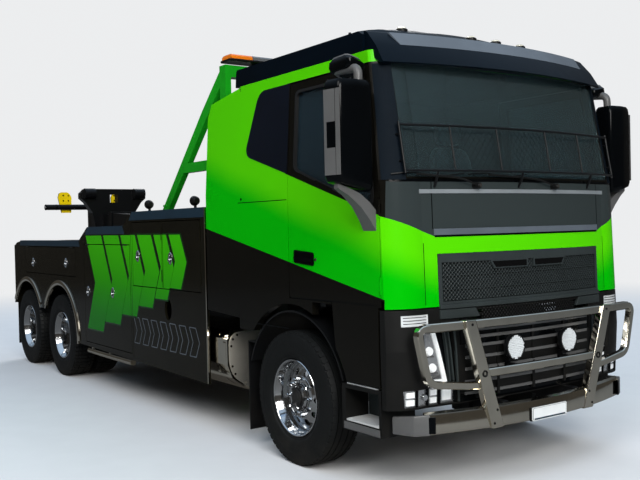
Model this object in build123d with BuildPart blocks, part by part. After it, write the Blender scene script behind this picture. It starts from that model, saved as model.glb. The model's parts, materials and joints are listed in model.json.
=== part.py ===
"""Heavy recovery truck: three-axle cab-over chassis with a locker body, recovery boom and folding underlift.

Millimetres. +X forward, +Y to the driver's left, +Z up. Stations along X are measured from the front axle,
and FRONT_AXLE_X moves the finished pieces so that the origin is under the middle of the vehicle.
"""

from build123d import *
from functools import cache
from math import cos, radians, sin, sqrt
import os

os.makedirs("parts", exist_ok=True)

# ---- running gear ----
WHEELBASE = 5400  # front axle to first drive axle
BOGIE = 1370  # first to second drive axle
TYRE_R = 522
TYRE_W = 294
RIM_SEAT_R = 286
FLANGE_R = 298.5
RIM_HALF = 118  # outside the flanges
TWIN_SPACING = 334
KINGPIN_Y = 870
STEER_ARM = 180
SPINDLE_R = 50
RUN_GAP = 0.3  # radial gap of a turning or sliding fit
SEAT_GAP = 0.3  # between a piece and the curved seat that carries it

# ---- overall body ----
HALF_W = 1245
WALL = 25  # locker walls, fascias and lids
SHUT_GAP = 8  # round doors and lids
AXLE_X = {"mid": -WHEELBASE, "rear": -WHEELBASE - BOGIE}
WHEEL_Y = HALF_W - TYRE_W / 2

# ---- frame ----
RAIL_Y = 425  # outside of the rail's web
RAIL_FLANGE = 90
RAIL_T = 9
RAIL_Z0 = 660
RAIL_Z1 = 960
RAIL_FRONT = 1050
RAIL_REAR = -7150
CROSS_X = (960, -900, -2350, -3900, -6060, -6990)  # crossmembers
CROSS_HALF = 35
CROSS_Z = (790, 920)
CAB_MOUNT_X = (-700, 940)
CAB_MOUNT_HALF = 40

# ---- cab ----
CAB_REAR = -780
CAB_WALL = 60
FLOOR_Z = 1400  # underside of the cab floor
FLOOR_T = 50
ROOF_Z = 3050
ROOF_T = 50
# plan sections of the cab skin: height, front at the middle, front at FRONT_Y, front end of the flat side, half width
FRONT_Y = 970
CAB_SECTIONS = (
    (600, 1310, 1232, 1130, 1238),
    (1000, 1330, 1250, 1150, 1245),
    (2150, 1308, 1215, 1100, 1240),
    (2950, 1165, 1068, 960, 1190),
    (ROOF_Z, 1147, 1050, 942, 1182),
)
ARCH_R = 740  # front wheel arch in the cab side
DOOR_FRONT = 1110
DOOR_REAR = -10
DOOR_SILL = 1300
DOOR_TOP = 2960
DOOR_SKIRT_Z = 740
DOOR_SKIRT_REAR = 600
SCREEN_Y = 1075
SCREEN_Z0 = 2170
SCREEN_Z1 = 2960
PANEL_T = 30  # front panel and bumper skins
PANEL_SIDE_X = 1135  # the cab's own pillar shows between the door and the panel
PANEL_Z0 = 1285
PANEL_Z1 = 2140
BUMPER_Z0 = 605
BUMPER_Z1 = 1275

# ---- locker body ----
BODY_FRONT = -1370
BODY_REAR = -7345
TAIL_T = 25
TUNNEL_Y = 520  # inside faces of the lockers, where the boom lies
ARCH_CUT_R = 645
ARCH_TRIM_R = 677
SKIRT_Z = 440
TOP_Z = 2045
MID_Z = 1900
LOW_Z = 1740
UPPER_FLOOR_Z = 1235
REAR_FLOOR_Z = 1255
DECK_Z = 1240

# ---- recovery gear ----
BOOM_PIVOT = (-2400, 1700)
BOOM_TILT = 3.4  # stowed boom rises to the rear, degrees
BOOM_W = 400
BOOM_H = 360
BOOM_T = 16
BOOM_LEN = 3900  # outer section, behind the pivot
BOOM_FIT = 12  # round the inner section, taken up by its pads
HEAD_X = -6650
FOLD_PIVOT = (-7330, 800)
ARM_W = 240
ARM_T = 12
STINGER_FIT = 10
CROSSBAR_Z = 2230
CROSSBAR_HALF = 740
CROSSBAR_R = 42

FRONT_END = 1478  # foremost face, of the lower bull bar
REAR_END = -7534  # rearmost face, of the crossbar's fork plates
FRONT_AXLE_X = -(FRONT_END + REAR_END) / 2


def save(piece, label):
    """Labels a finished piece and writes it, moved into the vehicle's frame."""
    placed = piece.part.moved(Location((FRONT_AXLE_X, 0, 0)))
    placed.label = label
    export_step(placed, f"parts/{label}.step")


def slab(plane, points, depth, mode=Mode.ADD, both=False):
    """Extrudes a closed outline of straight sides from its plane into the open part."""
    with BuildSketch(plane) as outline:
        with BuildLine():
            Polyline(*points, close=True)
        make_face()
    extrude(outline.sketch, amount=depth, both=both, mode=mode)


def block(x, y, z, mode=Mode.ADD):
    """A box between pairs of stations."""
    middle = tuple((pair[0] + pair[1]) / 2 for pair in (x, y, z))
    sides = [abs(pair[1] - pair[0]) for pair in (x, y, z)]
    with Locations(middle):
        Box(*sides, mode=mode)


def rod(start, end, radius, mode=Mode.ADD):
    """A round bar between two points."""
    axis = Vector(*end) - Vector(*start)
    with BuildSketch(Plane(origin=start, z_dir=axis)) as section:
        Circle(radius)
    extrude(section.sketch, amount=axis.length, mode=mode)


def bent_tube(points, bend, radius, mode=Mode.ADD):
    """A round tube along straight runs with arcs between them."""
    with BuildLine() as path:
        FilletPolyline(*points, radius=bend)
    start = path.line @ 0
    with BuildSketch(Plane(origin=start, z_dir=path.line % 0)) as section:
        Circle(radius)
    sweep(section.sketch, path=path.line, mode=mode)


def wheel_ring(centre_x, y, points, mode=Mode.ADD):
    """Revolves a closed outline of (offset along the axle, radius) about a wheel's axle."""
    place = Plane(origin=(centre_x, y, TYRE_R), x_dir=(0, 1, 0), z_dir=(1, 0, 0))
    with BuildSketch(place) as section:
        with BuildLine():
            Polyline(*points, close=True)
        make_face()
    revolve(section.sketch, axis=Axis((centre_x, y, TYRE_R), (0, 1, 0)), mode=mode)


def mirrored(piece):
    """The same piece for the other side of the vehicle."""
    with BuildPart() as other:
        mirror(piece.part, about=Plane.XZ)
    return other


def side(right, name):
    """Writes a right-hand piece and its left-hand mirror image."""
    save(right, f"{name}_right")
    save(mirrored(right), f"{name}_left")


# ---- hinges of doors and lids ----
PIN_R = 4
BARREL_R = 8
BARREL_LEN = 60
KNUCKLE_LEN = 30
HINGE_CLEAR = 5


def hinge_spans(centre, axis):
    """Ends of the door's barrel and of the two fixed knuckles, for a hinge centred on a point."""
    half = BARREL_LEN / 2
    at = [Vector(*centre) + Vector(*axis) * s for s in (-half, half)]
    outer = [
        [Vector(*centre) + Vector(*axis) * (sign * s) for s in (half + SEAT_GAP, half + KNUCKLE_LEN)]
        for sign in (-1, 1)
    ]
    return at, outer


def hinge_fixed(centre, axis):
    """The knuckles and pin that stay on the body, with room for the barrel."""
    at, outer = hinge_spans(centre, axis)
    rod(at[0] - Vector(*axis) * SEAT_GAP, at[1] + Vector(*axis) * SEAT_GAP, BARREL_R + HINGE_CLEAR, Mode.SUBTRACT)
    for start, end in outer:
        rod(start, end, BARREL_R)
    rod(outer[0][1], outer[1][1], PIN_R)


def hinge_moving(centre, axis):
    """The barrel on the door, with room for the knuckles."""
    at, outer = hinge_spans(centre, axis)
    for start, end in outer:
        over = (end - start).normalized() * HINGE_CLEAR
        rod(start - (end - start).normalized() * SEAT_GAP, end + over, BARREL_R + HINGE_CLEAR, Mode.SUBTRACT)
    rod(at[0], at[1], BARREL_R)
    rod(outer[0][1], outer[1][1], PIN_R + RUN_GAP, Mode.SUBTRACT)


# ---- frame, axles and engine ----
with BuildPart() as chassis_frame:
    web = RAIL_Y - RAIL_T
    inner = RAIL_Y - RAIL_FLANGE
    channel = (
        (RAIL_Y, RAIL_Z0),
        (RAIL_Y, RAIL_Z1),
        (inner, RAIL_Z1),
        (inner, RAIL_Z1 - RAIL_T),
        (web, RAIL_Z1 - RAIL_T),
        (web, RAIL_Z0 + RAIL_T),
        (inner, RAIL_Z0 + RAIL_T),
        (inner, RAIL_Z0),
    )
    slab(Plane.YZ.offset(RAIL_REAR), channel, RAIL_FRONT - RAIL_REAR)
    slab(Plane.YZ.offset(RAIL_REAR), [(-y, z) for y, z in channel], RAIL_FRONT - RAIL_REAR)
    for x in CROSS_X:
        block((x - CROSS_HALF, x + CROSS_HALF), (-web, web), CROSS_Z)
    # posts that carry the cab floor
    for x in CAB_MOUNT_X:
        for sign in (-1, 1):
            block((x - CAB_MOUNT_HALF, x + CAB_MOUNT_HALF), (sign * inner, sign * RAIL_Y), (RAIL_Z1, FLOOR_Z))

ENGINE_Y = 320
ENGINE_REAR = -860
with BuildPart() as engine:
    slab(
        Plane.XZ,
        ((880, 640), (880, 1370), (-120, 1370), (-320, 1250), (ENGINE_REAR, 1000), (ENGINE_REAR, 640)),
        ENGINE_Y,
        both=True,
    )
    # feet on the frame rails
    for x in (-500, 640):
        block((x - 40, x + 40), (-web + SEAT_GAP, web - SEAT_GAP), (780, 840))

BEAM_Z = TYRE_R
EYE_H = 60
EYE_R = 55
KINGPIN_R = 22
SPRING_Y = 475
SPRING_HALF_W = 38
with BuildPart() as front_axle:
    slab(
        Plane.YZ,
        (
            (-KINGPIN_Y, BEAM_Z + 40),
            (-620, BEAM_Z + 30),
            (-520, BEAM_Z - 20),
            (520, BEAM_Z - 20),
            (620, BEAM_Z + 30),
            (KINGPIN_Y, BEAM_Z + 40),
            (KINGPIN_Y, BEAM_Z - 40),
            (600, BEAM_Z - 60),
            (480, BEAM_Z - 130),
            (-480, BEAM_Z - 130),
            (-600, BEAM_Z - 60),
            (-KINGPIN_Y, BEAM_Z - 40),
        ),
        45,
        both=True,
    )
    for sign in (-1, 1):
        y = sign * KINGPIN_Y
        rod((0, y, BEAM_Z - EYE_H), (0, y, BEAM_Z + EYE_H), EYE_R)
        rod((0, y, BEAM_Z - EYE_H), (0, y, BEAM_Z + EYE_H), KINGPIN_R + RUN_GAP, Mode.SUBTRACT)
        leaf = (
            (860, 700),
            (780, 628),
            (0, 552),
            (-780, 628),
            (-860, 700),
            (-820, 660 + 60),
            (-740, 650),
            (0, 590),
            (740, 650),
            (820, 660 + 60),
        )
        spring = Plane.XZ.offset(-sign * SPRING_Y)
        slab(spring, leaf, SPRING_HALF_W, both=True)
        block((-110, 110), (sign * SPRING_Y - 45, sign * SPRING_Y + 45), (BEAM_Z - 30, 600))
        for x in (-840, 840):
            block((x - 40, x + 40), (sign * RAIL_Y, sign * (SPRING_Y + SPRING_HALF_W)), (660, 820))

AXLE_TUBE_R = 75
TWIN_MOUNT_Y = WHEEL_Y - TWIN_SPACING / 2  # face that both discs of a twin are bolted to
DRIVE_SPINDLE_END = TWIN_MOUNT_Y + 105
BOWL_R = 225
PAD_Z = 640
with BuildPart() as drive_axles:
    for x in AXLE_X.values():
        for sign in (-1, 1):
            rod((x, 0, TYRE_R), (x, sign * 640, TYRE_R), AXLE_TUBE_R)
            rod((x, sign * 600, TYRE_R), (x, sign * DRIVE_SPINDLE_END, TYRE_R), SPINDLE_R)
        with BuildSketch(Plane.YZ.offset(x - 170)) as bowl:
            with Locations((0, TYRE_R)):
                Ellipse(260, BOWL_R)
        extrude(bowl.sketch, amount=340)
    for sign in (-1, 1):
        for x in AXLE_X.values():
            block((x - 90, x + 90), (sign * 380, sign * 470), (TYRE_R + 40, PAD_Z))
        mid = (AXLE_X["mid"] + AXLE_X["rear"]) / 2
        slab(
            Plane.XZ.offset(-sign * 425),
            (
                (AXLE_X["mid"] + 200, 620),
                (AXLE_X["mid"] + 200, 655),
                (mid, 600),
                (AXLE_X["rear"] - 200, 655),
                (AXLE_X["rear"] - 200, 620),
                (mid, 520),
            ),
            45,
            both=True,
        )
        block((mid - 110, mid + 110), (sign * RAIL_Y, sign * (RAIL_Y + 60)), (540, 900))
    shaft_x = ENGINE_REAR - 100
    rod((shaft_x, 0, 720), (ENGINE_REAR - SEAT_GAP, 0, 720), 62)
    rod((AXLE_X["mid"] + 150, 0, 560), (shaft_x + 20, 0, 720), 55)
    rod((AXLE_X["mid"] - 150, 0, 560), (AXLE_X["rear"] + 150, 0, 560), 50)

# ---- wheels ----
TYRE_BEAD = 106  # inside of the rim's flanges
TYRE_HALF_OUTLINE = (
    (TYRE_BEAD - SEAT_GAP, RIM_SEAT_R + SEAT_GAP),
    (TYRE_BEAD - SEAT_GAP, FLANGE_R + SEAT_GAP),
    (122, FLANGE_R + SEAT_GAP),
    (TYRE_W / 2, 392),
    (139, 470),
    (118, 512),
    (60, TYRE_R),
)
TYRE_OUTLINE = (*TYRE_HALF_OUTLINE, *[(-a, r) for a, r in reversed(TYRE_HALF_OUTLINE)])


def tyre(x, y):
    """One tyre on the open part."""
    wheel_ring(x, y, TYRE_OUTLINE)


RIM_WELL_R = 262  # inside of the barrel


def rim_barrel(x, y):
    """The barrel that carries a tyre's beads."""
    wheel_ring(
        x,
        y,
        (
            (-RIM_HALF, FLANGE_R),
            (-TYRE_BEAD, FLANGE_R),
            (-TYRE_BEAD, RIM_SEAT_R),
            (TYRE_BEAD, RIM_SEAT_R),
            (TYRE_BEAD, FLANGE_R),
            (RIM_HALF, FLANGE_R),
            (RIM_HALF, 284),
            (60, RIM_WELL_R),
            (-60, RIM_WELL_R),
            (-RIM_HALF, 284),
        ),
    )


HUB_R = 118
DISC_R = RIM_WELL_R + 6  # discs are welded into the barrel
HAND_HOLES = 10
HAND_HOLE_R = 26
HAND_HOLE_PCR = 200


FRONT_HUB_IN = 110
with BuildPart() as front_tyre:
    tyre(0, -WHEEL_Y)
side(front_tyre, "front_tyre")
# the front disc is dished towards the outside, with its hub behind it
with BuildPart() as front_rim:
    y = -WHEEL_Y
    rim_barrel(0, y)
    wheel_ring(0, y, ((-20, DISC_R), (-6, DISC_R), (-52, 165), (-52, HUB_R - 10), (-68, HUB_R - 10), (-68, 168)))
    wheel_ring(0, y, ((-96, 70), (-96, 0), (FRONT_HUB_IN, 0), (FRONT_HUB_IN, 95), (-52, HUB_R), (-68, HUB_R)))
    wheel_ring(0, y, ((-60, 0), (-60, SPINDLE_R + RUN_GAP), (FRONT_HUB_IN + 5, SPINDLE_R + RUN_GAP), (FRONT_HUB_IN + 5, 0)), Mode.SUBTRACT)
    for n in range(HAND_HOLES):
        turn = 360 / HAND_HOLES * n
        cx = HAND_HOLE_PCR * cos(radians(turn))
        cz = TYRE_R + HAND_HOLE_PCR * sin(radians(turn))
        rod((cx, y - 80, cz), (cx, y, cz), HAND_HOLE_R, Mode.SUBTRACT)


side(front_rim, "front_rim")

for label, x in AXLE_X.items():
    with BuildPart() as twin_tyres:
        for y in (-WHEEL_Y, -WHEEL_Y + TWIN_SPACING):
            tyre(x, y)
    side(twin_tyres, f"{label}_tyres")
    with BuildPart() as twin_rims:
        for y, way in ((-WHEEL_Y, 1), (-WHEEL_Y + TWIN_SPACING, -1)):
            rim_barrel(x, y)
            deep = TWIN_SPACING / 2
            dish = ((50, DISC_R), (64, DISC_R), (deep, 185), (deep, HUB_R), (deep - 14, HUB_R), (deep - 14, 180))
            wheel_ring(x, y, [(way * a, r) for a, r in dish])
        wheel_ring(x, -TWIN_MOUNT_Y, ((-120, 80), (-14, HUB_R + 20), (14, HUB_R + 20), (150, 130), (150, 0), (-120, 0)))
        wheel_ring(
            x,
            -TWIN_MOUNT_Y,
            ((-110, 0), (-110, SPINDLE_R + RUN_GAP), (160, SPINDLE_R + RUN_GAP), (160, 0)),
            Mode.SUBTRACT,
        )
    side(twin_rims, f"{label}_rims")

EAR_GAP = 3
EAR_T = 36
with BuildPart() as knuckle:
    y = -KINGPIN_Y
    top = BEAM_Z + EYE_H + EAR_GAP
    low = BEAM_Z - EYE_H - EAR_GAP
    for z0, z1 in ((top, top + EAR_T), (low - EAR_T, low)):
        rod((0, y, z0), (0, y, z1), EYE_R)
        block((-EYE_R, EYE_R), (y - 112, y), (z0, z1))
    rod((0, y, low - EAR_T), (0, y, top + EAR_T), KINGPIN_R)
    block((-EYE_R, EYE_R), (y - 112, y - EYE_R - EAR_GAP), (low - EAR_T, top + EAR_T))
    rod((0, y - 100, TYRE_R), (0, -WHEEL_Y - 40, TYRE_R), SPINDLE_R)
    slab(
        Plane.XY.offset(low - EAR_T),
        ((0, y - 45), (0, y + 45), (-STEER_ARM, y + 24), (-STEER_ARM - 24, y), (-STEER_ARM, y - 24)),
        EAR_T,
    )
    rod((-STEER_ARM, y, low - EAR_T - 46), (-STEER_ARM, y, low - EAR_T), 12)
side(knuckle, "knuckle")

TIE_Z = BEAM_Z - EYE_H - EAR_GAP - EAR_T
with BuildPart() as tie_rod:
    for y in (-KINGPIN_Y, KINGPIN_Y):
        rod((-STEER_ARM, y, TIE_Z - 42), (-STEER_ARM, y, TIE_Z - 4), 27)
    rod((-STEER_ARM, -KINGPIN_Y, TIE_Z - 23), (-STEER_ARM, KINGPIN_Y, TIE_Z - 23), 18)
    for y in (-KINGPIN_Y, KINGPIN_Y):
        rod((-STEER_ARM, y, TIE_Z - 60), (-STEER_ARM, y, TIE_Z), 12 + RUN_GAP, Mode.SUBTRACT)

for piece, label in (
    (chassis_frame, "chassis_frame"),
    (engine, "engine"),
    (front_axle, "front_axle"),
    (drive_axles, "drive_axles"),
    (tie_rod, "tie_rod"),
):
    save(piece, label)


# ---- cab ----
def plan_outline(z, middle, front, corner, half, inset, rear):
    """Plan section of the cab skin at one height: flat sides and rear, round corners and a bowed front."""
    m, f, c, h, r = middle - inset, front - inset, corner - inset, half - inset, rear + inset
    fy = FRONT_Y - inset
    bend = ((f + c) / 2 + 26, (fy + h) / 2 + 30)
    with BuildSketch(Plane.XY.offset(z)) as section:
        with BuildLine():
            Line((r, h), (r, -h))
            Line((r, -h), (c, -h))
            ThreePointArc((c, -h), (bend[0], -bend[1]), (f, -fy))
            ThreePointArc((f, -fy), (m, 0), (f, fy))
            ThreePointArc((f, fy), bend, (c, h))
            Line((c, h), (r, h))
        make_face()
    return section


@cache
def cab_skin(inset, rear=CAB_REAR, low=None, high=None):
    """The cab's outer form drawn in by an inset, optionally cut off at two heights."""
    with BuildPart() as skin:
        for lower, upper in zip(CAB_SECTIONS, CAB_SECTIONS[1:]):
            faces = [plan_outline(*row, inset, rear).sketch.face() for row in (lower, upper)]
            loft(faces, ruled=True)
        if low is not None:
            block((-3000, 3000), (-3000, 3000), (0, low), Mode.SUBTRACT)
        if high is not None:
            block((-3000, 3000), (-3000, 3000), (high, 5000), Mode.SUBTRACT)
    return skin.part


@cache
def skin_band(near, far, rear=CAB_REAR):
    """The layer of the cab's form between two insets."""
    with BuildPart() as band:
        add(cab_skin(near, rear))
        add(cab_skin(far, rear - 2 * far), mode=Mode.SUBTRACT)
    return band.part


DOOR_OUTLINE = (
    (DOOR_REAR, DOOR_SILL),
    (DOOR_SKIRT_REAR - 60, DOOR_SILL),
    (DOOR_SKIRT_REAR, DOOR_SKIRT_Z),
    (DOOR_FRONT - 30, DOOR_SKIRT_Z),
    (DOOR_FRONT - 30, BUMPER_Z1 + 10),
    (DOOR_FRONT, BUMPER_Z1 + 10),
    (DOOR_FRONT, PANEL_Z1 - 40),
    (DOOR_FRONT - 150, DOOR_TOP),
    (DOOR_REAR, DOOR_TOP),
)
DOOR_WINDOW = (
    (DOOR_REAR + 90, 2290),
    (DOOR_FRONT - 250, 2020),
    (DOOR_FRONT - 80, 1990),
    (DOOR_FRONT - 75, 2110),
    (DOOR_FRONT - 215, DOOR_TOP - 80),
    (DOOR_REAR + 90, DOOR_TOP - 80),
)


def shrink(points, gap):
    """A closed outline moved in by a gap."""
    with BuildSketch(Plane.XZ) as outline:
        with BuildLine():
            Polyline(*points, close=True)
        make_face()
        offset(amount=-gap, kind=Kind.INTERSECTION, mode=Mode.REPLACE)
    return outline.sketch


DOOR_DEPTH = HALF_W + 40
outer_form = cab_skin(0)
room_form = cab_skin(CAB_WALL, low=FLOOR_Z + FLOOR_T, high=ROOF_Z - ROOF_T)
under_form = cab_skin(CAB_WALL, rear=CAB_REAR - 2 * CAB_WALL, high=FLOOR_Z)
HINGE_X = DOOR_FRONT - SHUT_GAP / 2
HINGE_Z = (1440, 1960)


HINGE_Y = -(HALF_W - 4)
with BuildPart() as cab_shell:
    add(outer_form)
    add(room_form, mode=Mode.SUBTRACT)
    add(under_form, mode=Mode.SUBTRACT)
    # wheel arch, low rear corner and everything ahead of the doors below the front panel
    rod((0, -2000, TYRE_R - 7), (0, 2000, TYRE_R - 7), ARCH_R, Mode.SUBTRACT)
    block((-3000, 300), (-2000, 2000), (0, 1000), Mode.SUBTRACT)
    block((300, 3000), (-2000, 2000), (0, PANEL_Z0), Mode.SUBTRACT)
    block((DOOR_FRONT, 3000), (-2000, 2000), (0, FLOOR_Z - 60), Mode.SUBTRACT)
    # windscreen opening
    slab(
        Plane.YZ.offset(700),
        ((-SCREEN_Y, SCREEN_Z0), (SCREEN_Y, SCREEN_Z0), (SCREEN_Y, SCREEN_Z1), (-SCREEN_Y, SCREEN_Z1)),
        900,
        Mode.SUBTRACT,
    )
    for sign in (-1, 1):
        # door apertures
        plane = Plane.XZ.offset(-sign * (HALF_W - 200))
        slab(plane, DOOR_OUTLINE, -sign * 400, Mode.SUBTRACT)

# a layer cut off the front, for the panel that is bolted over it
front_layer = skin_band(0, PANEL_T + SEAT_GAP)
with BuildPart() as panel_space:
    add(front_layer)
    block((-3000, PANEL_SIDE_X), (-2000, 2000), (0, 5000), Mode.SUBTRACT)
    block((-3000, 3000), (-2000, 2000), (0, PANEL_Z0), Mode.SUBTRACT)
    block((-3000, 3000), (-2000, 2000), (PANEL_Z1, 5000), Mode.SUBTRACT)
with BuildPart() as cab_body:
    add(cab_shell.part)
    add(panel_space.part, mode=Mode.SUBTRACT)
    for y in (-HINGE_Y, HINGE_Y):
        for z in HINGE_Z:
            hinge_fixed((HINGE_X, y, z), (0, 0, 1))

with BuildPart() as door:
    add(outer_form)
    add(cab_skin(CAB_WALL), mode=Mode.SUBTRACT)
    door_cut = shrink(DOOR_OUTLINE, SHUT_GAP)
    window_cut = shrink(DOOR_WINDOW, 0)
    extrude(door_cut, amount=DOOR_DEPTH, mode=Mode.INTERSECT)
    extrude(window_cut, amount=DOOR_DEPTH, mode=Mode.SUBTRACT)
    rod((0, -2000, TYRE_R - 7), (0, 2000, TYRE_R - 7), ARCH_R, Mode.SUBTRACT)
    for z in HINGE_Z:
        hinge_moving((HINGE_X, HINGE_Y, z), (0, 0, 1))
side(door, "door")

with BuildPart() as windscreen:
    add(skin_band(10, 24))
    slab(
        Plane.YZ.offset(800),
        (
            (-SCREEN_Y + SEAT_GAP, SCREEN_Z0 + SEAT_GAP),
            (SCREEN_Y - SEAT_GAP, SCREEN_Z0 + SEAT_GAP),
            (SCREEN_Y - SEAT_GAP, SCREEN_Z1 - SEAT_GAP),
            (-SCREEN_Y + SEAT_GAP, SCREEN_Z1 - SEAT_GAP),
        ),
        900,
        Mode.INTERSECT,
    )

GRILLE_Y = 860
GRILLE_Z = (1300, 1645)
with BuildPart() as front_panel:
    add(skin_band(0, PANEL_T))
    block((PANEL_SIDE_X + SEAT_GAP, 3000), (-2000, 2000), (PANEL_Z0, PANEL_Z1 - SEAT_GAP), Mode.INTERSECT)
    block((DOOR_FRONT, 3000), (-GRILLE_Y, GRILLE_Y), GRILLE_Z, Mode.SUBTRACT)

SLATS = 8
BARS = 12
with BuildPart() as grille_lattice:
    pitch = (GRILLE_Z[1] - GRILLE_Z[0]) / SLATS
    for n in range(SLATS + 1):
        z = GRILLE_Z[0] + n * pitch
        block((1000, 1500), (-GRILLE_Y, GRILLE_Y), (z - 8, z + 8))
    across = 2 * GRILLE_Y / BARS
    for n in range(BARS + 1):
        y = -GRILLE_Y + n * across
        block((1000, 1500), (y - 8, y + 8), (GRILLE_Z[0], GRILLE_Z[1]))
    block((1000, 1500), (-GRILLE_Y + 0.5, GRILLE_Y - 0.5), (GRILLE_Z[0] + 0.5, GRILLE_Z[1] - 0.5), Mode.INTERSECT)
with BuildPart() as grille:
    add(skin_band(10, 28))
    add(grille_lattice.part, mode=Mode.INTERSECT)

# lamps in the bumper: name, outline in (Y, Z) on the left side
HEAD_LAMPS = (
    ((715, 760), (960, 760), (1000, 1120), (760, 1120)),
    ((720, 618), (1140, 618), (1150, 735), (720, 735)),
    ((950, 1165), (1160, 1165), (1160, 1240), (950, 1240)),
)
with BuildPart() as bumper:
    add(skin_band(0, PANEL_T))
    block((DOOR_FRONT - 20, 3000), (-2000, 2000), (BUMPER_Z0, BUMPER_Z1), Mode.INTERSECT)
    for outline in HEAD_LAMPS:
        for sign in (-1, 1):
            slab(Plane.YZ.offset(900), [(sign * y, z) for y, z in outline], 800, Mode.SUBTRACT)
    block((1000, 1500), (-700, 700), (1010, 1245), Mode.SUBTRACT)
    for z in (1060, 1110, 1160, 1210):
        add(skin_band(8, 24).intersect(Solid.make_box(600, 1402, 14).moved(Location((1000, -701, z)))))
    # brackets back to the frame rails
    for sign in (-1, 1):
        block((RAIL_FRONT, 1290), (sign * 345, sign * RAIL_Y), (700, 900))

lamp_band = skin_band(2, PANEL_T - 2)
with BuildPart() as lamps:
    for outline in HEAD_LAMPS:
        for sign in (-1, 1):
            with BuildSketch(Plane.YZ.offset(900)) as lens:
                with BuildLine():
                    Polyline(*[(sign * y, z) for y, z in outline], close=True)
                make_face()
                offset(amount=-0.5, kind=Kind.INTERSECTION, mode=Mode.REPLACE)
            prism = extrude(lens.sketch, amount=800, mode=Mode.PRIVATE)
            add(lamp_band.intersect(prism))

for piece, label in (
    (cab_body, "cab_shell"),
    (windscreen, "windscreen"),
    (front_panel, "front_panel"),
    (grille, "grille"),
    (bumper, "bumper"),
):
    save(piece, label)

# ---- cab roof, visor and interior ----
CAP_FRONT = 880
CAP_REAR = -870
CAP_SIDE_Z = 3200
CAP_CROWN_Z = 3330
CAP_HALF = 1172
VISOR_T = 14
with BuildPart() as roof_cap:
    with BuildSketch(Plane.YZ.offset(CAP_REAR)) as dome:
        with BuildLine():
            Polyline((CAP_HALF, CAP_SIDE_Z), (CAP_HALF + 8, ROOF_Z + SEAT_GAP), (-CAP_HALF - 8, ROOF_Z + SEAT_GAP))
            Line((-CAP_HALF - 8, ROOF_Z + SEAT_GAP), (-CAP_HALF, CAP_SIDE_Z))
            ThreePointArc((-CAP_HALF, CAP_SIDE_Z), (0, CAP_CROWN_Z), (CAP_HALF, CAP_SIDE_Z))
        make_face()
    extrude(dome.sketch, amount=CAP_FRONT - CAP_REAR)
    # brow that falls towards the windscreen
    slab(
        Plane.XZ,
        ((CAP_FRONT - 380, 3400), (CAP_FRONT - 60, 3240), (CAP_FRONT + 60, 3100), (CAP_FRONT + 60, 3500)),
        2000,
        Mode.SUBTRACT,
        both=True,
    )


def visor_outline(z, middle, end, half):
    """Plan section of the sun visor blade at one height."""
    with BuildSketch(Plane.XY.offset(z)) as section:
        with BuildLine():
            ThreePointArc((end, -half), (middle, 0), (end, half))
            Line((end, half), (end - VISOR_T, half))
            ThreePointArc((end - VISOR_T, half), (middle - VISOR_T, 0), (end - VISOR_T, -half))
            Line((end - VISOR_T, -half), (end, -half))
        make_face()
    return section.sketch.face()


with BuildPart() as visor_blade:
    loft([visor_outline(2950, 1258, 1080, 1160), visor_outline(3180, 1060, 900, 1150)], ruled=True)
with BuildPart() as sun_visor:
    add(visor_blade.part)
    for y in (-1080, -540, 0, 540, 1080):
        with BuildSketch(Plane.XZ.offset(-y)) as stay:
            with BuildLine():
                Polyline((840, 3062), (1200, 2980), (1060, 3150), (840, 3150), close=True)
            make_face()
        extrude(stay.sketch, amount=6, both=True)
    add(roof_cap.part, mode=Mode.SUBTRACT)
    add(cab_skin(-SEAT_GAP), mode=Mode.SUBTRACT)

with BuildPart() as cab_roof:
    add(roof_cap.part)
    for solid in sun_visor.part.solids():
        if solid.volume > 1e6:
            add(solid)

DASH_Y = HALF_W - CAB_WALL - 90
with BuildPart() as dashboard:
    slab(
        Plane.XZ,
        ((1000, 1520), (1080, 1700), (1090, 2060), (860, 2090), (700, 1980), (690, 1800), (840, 1640), (860, 1520)),
        DASH_Y,
        both=True,
    )
    add(cab_skin(CAB_WALL + 12), mode=Mode.INTERSECT)
    with BuildSketch(Plane(origin=(560, 560, 2060), z_dir=(-0.5, 0, 0.866))) as wheel:
        Circle(225)
        Circle(197, mode=Mode.SUBTRACT)
    extrude(wheel.sketch, amount=26)
    rod((560, 560, 2060), (760, 560, 1760), 30)
    with BuildSketch(Plane(origin=(560, 560, 2060), z_dir=(-0.5, 0, 0.866))) as spokes:
        Rectangle(36, 410)
        Rectangle(410, 36)
    extrude(spokes.sketch, amount=22)
    block((880, 960), (-200, 200), (FLOOR_Z + FLOOR_T, 1530))

SEAT_Y = 560
with BuildPart() as seats:
    for y in (-SEAT_Y, SEAT_Y):
        block((-80, 380), (y - 240, y + 240), (FLOOR_Z + FLOOR_T, 1760))
        block((-120, 440), (y - 260, y + 260), (1760, 1900))
        slab(
            Plane.XZ.offset(-y),
            ((-60, 1900), (60, 1900), (-40, 2560), (-60, 2760), (-150, 2750), (-180, 2560)),
            240,
            both=True,
        )
    block((CAB_REAR + CAB_WALL + 20, -260), (-1080, 1080), (FLOOR_Z + FLOOR_T, 2050))

# ---- mirrors on the doors ----
MIRROR_Z = (2070, 2810)
with BuildPart() as mirrors:
    with BuildSketch(Plane.XY.offset(MIRROR_Z[0])) as housing:
        with BuildLine():
            Polyline((1105, -1275), (1125, -1420), (1095, -1560), (960, -1580), (940, -1560), (940, -1275), close=True)
        make_face()
    extrude(housing.sketch, amount=MIRROR_Z[1] - MIRROR_Z[0])
    fillet(mirrors.edges().filter_by(Axis.Z), 12)
    fillet(mirrors.faces().sort_by(Axis.Z)[-1].edges(), 10)
    bent_tube(((1020, -1330, 2700), (1020, -1330, 2905), (760, -1320, 2920), (740, -1150, 2880)), 50, 24)
    bent_tube(((1020, -1330, 2150), (1020, -1330, 1990), (1000, -1200, 1965)), 40, 24)
    add(cab_skin(-SEAT_GAP), mode=Mode.SUBTRACT)

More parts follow.
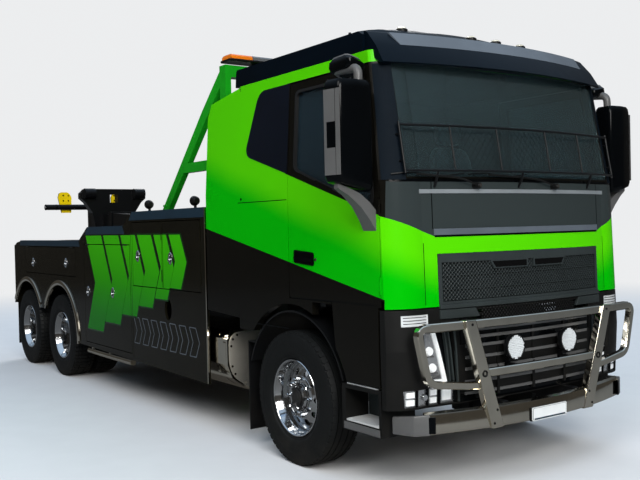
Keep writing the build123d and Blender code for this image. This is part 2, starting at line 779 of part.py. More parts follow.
# ---- front guard and bull bar ----
GUARD_Y = 1110
GUARD_R = 9


def bowed_rod(z, middle, end, half, radius):
    """A round rod bowed forward across the front at one height."""
    with BuildLine() as path:
        ThreePointArc((end, -half, z), (middle, 0, z), (end, half, z))
    with BuildSketch(Plane(origin=path.line @ 0, z_dir=path.line % 0)) as section:
        Circle(radius)
    sweep(section.sketch, path=path.line)


with BuildPart() as screen_guard:
    bowed_rod(2210, 1358, 1225, GUARD_Y, GUARD_R)
    bowed_rod(2520, 1303, 1168, GUARD_Y, GUARD_R)
    for sign in (-1, 1):
        y = sign * GUARD_Y
        rod((1228, y, 2190), (1165, y, 2540), GUARD_R)
        rod((1213, y, 2275), (1000, y, 2275), 7)
        rod((1180, y, 2455), (1000, y, 2455), 7)
    add(cab_skin(-SEAT_GAP), mode=Mode.SUBTRACT)

BAR_R = 30
LOOP_R = 26
LAMP_X = 1352  # back of the driving lamps
LAMP_Y = 288
LAMP_Z = 970
LAMP_R = 92
with BuildPart() as bull_bar:
    for sign in (-1, 1):
        slab(
            Plane.YZ.offset(1375),
            [(sign * y, z) for y, z in ((690, 1195), (775, 1195), (530, 430), (430, 430))],
            60,
        )
        bent_tube(
            (
                (1352, sign * 1080, 1165),
                (1352, sign * 1150, 1100),
                (1352, sign * 1060, 790),
                (1380, sign * 700, 740),
                (1395, sign * 590, 740),
            ),
            50,
            LOOP_R,
        )
        # brackets that bolt to the ends of the frame rails
        block((RAIL_FRONT, 1400), (sign * 350, sign * 410), (480, 600))
        block((RAIL_FRONT - 120, RAIL_FRONT + 60), (sign * RAIL_Y, sign * (RAIL_Y + 20)), (480, 760))
        block((RAIL_FRONT, RAIL_FRONT + 60), (sign * 350, sign * (RAIL_Y + 20)), (480, 600))
        # ends of the lower bar, turned back round the corners
        slab(
            Plane.XY.offset(440),
            [(x, sign * y) for x, y in ((1300, 1010), (1330, 1000), (1270, 1120), (1110, 1180), (1100, 1150), (1240, 1090))],
            150,
        )
    bowed_rod(1165, 1420, 1352, 1100, BAR_R)
    bowed_rod(820, 1440, 1420, 600, BAR_R)
    with BuildSketch(Plane.XY.offset(440)) as lower_bar:
        with BuildLine():
            ThreePointArc((1300, -1040), (1462, 0), (1300, 1040))
            Line((1300, 1040), (1270, 1010))
            ThreePointArc((1270, 1010), (1425, 0), (1270, -1010))
            Line((1270, -1010), (1300, -1040))
        make_face()
    extrude(lower_bar.sketch, amount=150)
    block((1450, FRONT_END), (-190, 190), (436, 534))
    for sign in (-1, 1):
        # stem of the driving lamp
        block((LAMP_X - 22, LAMP_X), (sign * (LAMP_Y - 20), sign * (LAMP_Y + 20)), (LAMP_Z - LAMP_R - 58, LAMP_Z + 15))
        block((LAMP_X - 22, 1420), (sign * (LAMP_Y - 20), sign * (LAMP_Y + 20)), (LAMP_Z - LAMP_R - 58, LAMP_Z - LAMP_R - 26))

# ---- steps, mudguards and tanks ----
STEP_X = (640, 1070)
with BuildPart() as cab_steps:
    for sign in (-1, 1):
        slab(
            Plane.XY.offset(405),
            [(x, sign * y) for x, y in ((STEP_X[0], 1238), (STEP_X[1], 1232), (STEP_X[1], 930), (STEP_X[0] + 60, 930))],
            325,
        )
        block((STEP_X[0] + 40, STEP_X[1] - 25), (sign * 1010, sign * 1300), (470, 700), Mode.SUBTRACT)
        block((885, 925), (sign * RAIL_Y, sign * 940), (690, 730))

GUARD_IN = 665
GUARD_OUT = 680
FLAP_T = 10
with BuildPart() as mudguards:
    for sign in (-1, 1):
        y0, y1 = sign * 610, sign * 1225
        rod((0, y0, TYRE_R), (0, y1, TYRE_R), GUARD_OUT)
    for sign in (-1, 1):
        y0, y1 = sign * 600, sign * 1235
        rod((0, y0, TYRE_R), (0, y1, TYRE_R), GUARD_IN, Mode.SUBTRACT)
    block((-1000, 1000), (-1300, 1300), (-300, 740), Mode.SUBTRACT)
    for sign in (-1, 1):
        top = TYRE_R + GUARD_OUT
        block((-30, 30), (sign * RAIL_Y, sign * (RAIL_Y + 20)), (880, top))
        block((-30, 30), (sign * RAIL_Y, sign * 640), (top - 12, top))
        block((-700, -555), (sign * 800, sign * 1215), (892, 902))
        block((-700, -700 + FLAP_T), (sign * 800, sign * 1215), (150, 902))
        block((BODY_REAR - TAIL_T + 4, BODY_REAR - TAIL_T + 4 + FLAP_T), (sign * 640, sign * 1215), (225, 830))

TANK_X = (-2400, -1100)
with BuildPart() as tanks:
    for sign in (-1, 1):
        with BuildSketch(Plane.YZ.offset(TANK_X[0])) as section:
            with BuildLine():
                Polyline(
                    (sign * 620, 940), (sign * 1130, 940), (sign * 1195, 870), (sign * 1195, 640), (sign * 1150, 520)
                )
                Line((sign * 1150, 520), (sign * 960, 390))
                Polyline((sign * 960, 390), (sign * 700, 390), (sign * 620, 470), (sign * 620, 940))
            make_face()
        extrude(section.sketch, amount=TANK_X[1] - TANK_X[0])
        for x in (-2150, -1400):
            block((x - 30, x + 30), (sign * RAIL_Y, sign * 622), (690, 930))
        rod((-1700, sign * 530, 400), (-960, sign * 530, 400), 95)
        for x in (-1550, -1150):
            block((x - 20, x + 20), (sign * RAIL_Y, sign * (RAIL_Y + 12)), (380, 700))
            block((x - 20, x + 20), (sign * RAIL_Y, sign * 460), (380, 420))

# ---- between cab and body ----
EXTENDER_REAR = -1350
with BuildPart() as side_extenders:
    add(skin_band(0, WALL, rear=EXTENDER_REAR - 200))
    slab(
        Plane.XZ,
        (
            (CAB_REAR - SEAT_GAP, 1090),
            (CAB_REAR - SEAT_GAP, ROOF_Z - 10),
            (EXTENDER_REAR + 60, 2960),
            (EXTENDER_REAR, 2850),
            (EXTENDER_REAR, 1120),
        ),
        2000,
        Mode.INTERSECT,
        both=True,
    )

RACK_Y = 950
RACK_T = 60
RACK_W = 110
with BuildPart() as light_rack:
    for sign in (-1, 1):
        plane = Plane.XZ.offset(-sign * RACK_Y)
        for outline in (
            ((-2830, TOP_Z), (-2690, TOP_Z), (-1800, 2900), (-1455, 3215), (-1455, 3360), (-1880, 2980)),
            ((-1510, TOP_Z), (-1400, TOP_Z), (-1400, 3360), (-1510, 3360)),
            ((-2440, 2415), (-1455, 2415), (-1455, 2510), (-2340, 2510)),
        ):
            slab(plane, outline, RACK_T / 2, both=True)
    block((-1510, -1400), (-RACK_Y, RACK_Y), (3250, 3360))

# ---- locker body ----
SIDE_PROFILE = (
    (BODY_FRONT, SKIRT_Z),
    (BODY_FRONT, TOP_Z),
    (-3030, TOP_Z),
    (-3270, MID_Z),
    (-4360, MID_Z),
    (-4650, LOW_Z),
    (-7080, LOW_Z - 10),
    (-7240, LOW_Z - 28),
    (BODY_REAR, 1672),
    (BODY_REAR, 830),
    (AXLE_X["mid"] + ARCH_CUT_R - 2, 830),
    (AXLE_X["mid"] + ARCH_CUT_R - 2, SKIRT_Z + 47),
)
# lids: name, front, rear, bottom, top, edge that carries the hinges
LIDS = (
    ("a", -1470, -2275, 1262, 1938, "front"),
    ("b", -2290, -3020, 1262, 1938, "front"),
    ("c", -3090, -4480, 530, 1700, "top"),
    ("d", -4780, -6860, 1290, 1660, "top"),
)
HINGE_INSET = 130


def lid_hinges(front, rear, bottom, top, edge):
    """Centres and direction of a lid's hinges, on the skin in the middle of its shut gap."""
    if edge == "front":
        x = front - SHUT_GAP / 2
        return [(x, -HALF_W, z) for z in (bottom + HINGE_INSET, top - HINGE_INSET)], (0, 0, 1)
    z = top - SHUT_GAP / 2
    return [(x, -HALF_W, z) for x in (rear + HINGE_INSET, front - HINGE_INSET)], (1, 0, 0)


with BuildPart() as locker_body:
    depth = HALF_W - TUNNEL_Y
    slab(Plane.XZ.offset(TUNNEL_Y), SIDE_PROFILE, depth)
    for x in AXLE_X.values():
        rod((x, 0, TYRE_R), (x, -2000, TYRE_R), ARCH_CUT_R, Mode.SUBTRACT)
    split_x = -3045
    for cavity in (
        (
            (BODY_FRONT - WALL, UPPER_FLOOR_Z),
            (BODY_FRONT - WALL, TOP_Z - WALL),
            (-3030, TOP_Z - WALL),
            (split_x, TOP_Z - WALL - 9),
            (split_x, UPPER_FLOOR_Z),
        ),
        (
            (split_x - WALL, SKIRT_Z + 75),
            (split_x - WALL, TOP_Z - WALL - 34),
            (-3262, MID_Z - WALL),
            (-4350, MID_Z - WALL),
            (-4600, LOW_Z - 12),
            (-4600, SKIRT_Z + 75),
        ),
        (
            (-4600 - WALL, REAR_FLOOR_Z),
            (-4600 - WALL, LOW_Z - WALL),
            (-7075, LOW_Z - WALL - 10),
            (-7230, LOW_Z - WALL - 28),
            (-7400, 1620),
            (-7400, REAR_FLOOR_Z),
        ),
    ):
        slab(Plane.XZ.offset(TUNNEL_Y + WALL), cavity, depth - 2 * WALL, Mode.SUBTRACT)
    block((split_x, 0), (0, -HALF_W + WALL), (0, UPPER_FLOOR_Z - WALL), Mode.SUBTRACT)
    block((-8000, -4600 - WALL), (0, -HALF_W + WALL), (0, REAR_FLOOR_Z - WALL), Mode.SUBTRACT)
    for name, front, rear, bottom, top, edge in LIDS:
        block((rear, front), (-HALF_W + WALL + 1, -HALF_W - 1), (bottom, top), Mode.SUBTRACT)
        centres, axis = lid_hinges(front, rear, bottom, top, edge)
        for centre in centres:
            hinge_fixed(centre, axis)
    # filler opening in the skirt
    with BuildSketch(Plane.XZ.offset(HALF_W - WALL - 1)) as filler:
        with Locations((-2180, 1065)):
            Ellipse(78, 105)
    extrude(filler.sketch, amount=WALL + 2, mode=Mode.SUBTRACT)
with BuildPart() as locker_bodies:
    add(locker_body.part)
    mirror(locker_body.part, about=Plane.XZ)

for name, front, rear, bottom, top, edge in LIDS:
    with BuildPart() as lid:
        g = SHUT_GAP
        block((rear + g, front - g), (-HALF_W + WALL - 2, -HALF_W), (bottom + g, top - g))
        centres, axis = lid_hinges(front, rear, bottom, top, edge)
        for centre in centres:
            hinge_moving(centre, axis)
    side(lid, f"lid_{name}")

DECK_REAR = -6300
with BuildPart() as deck:
    block((DECK_REAR, -1420), (-TUNNEL_Y, TUNNEL_Y), (DECK_Z - 10, DECK_Z))
    for sign in (-1, 1):
        block((RAIL_REAR, -1420), (sign * (RAIL_Y - 90), sign * RAIL_Y), (RAIL_Z1, DECK_Z - 10))
        for x in (-1480, -2900, -4550, -6000, -7100):
            block((x - 30, x + 30), (sign * RAIL_Y, sign * TUNNEL_Y), (DECK_Z - 120, DECK_Z))

with BuildPart() as tail_panel:
    for sign in (-1, 1):
        slab(
            Plane.YZ.offset(BODY_REAR - TAIL_T),
            [(sign * y, z) for y, z in ((TUNNEL_Y, 830), (HALF_W, 830), (HALF_W, 1672), (TUNNEL_Y, 1672))],
            TAIL_T,
        )
        block((BODY_REAR, -7120), (sign * TUNNEL_Y, sign * (TUNNEL_Y + 20)), (1000, 1200))
        block((-7160, -7080), (sign * RAIL_Y, sign * (TUNNEL_Y + 20)), (1000, 1110))

SKIRT_RISE = 47  # the body's lower edge rises by this much to the wheel arch
SKIRT_REAR = AXLE_X["mid"] + ARCH_CUT_R - 2


def skirt_bottom(x):
    """Height of the body's lower edge ahead of the wheels."""
    return SKIRT_Z + SKIRT_RISE * (x - BODY_FRONT) / (SKIRT_REAR - BODY_FRONT)


with BuildPart() as body_trim:
    for x in AXLE_X.values():
        for sign in (-1, 1):
            rod((x, sign * HALF_W, TYRE_R), (x, sign * (HALF_W + 14), TYRE_R), ARCH_TRIM_R)
    for x in AXLE_X.values():
        rod((x, -2000, TYRE_R), (x, 2000, TYRE_R), ARCH_TRIM_R - 34, Mode.SUBTRACT)
    block((-8000, AXLE_X["mid"]), (-2000, 2000), (-500, 830), Mode.SUBTRACT)
    block((BODY_REAR - TAIL_T - 500, BODY_REAR - TAIL_T), (-2000, 2000), (0, 3000), Mode.SUBTRACT)
    block((-8000, -3000), (-2000, 2000), (-500, SKIRT_Z + 35), Mode.SUBTRACT)
    for sign in (-1, 1):
        rod((-4410, sign * 1225, 430), (-3120, sign * 1225, 430), 32)
        for x in (-4300, -3760, -3220):
            block((x - 15, x + 15), (sign * 1215, sign * 1235), (440, skirt_bottom(x + 15)))

# ---- recovery boom ----
TILT = radians(BOOM_TILT)


def boom_xz(along, across):
    """X and Z of a point given along the stowed boom from its pivot, and square to it."""
    px, pz = BOOM_PIVOT
    return (px - along * cos(TILT) + across * sin(TILT), pz + along * sin(TILT) + across * cos(TILT))


def boom_box(along, half_h, half_w, mode=Mode.ADD):
    """A length of square tube's outline, solid, on the boom's axis."""
    corners = [(along[0], -half_h), (along[1], -half_h), (along[1], half_h), (along[0], half_h)]
    slab(Plane.XZ, [boom_xz(*corner) for corner in corners], half_w, mode, both=True)


def cross_bar(x, z, y0, y1, radius, mode=Mode.ADD):
    """A round bar or bore across the vehicle."""
    rod((x, y0, z), (x, y1, z), radius, mode)


BOOM_PIN_R = 45
CHEEK_Y = (BOOM_W / 2 + 30, BOOM_W / 2 + 62)
LIFT_BASE = (-3400, 1340)
LIFT_EYE_ALONG = 1930
LIFT_EYE_ACROSS = -60
LIFT_EYE = boom_xz(LIFT_EYE_ALONG, LIFT_EYE_ACROSS)
LIFT_Y = BOOM_W / 2 + 60
LIFT_HALF = 24
BARREL_START = 72
BARREL_END = 900
ROD_START = 97
ROD_R = 32
LIFT_PIN_R = 20
WINCH = (-1760, 1480)
with BuildPart() as boom_base:
    for sign in (-1, 1):
        px, pz = BOOM_PIVOT
        for outline in (((-2850, DECK_Z), (px - 110, pz + 70), (px, pz + 130), (px + 110, pz + 70), (-1990, DECK_Z)),):
            slab(Plane.XZ.offset(-sign * CHEEK_Y[0]), outline, -sign * (CHEEK_Y[1] - CHEEK_Y[0]))
        # feet of the lifting cylinders
        for y in (LIFT_Y - LIFT_HALF - 20, LIFT_Y + LIFT_HALF + 6):
            slab(
                Plane.XZ.offset(-sign * y),
                (
                    (LIFT_BASE[0] - 110, DECK_Z),
                    (LIFT_BASE[0] - 45, LIFT_BASE[1] + 45),
                    (LIFT_BASE[0] + 45, LIFT_BASE[1] + 45),
                    (LIFT_BASE[0] + 110, DECK_Z),
                ),
                -sign * 14,
            )
        cross_bar(*LIFT_BASE, sign * (LIFT_Y - LIFT_HALF - 20), sign * (LIFT_Y + LIFT_HALF + 20), LIFT_PIN_R)
        # winch drum between its plates
        for y in (40, 380):
            slab(
                Plane.XZ.offset(-sign * y),
                (
                    (WINCH[0] - 200, DECK_Z),
                    (WINCH[0] - 150, WINCH[1] + 160),
                    (WINCH[0] + 150, WINCH[1] + 160),
                    (WINCH[0] + 200, DECK_Z),
                ),
                -sign * 16,
            )
        cross_bar(*WINCH, sign * 56, sign * 380, 110)
        cross_bar(*WINCH, sign * 380, sign * 470, 90)
        for y in (60, 362):
            cross_bar(*WINCH, sign * y, sign * (y + 14), 165)
    cross_bar(*BOOM_PIVOT, -CHEEK_Y[1], CHEEK_Y[1], BOOM_PIN_R)

with BuildPart() as boom_outer:
    boom_box((160, BOOM_LEN), BOOM_H / 2, BOOM_W / 2)
    boom_box((300, BOOM_LEN + 10), BOOM_H / 2 - BOOM_T, BOOM_W / 2 - BOOM_T, Mode.SUBTRACT)
    slab(
        Plane.XZ,
        [boom_xz(*p) for p in ((-110, 0), (-60, 95), (180, BOOM_H / 2), (180, -BOOM_H / 2), (-60, -95))],
        CHEEK_Y[0] - 8,
        both=True,
    )
    cross_bar(*BOOM_PIVOT, -400, 400, BOOM_PIN_R + RUN_GAP, Mode.SUBTRACT)
    boom_box((BOOM_LEN - 120, BOOM_LEN), BOOM_H / 2 + 14, BOOM_W / 2 + 14)
    boom_box((BOOM_LEN - 130, BOOM_LEN + 10), BOOM_H / 2 - BOOM_T, BOOM_W / 2 - BOOM_T, Mode.SUBTRACT)
    for sign in (-1, 1):
        cross_bar(*LIFT_EYE, sign * (BOOM_W / 2 - BOOM_T), sign * (LIFT_Y - ROD_R - 6), 55)

INNER_H = BOOM_H / 2 - BOOM_T - BOOM_FIT
INNER_W = BOOM_W / 2 - BOOM_T - BOOM_FIT
INNER_T = 12
INNER_LEN = 4330
HEAD_T = 120
LEG_HALF = 100
HEAD_OUTLINE = (
    (430, 2470),
    (500, 2405),
    (500, 2330),
    (430, 2270),
    (330, 2120),
    (270, 1790),
)
with BuildPart() as boom_inner:
    boom_box((600, INNER_LEN), INNER_H, INNER_W)
    boom_box((590, INNER_LEN - 40), INNER_H - INNER_T, INNER_W - INNER_T, Mode.SUBTRACT)
    for start in (640, BOOM_LEN - 160):
        pad = (start, start + 120)
        boom_box(pad, BOOM_H / 2 - BOOM_T - SEAT_GAP, BOOM_W / 2 - BOOM_T - SEAT_GAP)
        boom_box((start - 1, start + 121), INNER_H - INNER_T, INNER_W - INNER_T, Mode.SUBTRACT)
    slab(
        Plane.YZ.offset(HEAD_X - HEAD_T / 2),
        [*HEAD_OUTLINE, *[(-y, z) for y, z in reversed(HEAD_OUTLINE)]],
        HEAD_T,
    )
    block((HEAD_X - 200, HEAD_X + 200), (-60, 60), (2270, 2390), Mode.SUBTRACT)
    # leg that hangs behind the body and carries the folding arm
    fx, fz = FOLD_PIVOT
    slab(
        Plane.XZ,
        (
            (HEAD_X - 40, 2090),
            (HEAD_X - 330, 2090),
            (fx + 140, 1560),
            (fx + 140, fz + 85),
            (fx + 20, fz + 72),
            (fx - 10, fz - 70),
            (fx + 60, fz - 75),
            (fx + 245, fz + 60),
            (fx + 260, 1250),
            (HEAD_X - 110, 1800),
        ),
        LEG_HALF,
        both=True,
    )
    cross_bar(fx, fz, -LEG_HALF, LEG_HALF, 72)
    cross_bar(fx, fz, -200, 200, 30 + RUN_GAP, Mode.SUBTRACT)
    # sheaves at the ends of the head
    for sign in (-1, 1):
        cross_bar(HEAD_X + 90, 2400, sign * 300, sign * 460, 75)
        block((HEAD_X, HEAD_X + 130), (sign * 290, sign * 306), (2330, 2460))
        block((HEAD_X, HEAD_X + 130), (sign * 454, sign * 470), (2330, 2460))

run_x, run_z = LIFT_EYE[0] - LIFT_BASE[0], LIFT_EYE[1] - LIFT_BASE[1]
LIFT_LEN = sqrt(run_x**2 + run_z**2)
WAY = (run_x / LIFT_LEN, run_z / LIFT_LEN)


def lift_point(along, y):
    """A point on a lifting cylinder's axis, from its foot."""
    return (LIFT_BASE[0] + WAY[0] * along, y, LIFT_BASE[1] + WAY[1] * along)


with BuildPart() as lift_cylinders:
    for sign in (-1, 1):
        y = sign * LIFT_Y
        rod(lift_point(BARREL_START, y), lift_point(BARREL_END, y), 48)
        rod(lift_point(0, y), lift_point(BARREL_START, y), LIFT_HALF)
        cross_bar(*LIFT_BASE, y - LIFT_HALF, y + LIFT_HALF, 46)
        cross_bar(*LIFT_BASE, y - 100, y + 100, LIFT_PIN_R + RUN_GAP, Mode.SUBTRACT)
        rod(lift_point(ROD_START - 5, y), lift_point(BARREL_END + 10, y), ROD_R + RUN_GAP, Mode.SUBTRACT)
with BuildPart() as lift_rods:
    for sign in (-1, 1):
        y = sign * LIFT_Y
        rod(lift_point(ROD_START, y), lift_point(LIFT_LEN - 20, y), ROD_R)
        cross_bar(*LIFT_EYE, y - LIFT_HALF, y + LIFT_HALF, 46)
        cross_bar(*LIFT_EYE, y - sign * LIFT_HALF, y + sign * (LIFT_HALF + 14), 26)

# ---- folding underlift, drawn folded upright behind the body ----
ARM_TOP = 1760
ARM_HALF = ARM_W / 2
with BuildPart() as underlift_arm:
    block((fx - ARM_HALF, fx + ARM_HALF), (-ARM_HALF, ARM_HALF), (fz + 100, ARM_TOP))
    for sign in (-1, 1):
        block((fx - 75, fx + 75), (sign * (LEG_HALF + 6), sign * (LEG_HALF + 36)), (fz, fz + 220))
        cross_bar(fx, fz, sign * (LEG_HALF + 6), sign * (LEG_HALF + 36), 75)
    inside = ARM_HALF - ARM_T
    block((fx - inside, fx + inside), (-inside, inside), (fz + 130, ARM_TOP + 10), Mode.SUBTRACT)
    cross_bar(fx, fz, -LEG_HALF - 36, LEG_HALF + 36, 30)

STINGER_HALF = ARM_HALF - ARM_T - STINGER_FIT
BAR_X = fx - STINGER_HALF - 54
with BuildPart() as stinger:
    block((fx - STINGER_HALF, fx + STINGER_HALF), (-STINGER_HALF, STINGER_HALF), (fz + 160, CROSSBAR_Z + 60))
    block((fx - 80, fx + 80), (-80, 80), (fz + 150, CROSSBAR_Z - 120), Mode.SUBTRACT)
    for z in (fz + 180, ARM_TOP - 100):
        pad = inside - SEAT_GAP
        block((fx - pad, fx + pad), (-pad, pad), (z, z + 80))
        block((fx - 80, fx + 80), (-80, 80), (z - 1, z + 81), Mode.SUBTRACT)
    rod((fx - STINGER_HALF + 5, 0, CROSSBAR_Z), (BAR_X - 52, 0, CROSSBAR_Z), 28)

PLATE_OUTLINE = ((330, 2145), (480, 2145), (530, 2380), (515, 2440), (480, 2460), (380, 2460), (345, 2430), (320, 2380))
with BuildPart() as crossbar:
    cross_bar(BAR_X, CROSSBAR_Z, -CROSSBAR_HALF, CROSSBAR_HALF, CROSSBAR_R)
    rod((BAR_X + 44, 0, CROSSBAR_Z), (BAR_X - 46, 0, CROSSBAR_Z), 82)
    rod((BAR_X + 60, 0, CROSSBAR_Z), (BAR_X - 60, 0, CROSSBAR_Z), 28 + RUN_GAP, Mode.SUBTRACT)
    for sign in (-1, 1):
        slab(Plane.YZ.offset(REAR_END), [(sign * y, z) for y, z in PLATE_OUTLINE], 18)
        for y in (370, 450):
            for z in (2330, 2410):
                rod((REAR_END - 5, sign * y, z), (REAR_END + 30, sign * y, z), 15, Mode.SUBTRACT)
        block((REAR_END + 18, BAR_X), (sign * 360, sign * 450), (CROSSBAR_Z - 35, CROSSBAR_Z + 35))

# ---- lamps on the roof, rack, bull bar and tail ----
with BuildPart() as all_lamps:
    add(lamps.part)
    block((-1555, -1355), (-940, 940), (3395, 3465))
    for y in (-600, 600):
        block((-1500, -1410), (y - 40, y + 40), (3360, 3395))
    for sign in (-1, 1):
        rod((LAMP_X + SEAT_GAP, sign * LAMP_Y, LAMP_Z), (LAMP_X + 78, sign * LAMP_Y, LAMP_Z), LAMP_R)
        for y, z in ((700, 1010), (860, 1010), (1020, 1010), (1150, 1010)):
            block((BODY_REAR - TAIL_T - 16, BODY_REAR - TAIL_T), (sign * (y - 55), sign * (y + 55)), (z - 55, z + 55))
        for x in (-2880, -1830):
            rod((x, sign * 1100, TOP_Z), (x, sign * 1100, TOP_Z + 30), 14)
            rod((x - 25, sign * 1100, TOP_Z + 75), (x + 35, sign * 1100, TOP_Z + 75), 48)

for piece, label in (
    (cab_roof, "roof_cap"),
    (dashboard, "dashboard"),
    (seats, "seats"),
    (screen_guard, "screen_guard"),
    (bull_bar, "bull_bar"),
    (cab_steps, "cab_steps"),
    (mudguards, "mudguards"),
    (tanks, "tanks"),
    (side_extenders, "side_extenders"),
    (light_rack, "light_rack"),
    (locker_bodies, "locker_bodies"),
    (deck, "deck"),
    (tail_panel, "tail_panel"),
    (body_trim, "body_trim"),
    (boom_base, "boom_base"),
    (boom_outer, "boom_outer"),
    (boom_inner, "boom_inner"),
    (lift_cylinders, "lift_cylinders"),
    (lift_rods, "lift_rods"),
    (underlift_arm, "underlift_arm"),
    (stinger, "stinger"),
    (crossbar, "crossbar"),
    (all_lamps, "lamps"),
):
    save(piece, label)
side(mirrors, "mirrors")
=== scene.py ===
"""Dresses the heavy recovery truck: paint, glass, brightwork, wheels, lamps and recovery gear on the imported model.

Metres. +X forward, +Y to the driver's left, +Z up, with the origin on the ground under the middle of the vehicle.
Stations measured from the front axle are moved by FRONT_AXLE_X.
"""

from __future__ import annotations

import json
import logging
import math
from collections.abc import Callable, Iterable, Sequence
from dataclasses import dataclass, field
from enum import Enum

import bmesh
import bpy
from mathutils import Matrix, Vector

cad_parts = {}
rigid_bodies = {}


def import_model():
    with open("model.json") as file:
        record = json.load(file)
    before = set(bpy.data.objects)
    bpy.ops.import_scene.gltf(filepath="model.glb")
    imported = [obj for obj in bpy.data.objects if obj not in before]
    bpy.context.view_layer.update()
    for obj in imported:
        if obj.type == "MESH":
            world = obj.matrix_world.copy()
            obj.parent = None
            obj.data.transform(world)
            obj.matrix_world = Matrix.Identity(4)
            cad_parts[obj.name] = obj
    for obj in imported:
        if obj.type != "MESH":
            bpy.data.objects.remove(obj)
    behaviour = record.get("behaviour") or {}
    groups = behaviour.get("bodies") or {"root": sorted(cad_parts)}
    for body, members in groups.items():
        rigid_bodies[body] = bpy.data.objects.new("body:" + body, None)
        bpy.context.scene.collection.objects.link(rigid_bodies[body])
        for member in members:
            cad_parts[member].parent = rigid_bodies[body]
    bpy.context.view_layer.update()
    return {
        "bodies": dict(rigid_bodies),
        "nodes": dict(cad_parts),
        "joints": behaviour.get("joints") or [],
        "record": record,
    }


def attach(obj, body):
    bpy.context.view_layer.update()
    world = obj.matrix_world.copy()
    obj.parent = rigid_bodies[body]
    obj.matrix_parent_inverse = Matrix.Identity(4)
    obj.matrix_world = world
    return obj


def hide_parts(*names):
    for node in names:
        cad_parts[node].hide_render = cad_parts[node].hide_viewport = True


LOG = logging.getLogger("recovery_truck")

Point2 = tuple[float, float]
Point3 = tuple[float, float, float]
Colour = tuple[float, float, float]
Patch = tuple[str, Sequence[Point2], float, float, int, int]

FRONT_AXLE_X = 3.028
AXLE_X = {"front": 0.0, "mid": -5.4, "rear": -6.77}
WHEEL_Z = 0.522
WHEEL_Y = 1.098
HALF_W = 1.245
TWIN_SPACING = 0.334

# the line along the foot of the side glass, which the colours follow
SWEEP_X = FRONT_AXLE_X + 1.11
SWEEP_Z = 1.912
SWEEP_FALL = 0.305
PANEL_EDGE_Z = 1.765
PANEL_FLAT_Y = 0.88
PANEL_RISE = 0.39
PANEL_TOP_Z = 2.142
PANEL_X = SWEEP_X + 0.026
# the line under which the cab is black
SKIRT_LINE = ((FRONT_AXLE_X - 1.376, 1.856), (FRONT_AXLE_X + 1.14, 1.35))
# the top and the rear end of the dark frame round the side glass
GLASS_TOP_Z = 2.965
DOOR_REAR_X = FRONT_AXLE_X - 0.05
# the cab's room, whose walls are lined: its ends, its heights, and its half width, which shrinks above the waist
LINING_X = (FRONT_AXLE_X - 0.765, FRONT_AXLE_X + 0.93)
LINING_Z = (1.31, 3.035)
LINING_Y = 1.228
WAIST_Z = 2.15
WALL_LEAN = 0.0625
# half the width of a sharp edge between colours, and how far the soft one between the greens wanders
COLOUR_EDGE = 0.001
WANDER = 0.12


class Side(Enum):
    """The two sides of the vehicle, with the sign of Y on each."""

    RIGHT = -1
    LEFT = 1

    @property
    def word(self) -> str:
        """The side's name as it stands in node and body names."""
        return self.name.lower()

    def span(self, inner: float, outer: float) -> Point2:
        """The low and high Y of a stretch between two distances from the middle."""
        ends = (self.value * inner, self.value * outer)
        return min(ends), max(ends)


def station(x: float) -> float:
    """Turns a station measured from the front axle into the vehicle's X."""
    return x + FRONT_AXLE_X


def srgb(red: int, green: int, blue: int) -> Colour:
    """Turns an 8-bit display colour into the linear colour that a shader takes.

    Args:
        red: Red, from 0 to 255.
        green: Green, from 0 to 255.
        blue: Blue, from 0 to 255.

    Returns:
        The linear colour.
    """

    def linear(value: int) -> float:
        """One channel on the linear scale."""
        share = value / 255
        return share / 12.92 if share <= 0.04045 else ((share + 0.055) / 1.055) ** 2.4

    return linear(red), linear(green), linear(blue)


# ---- node trees ---------------------------------------------------------------------------------


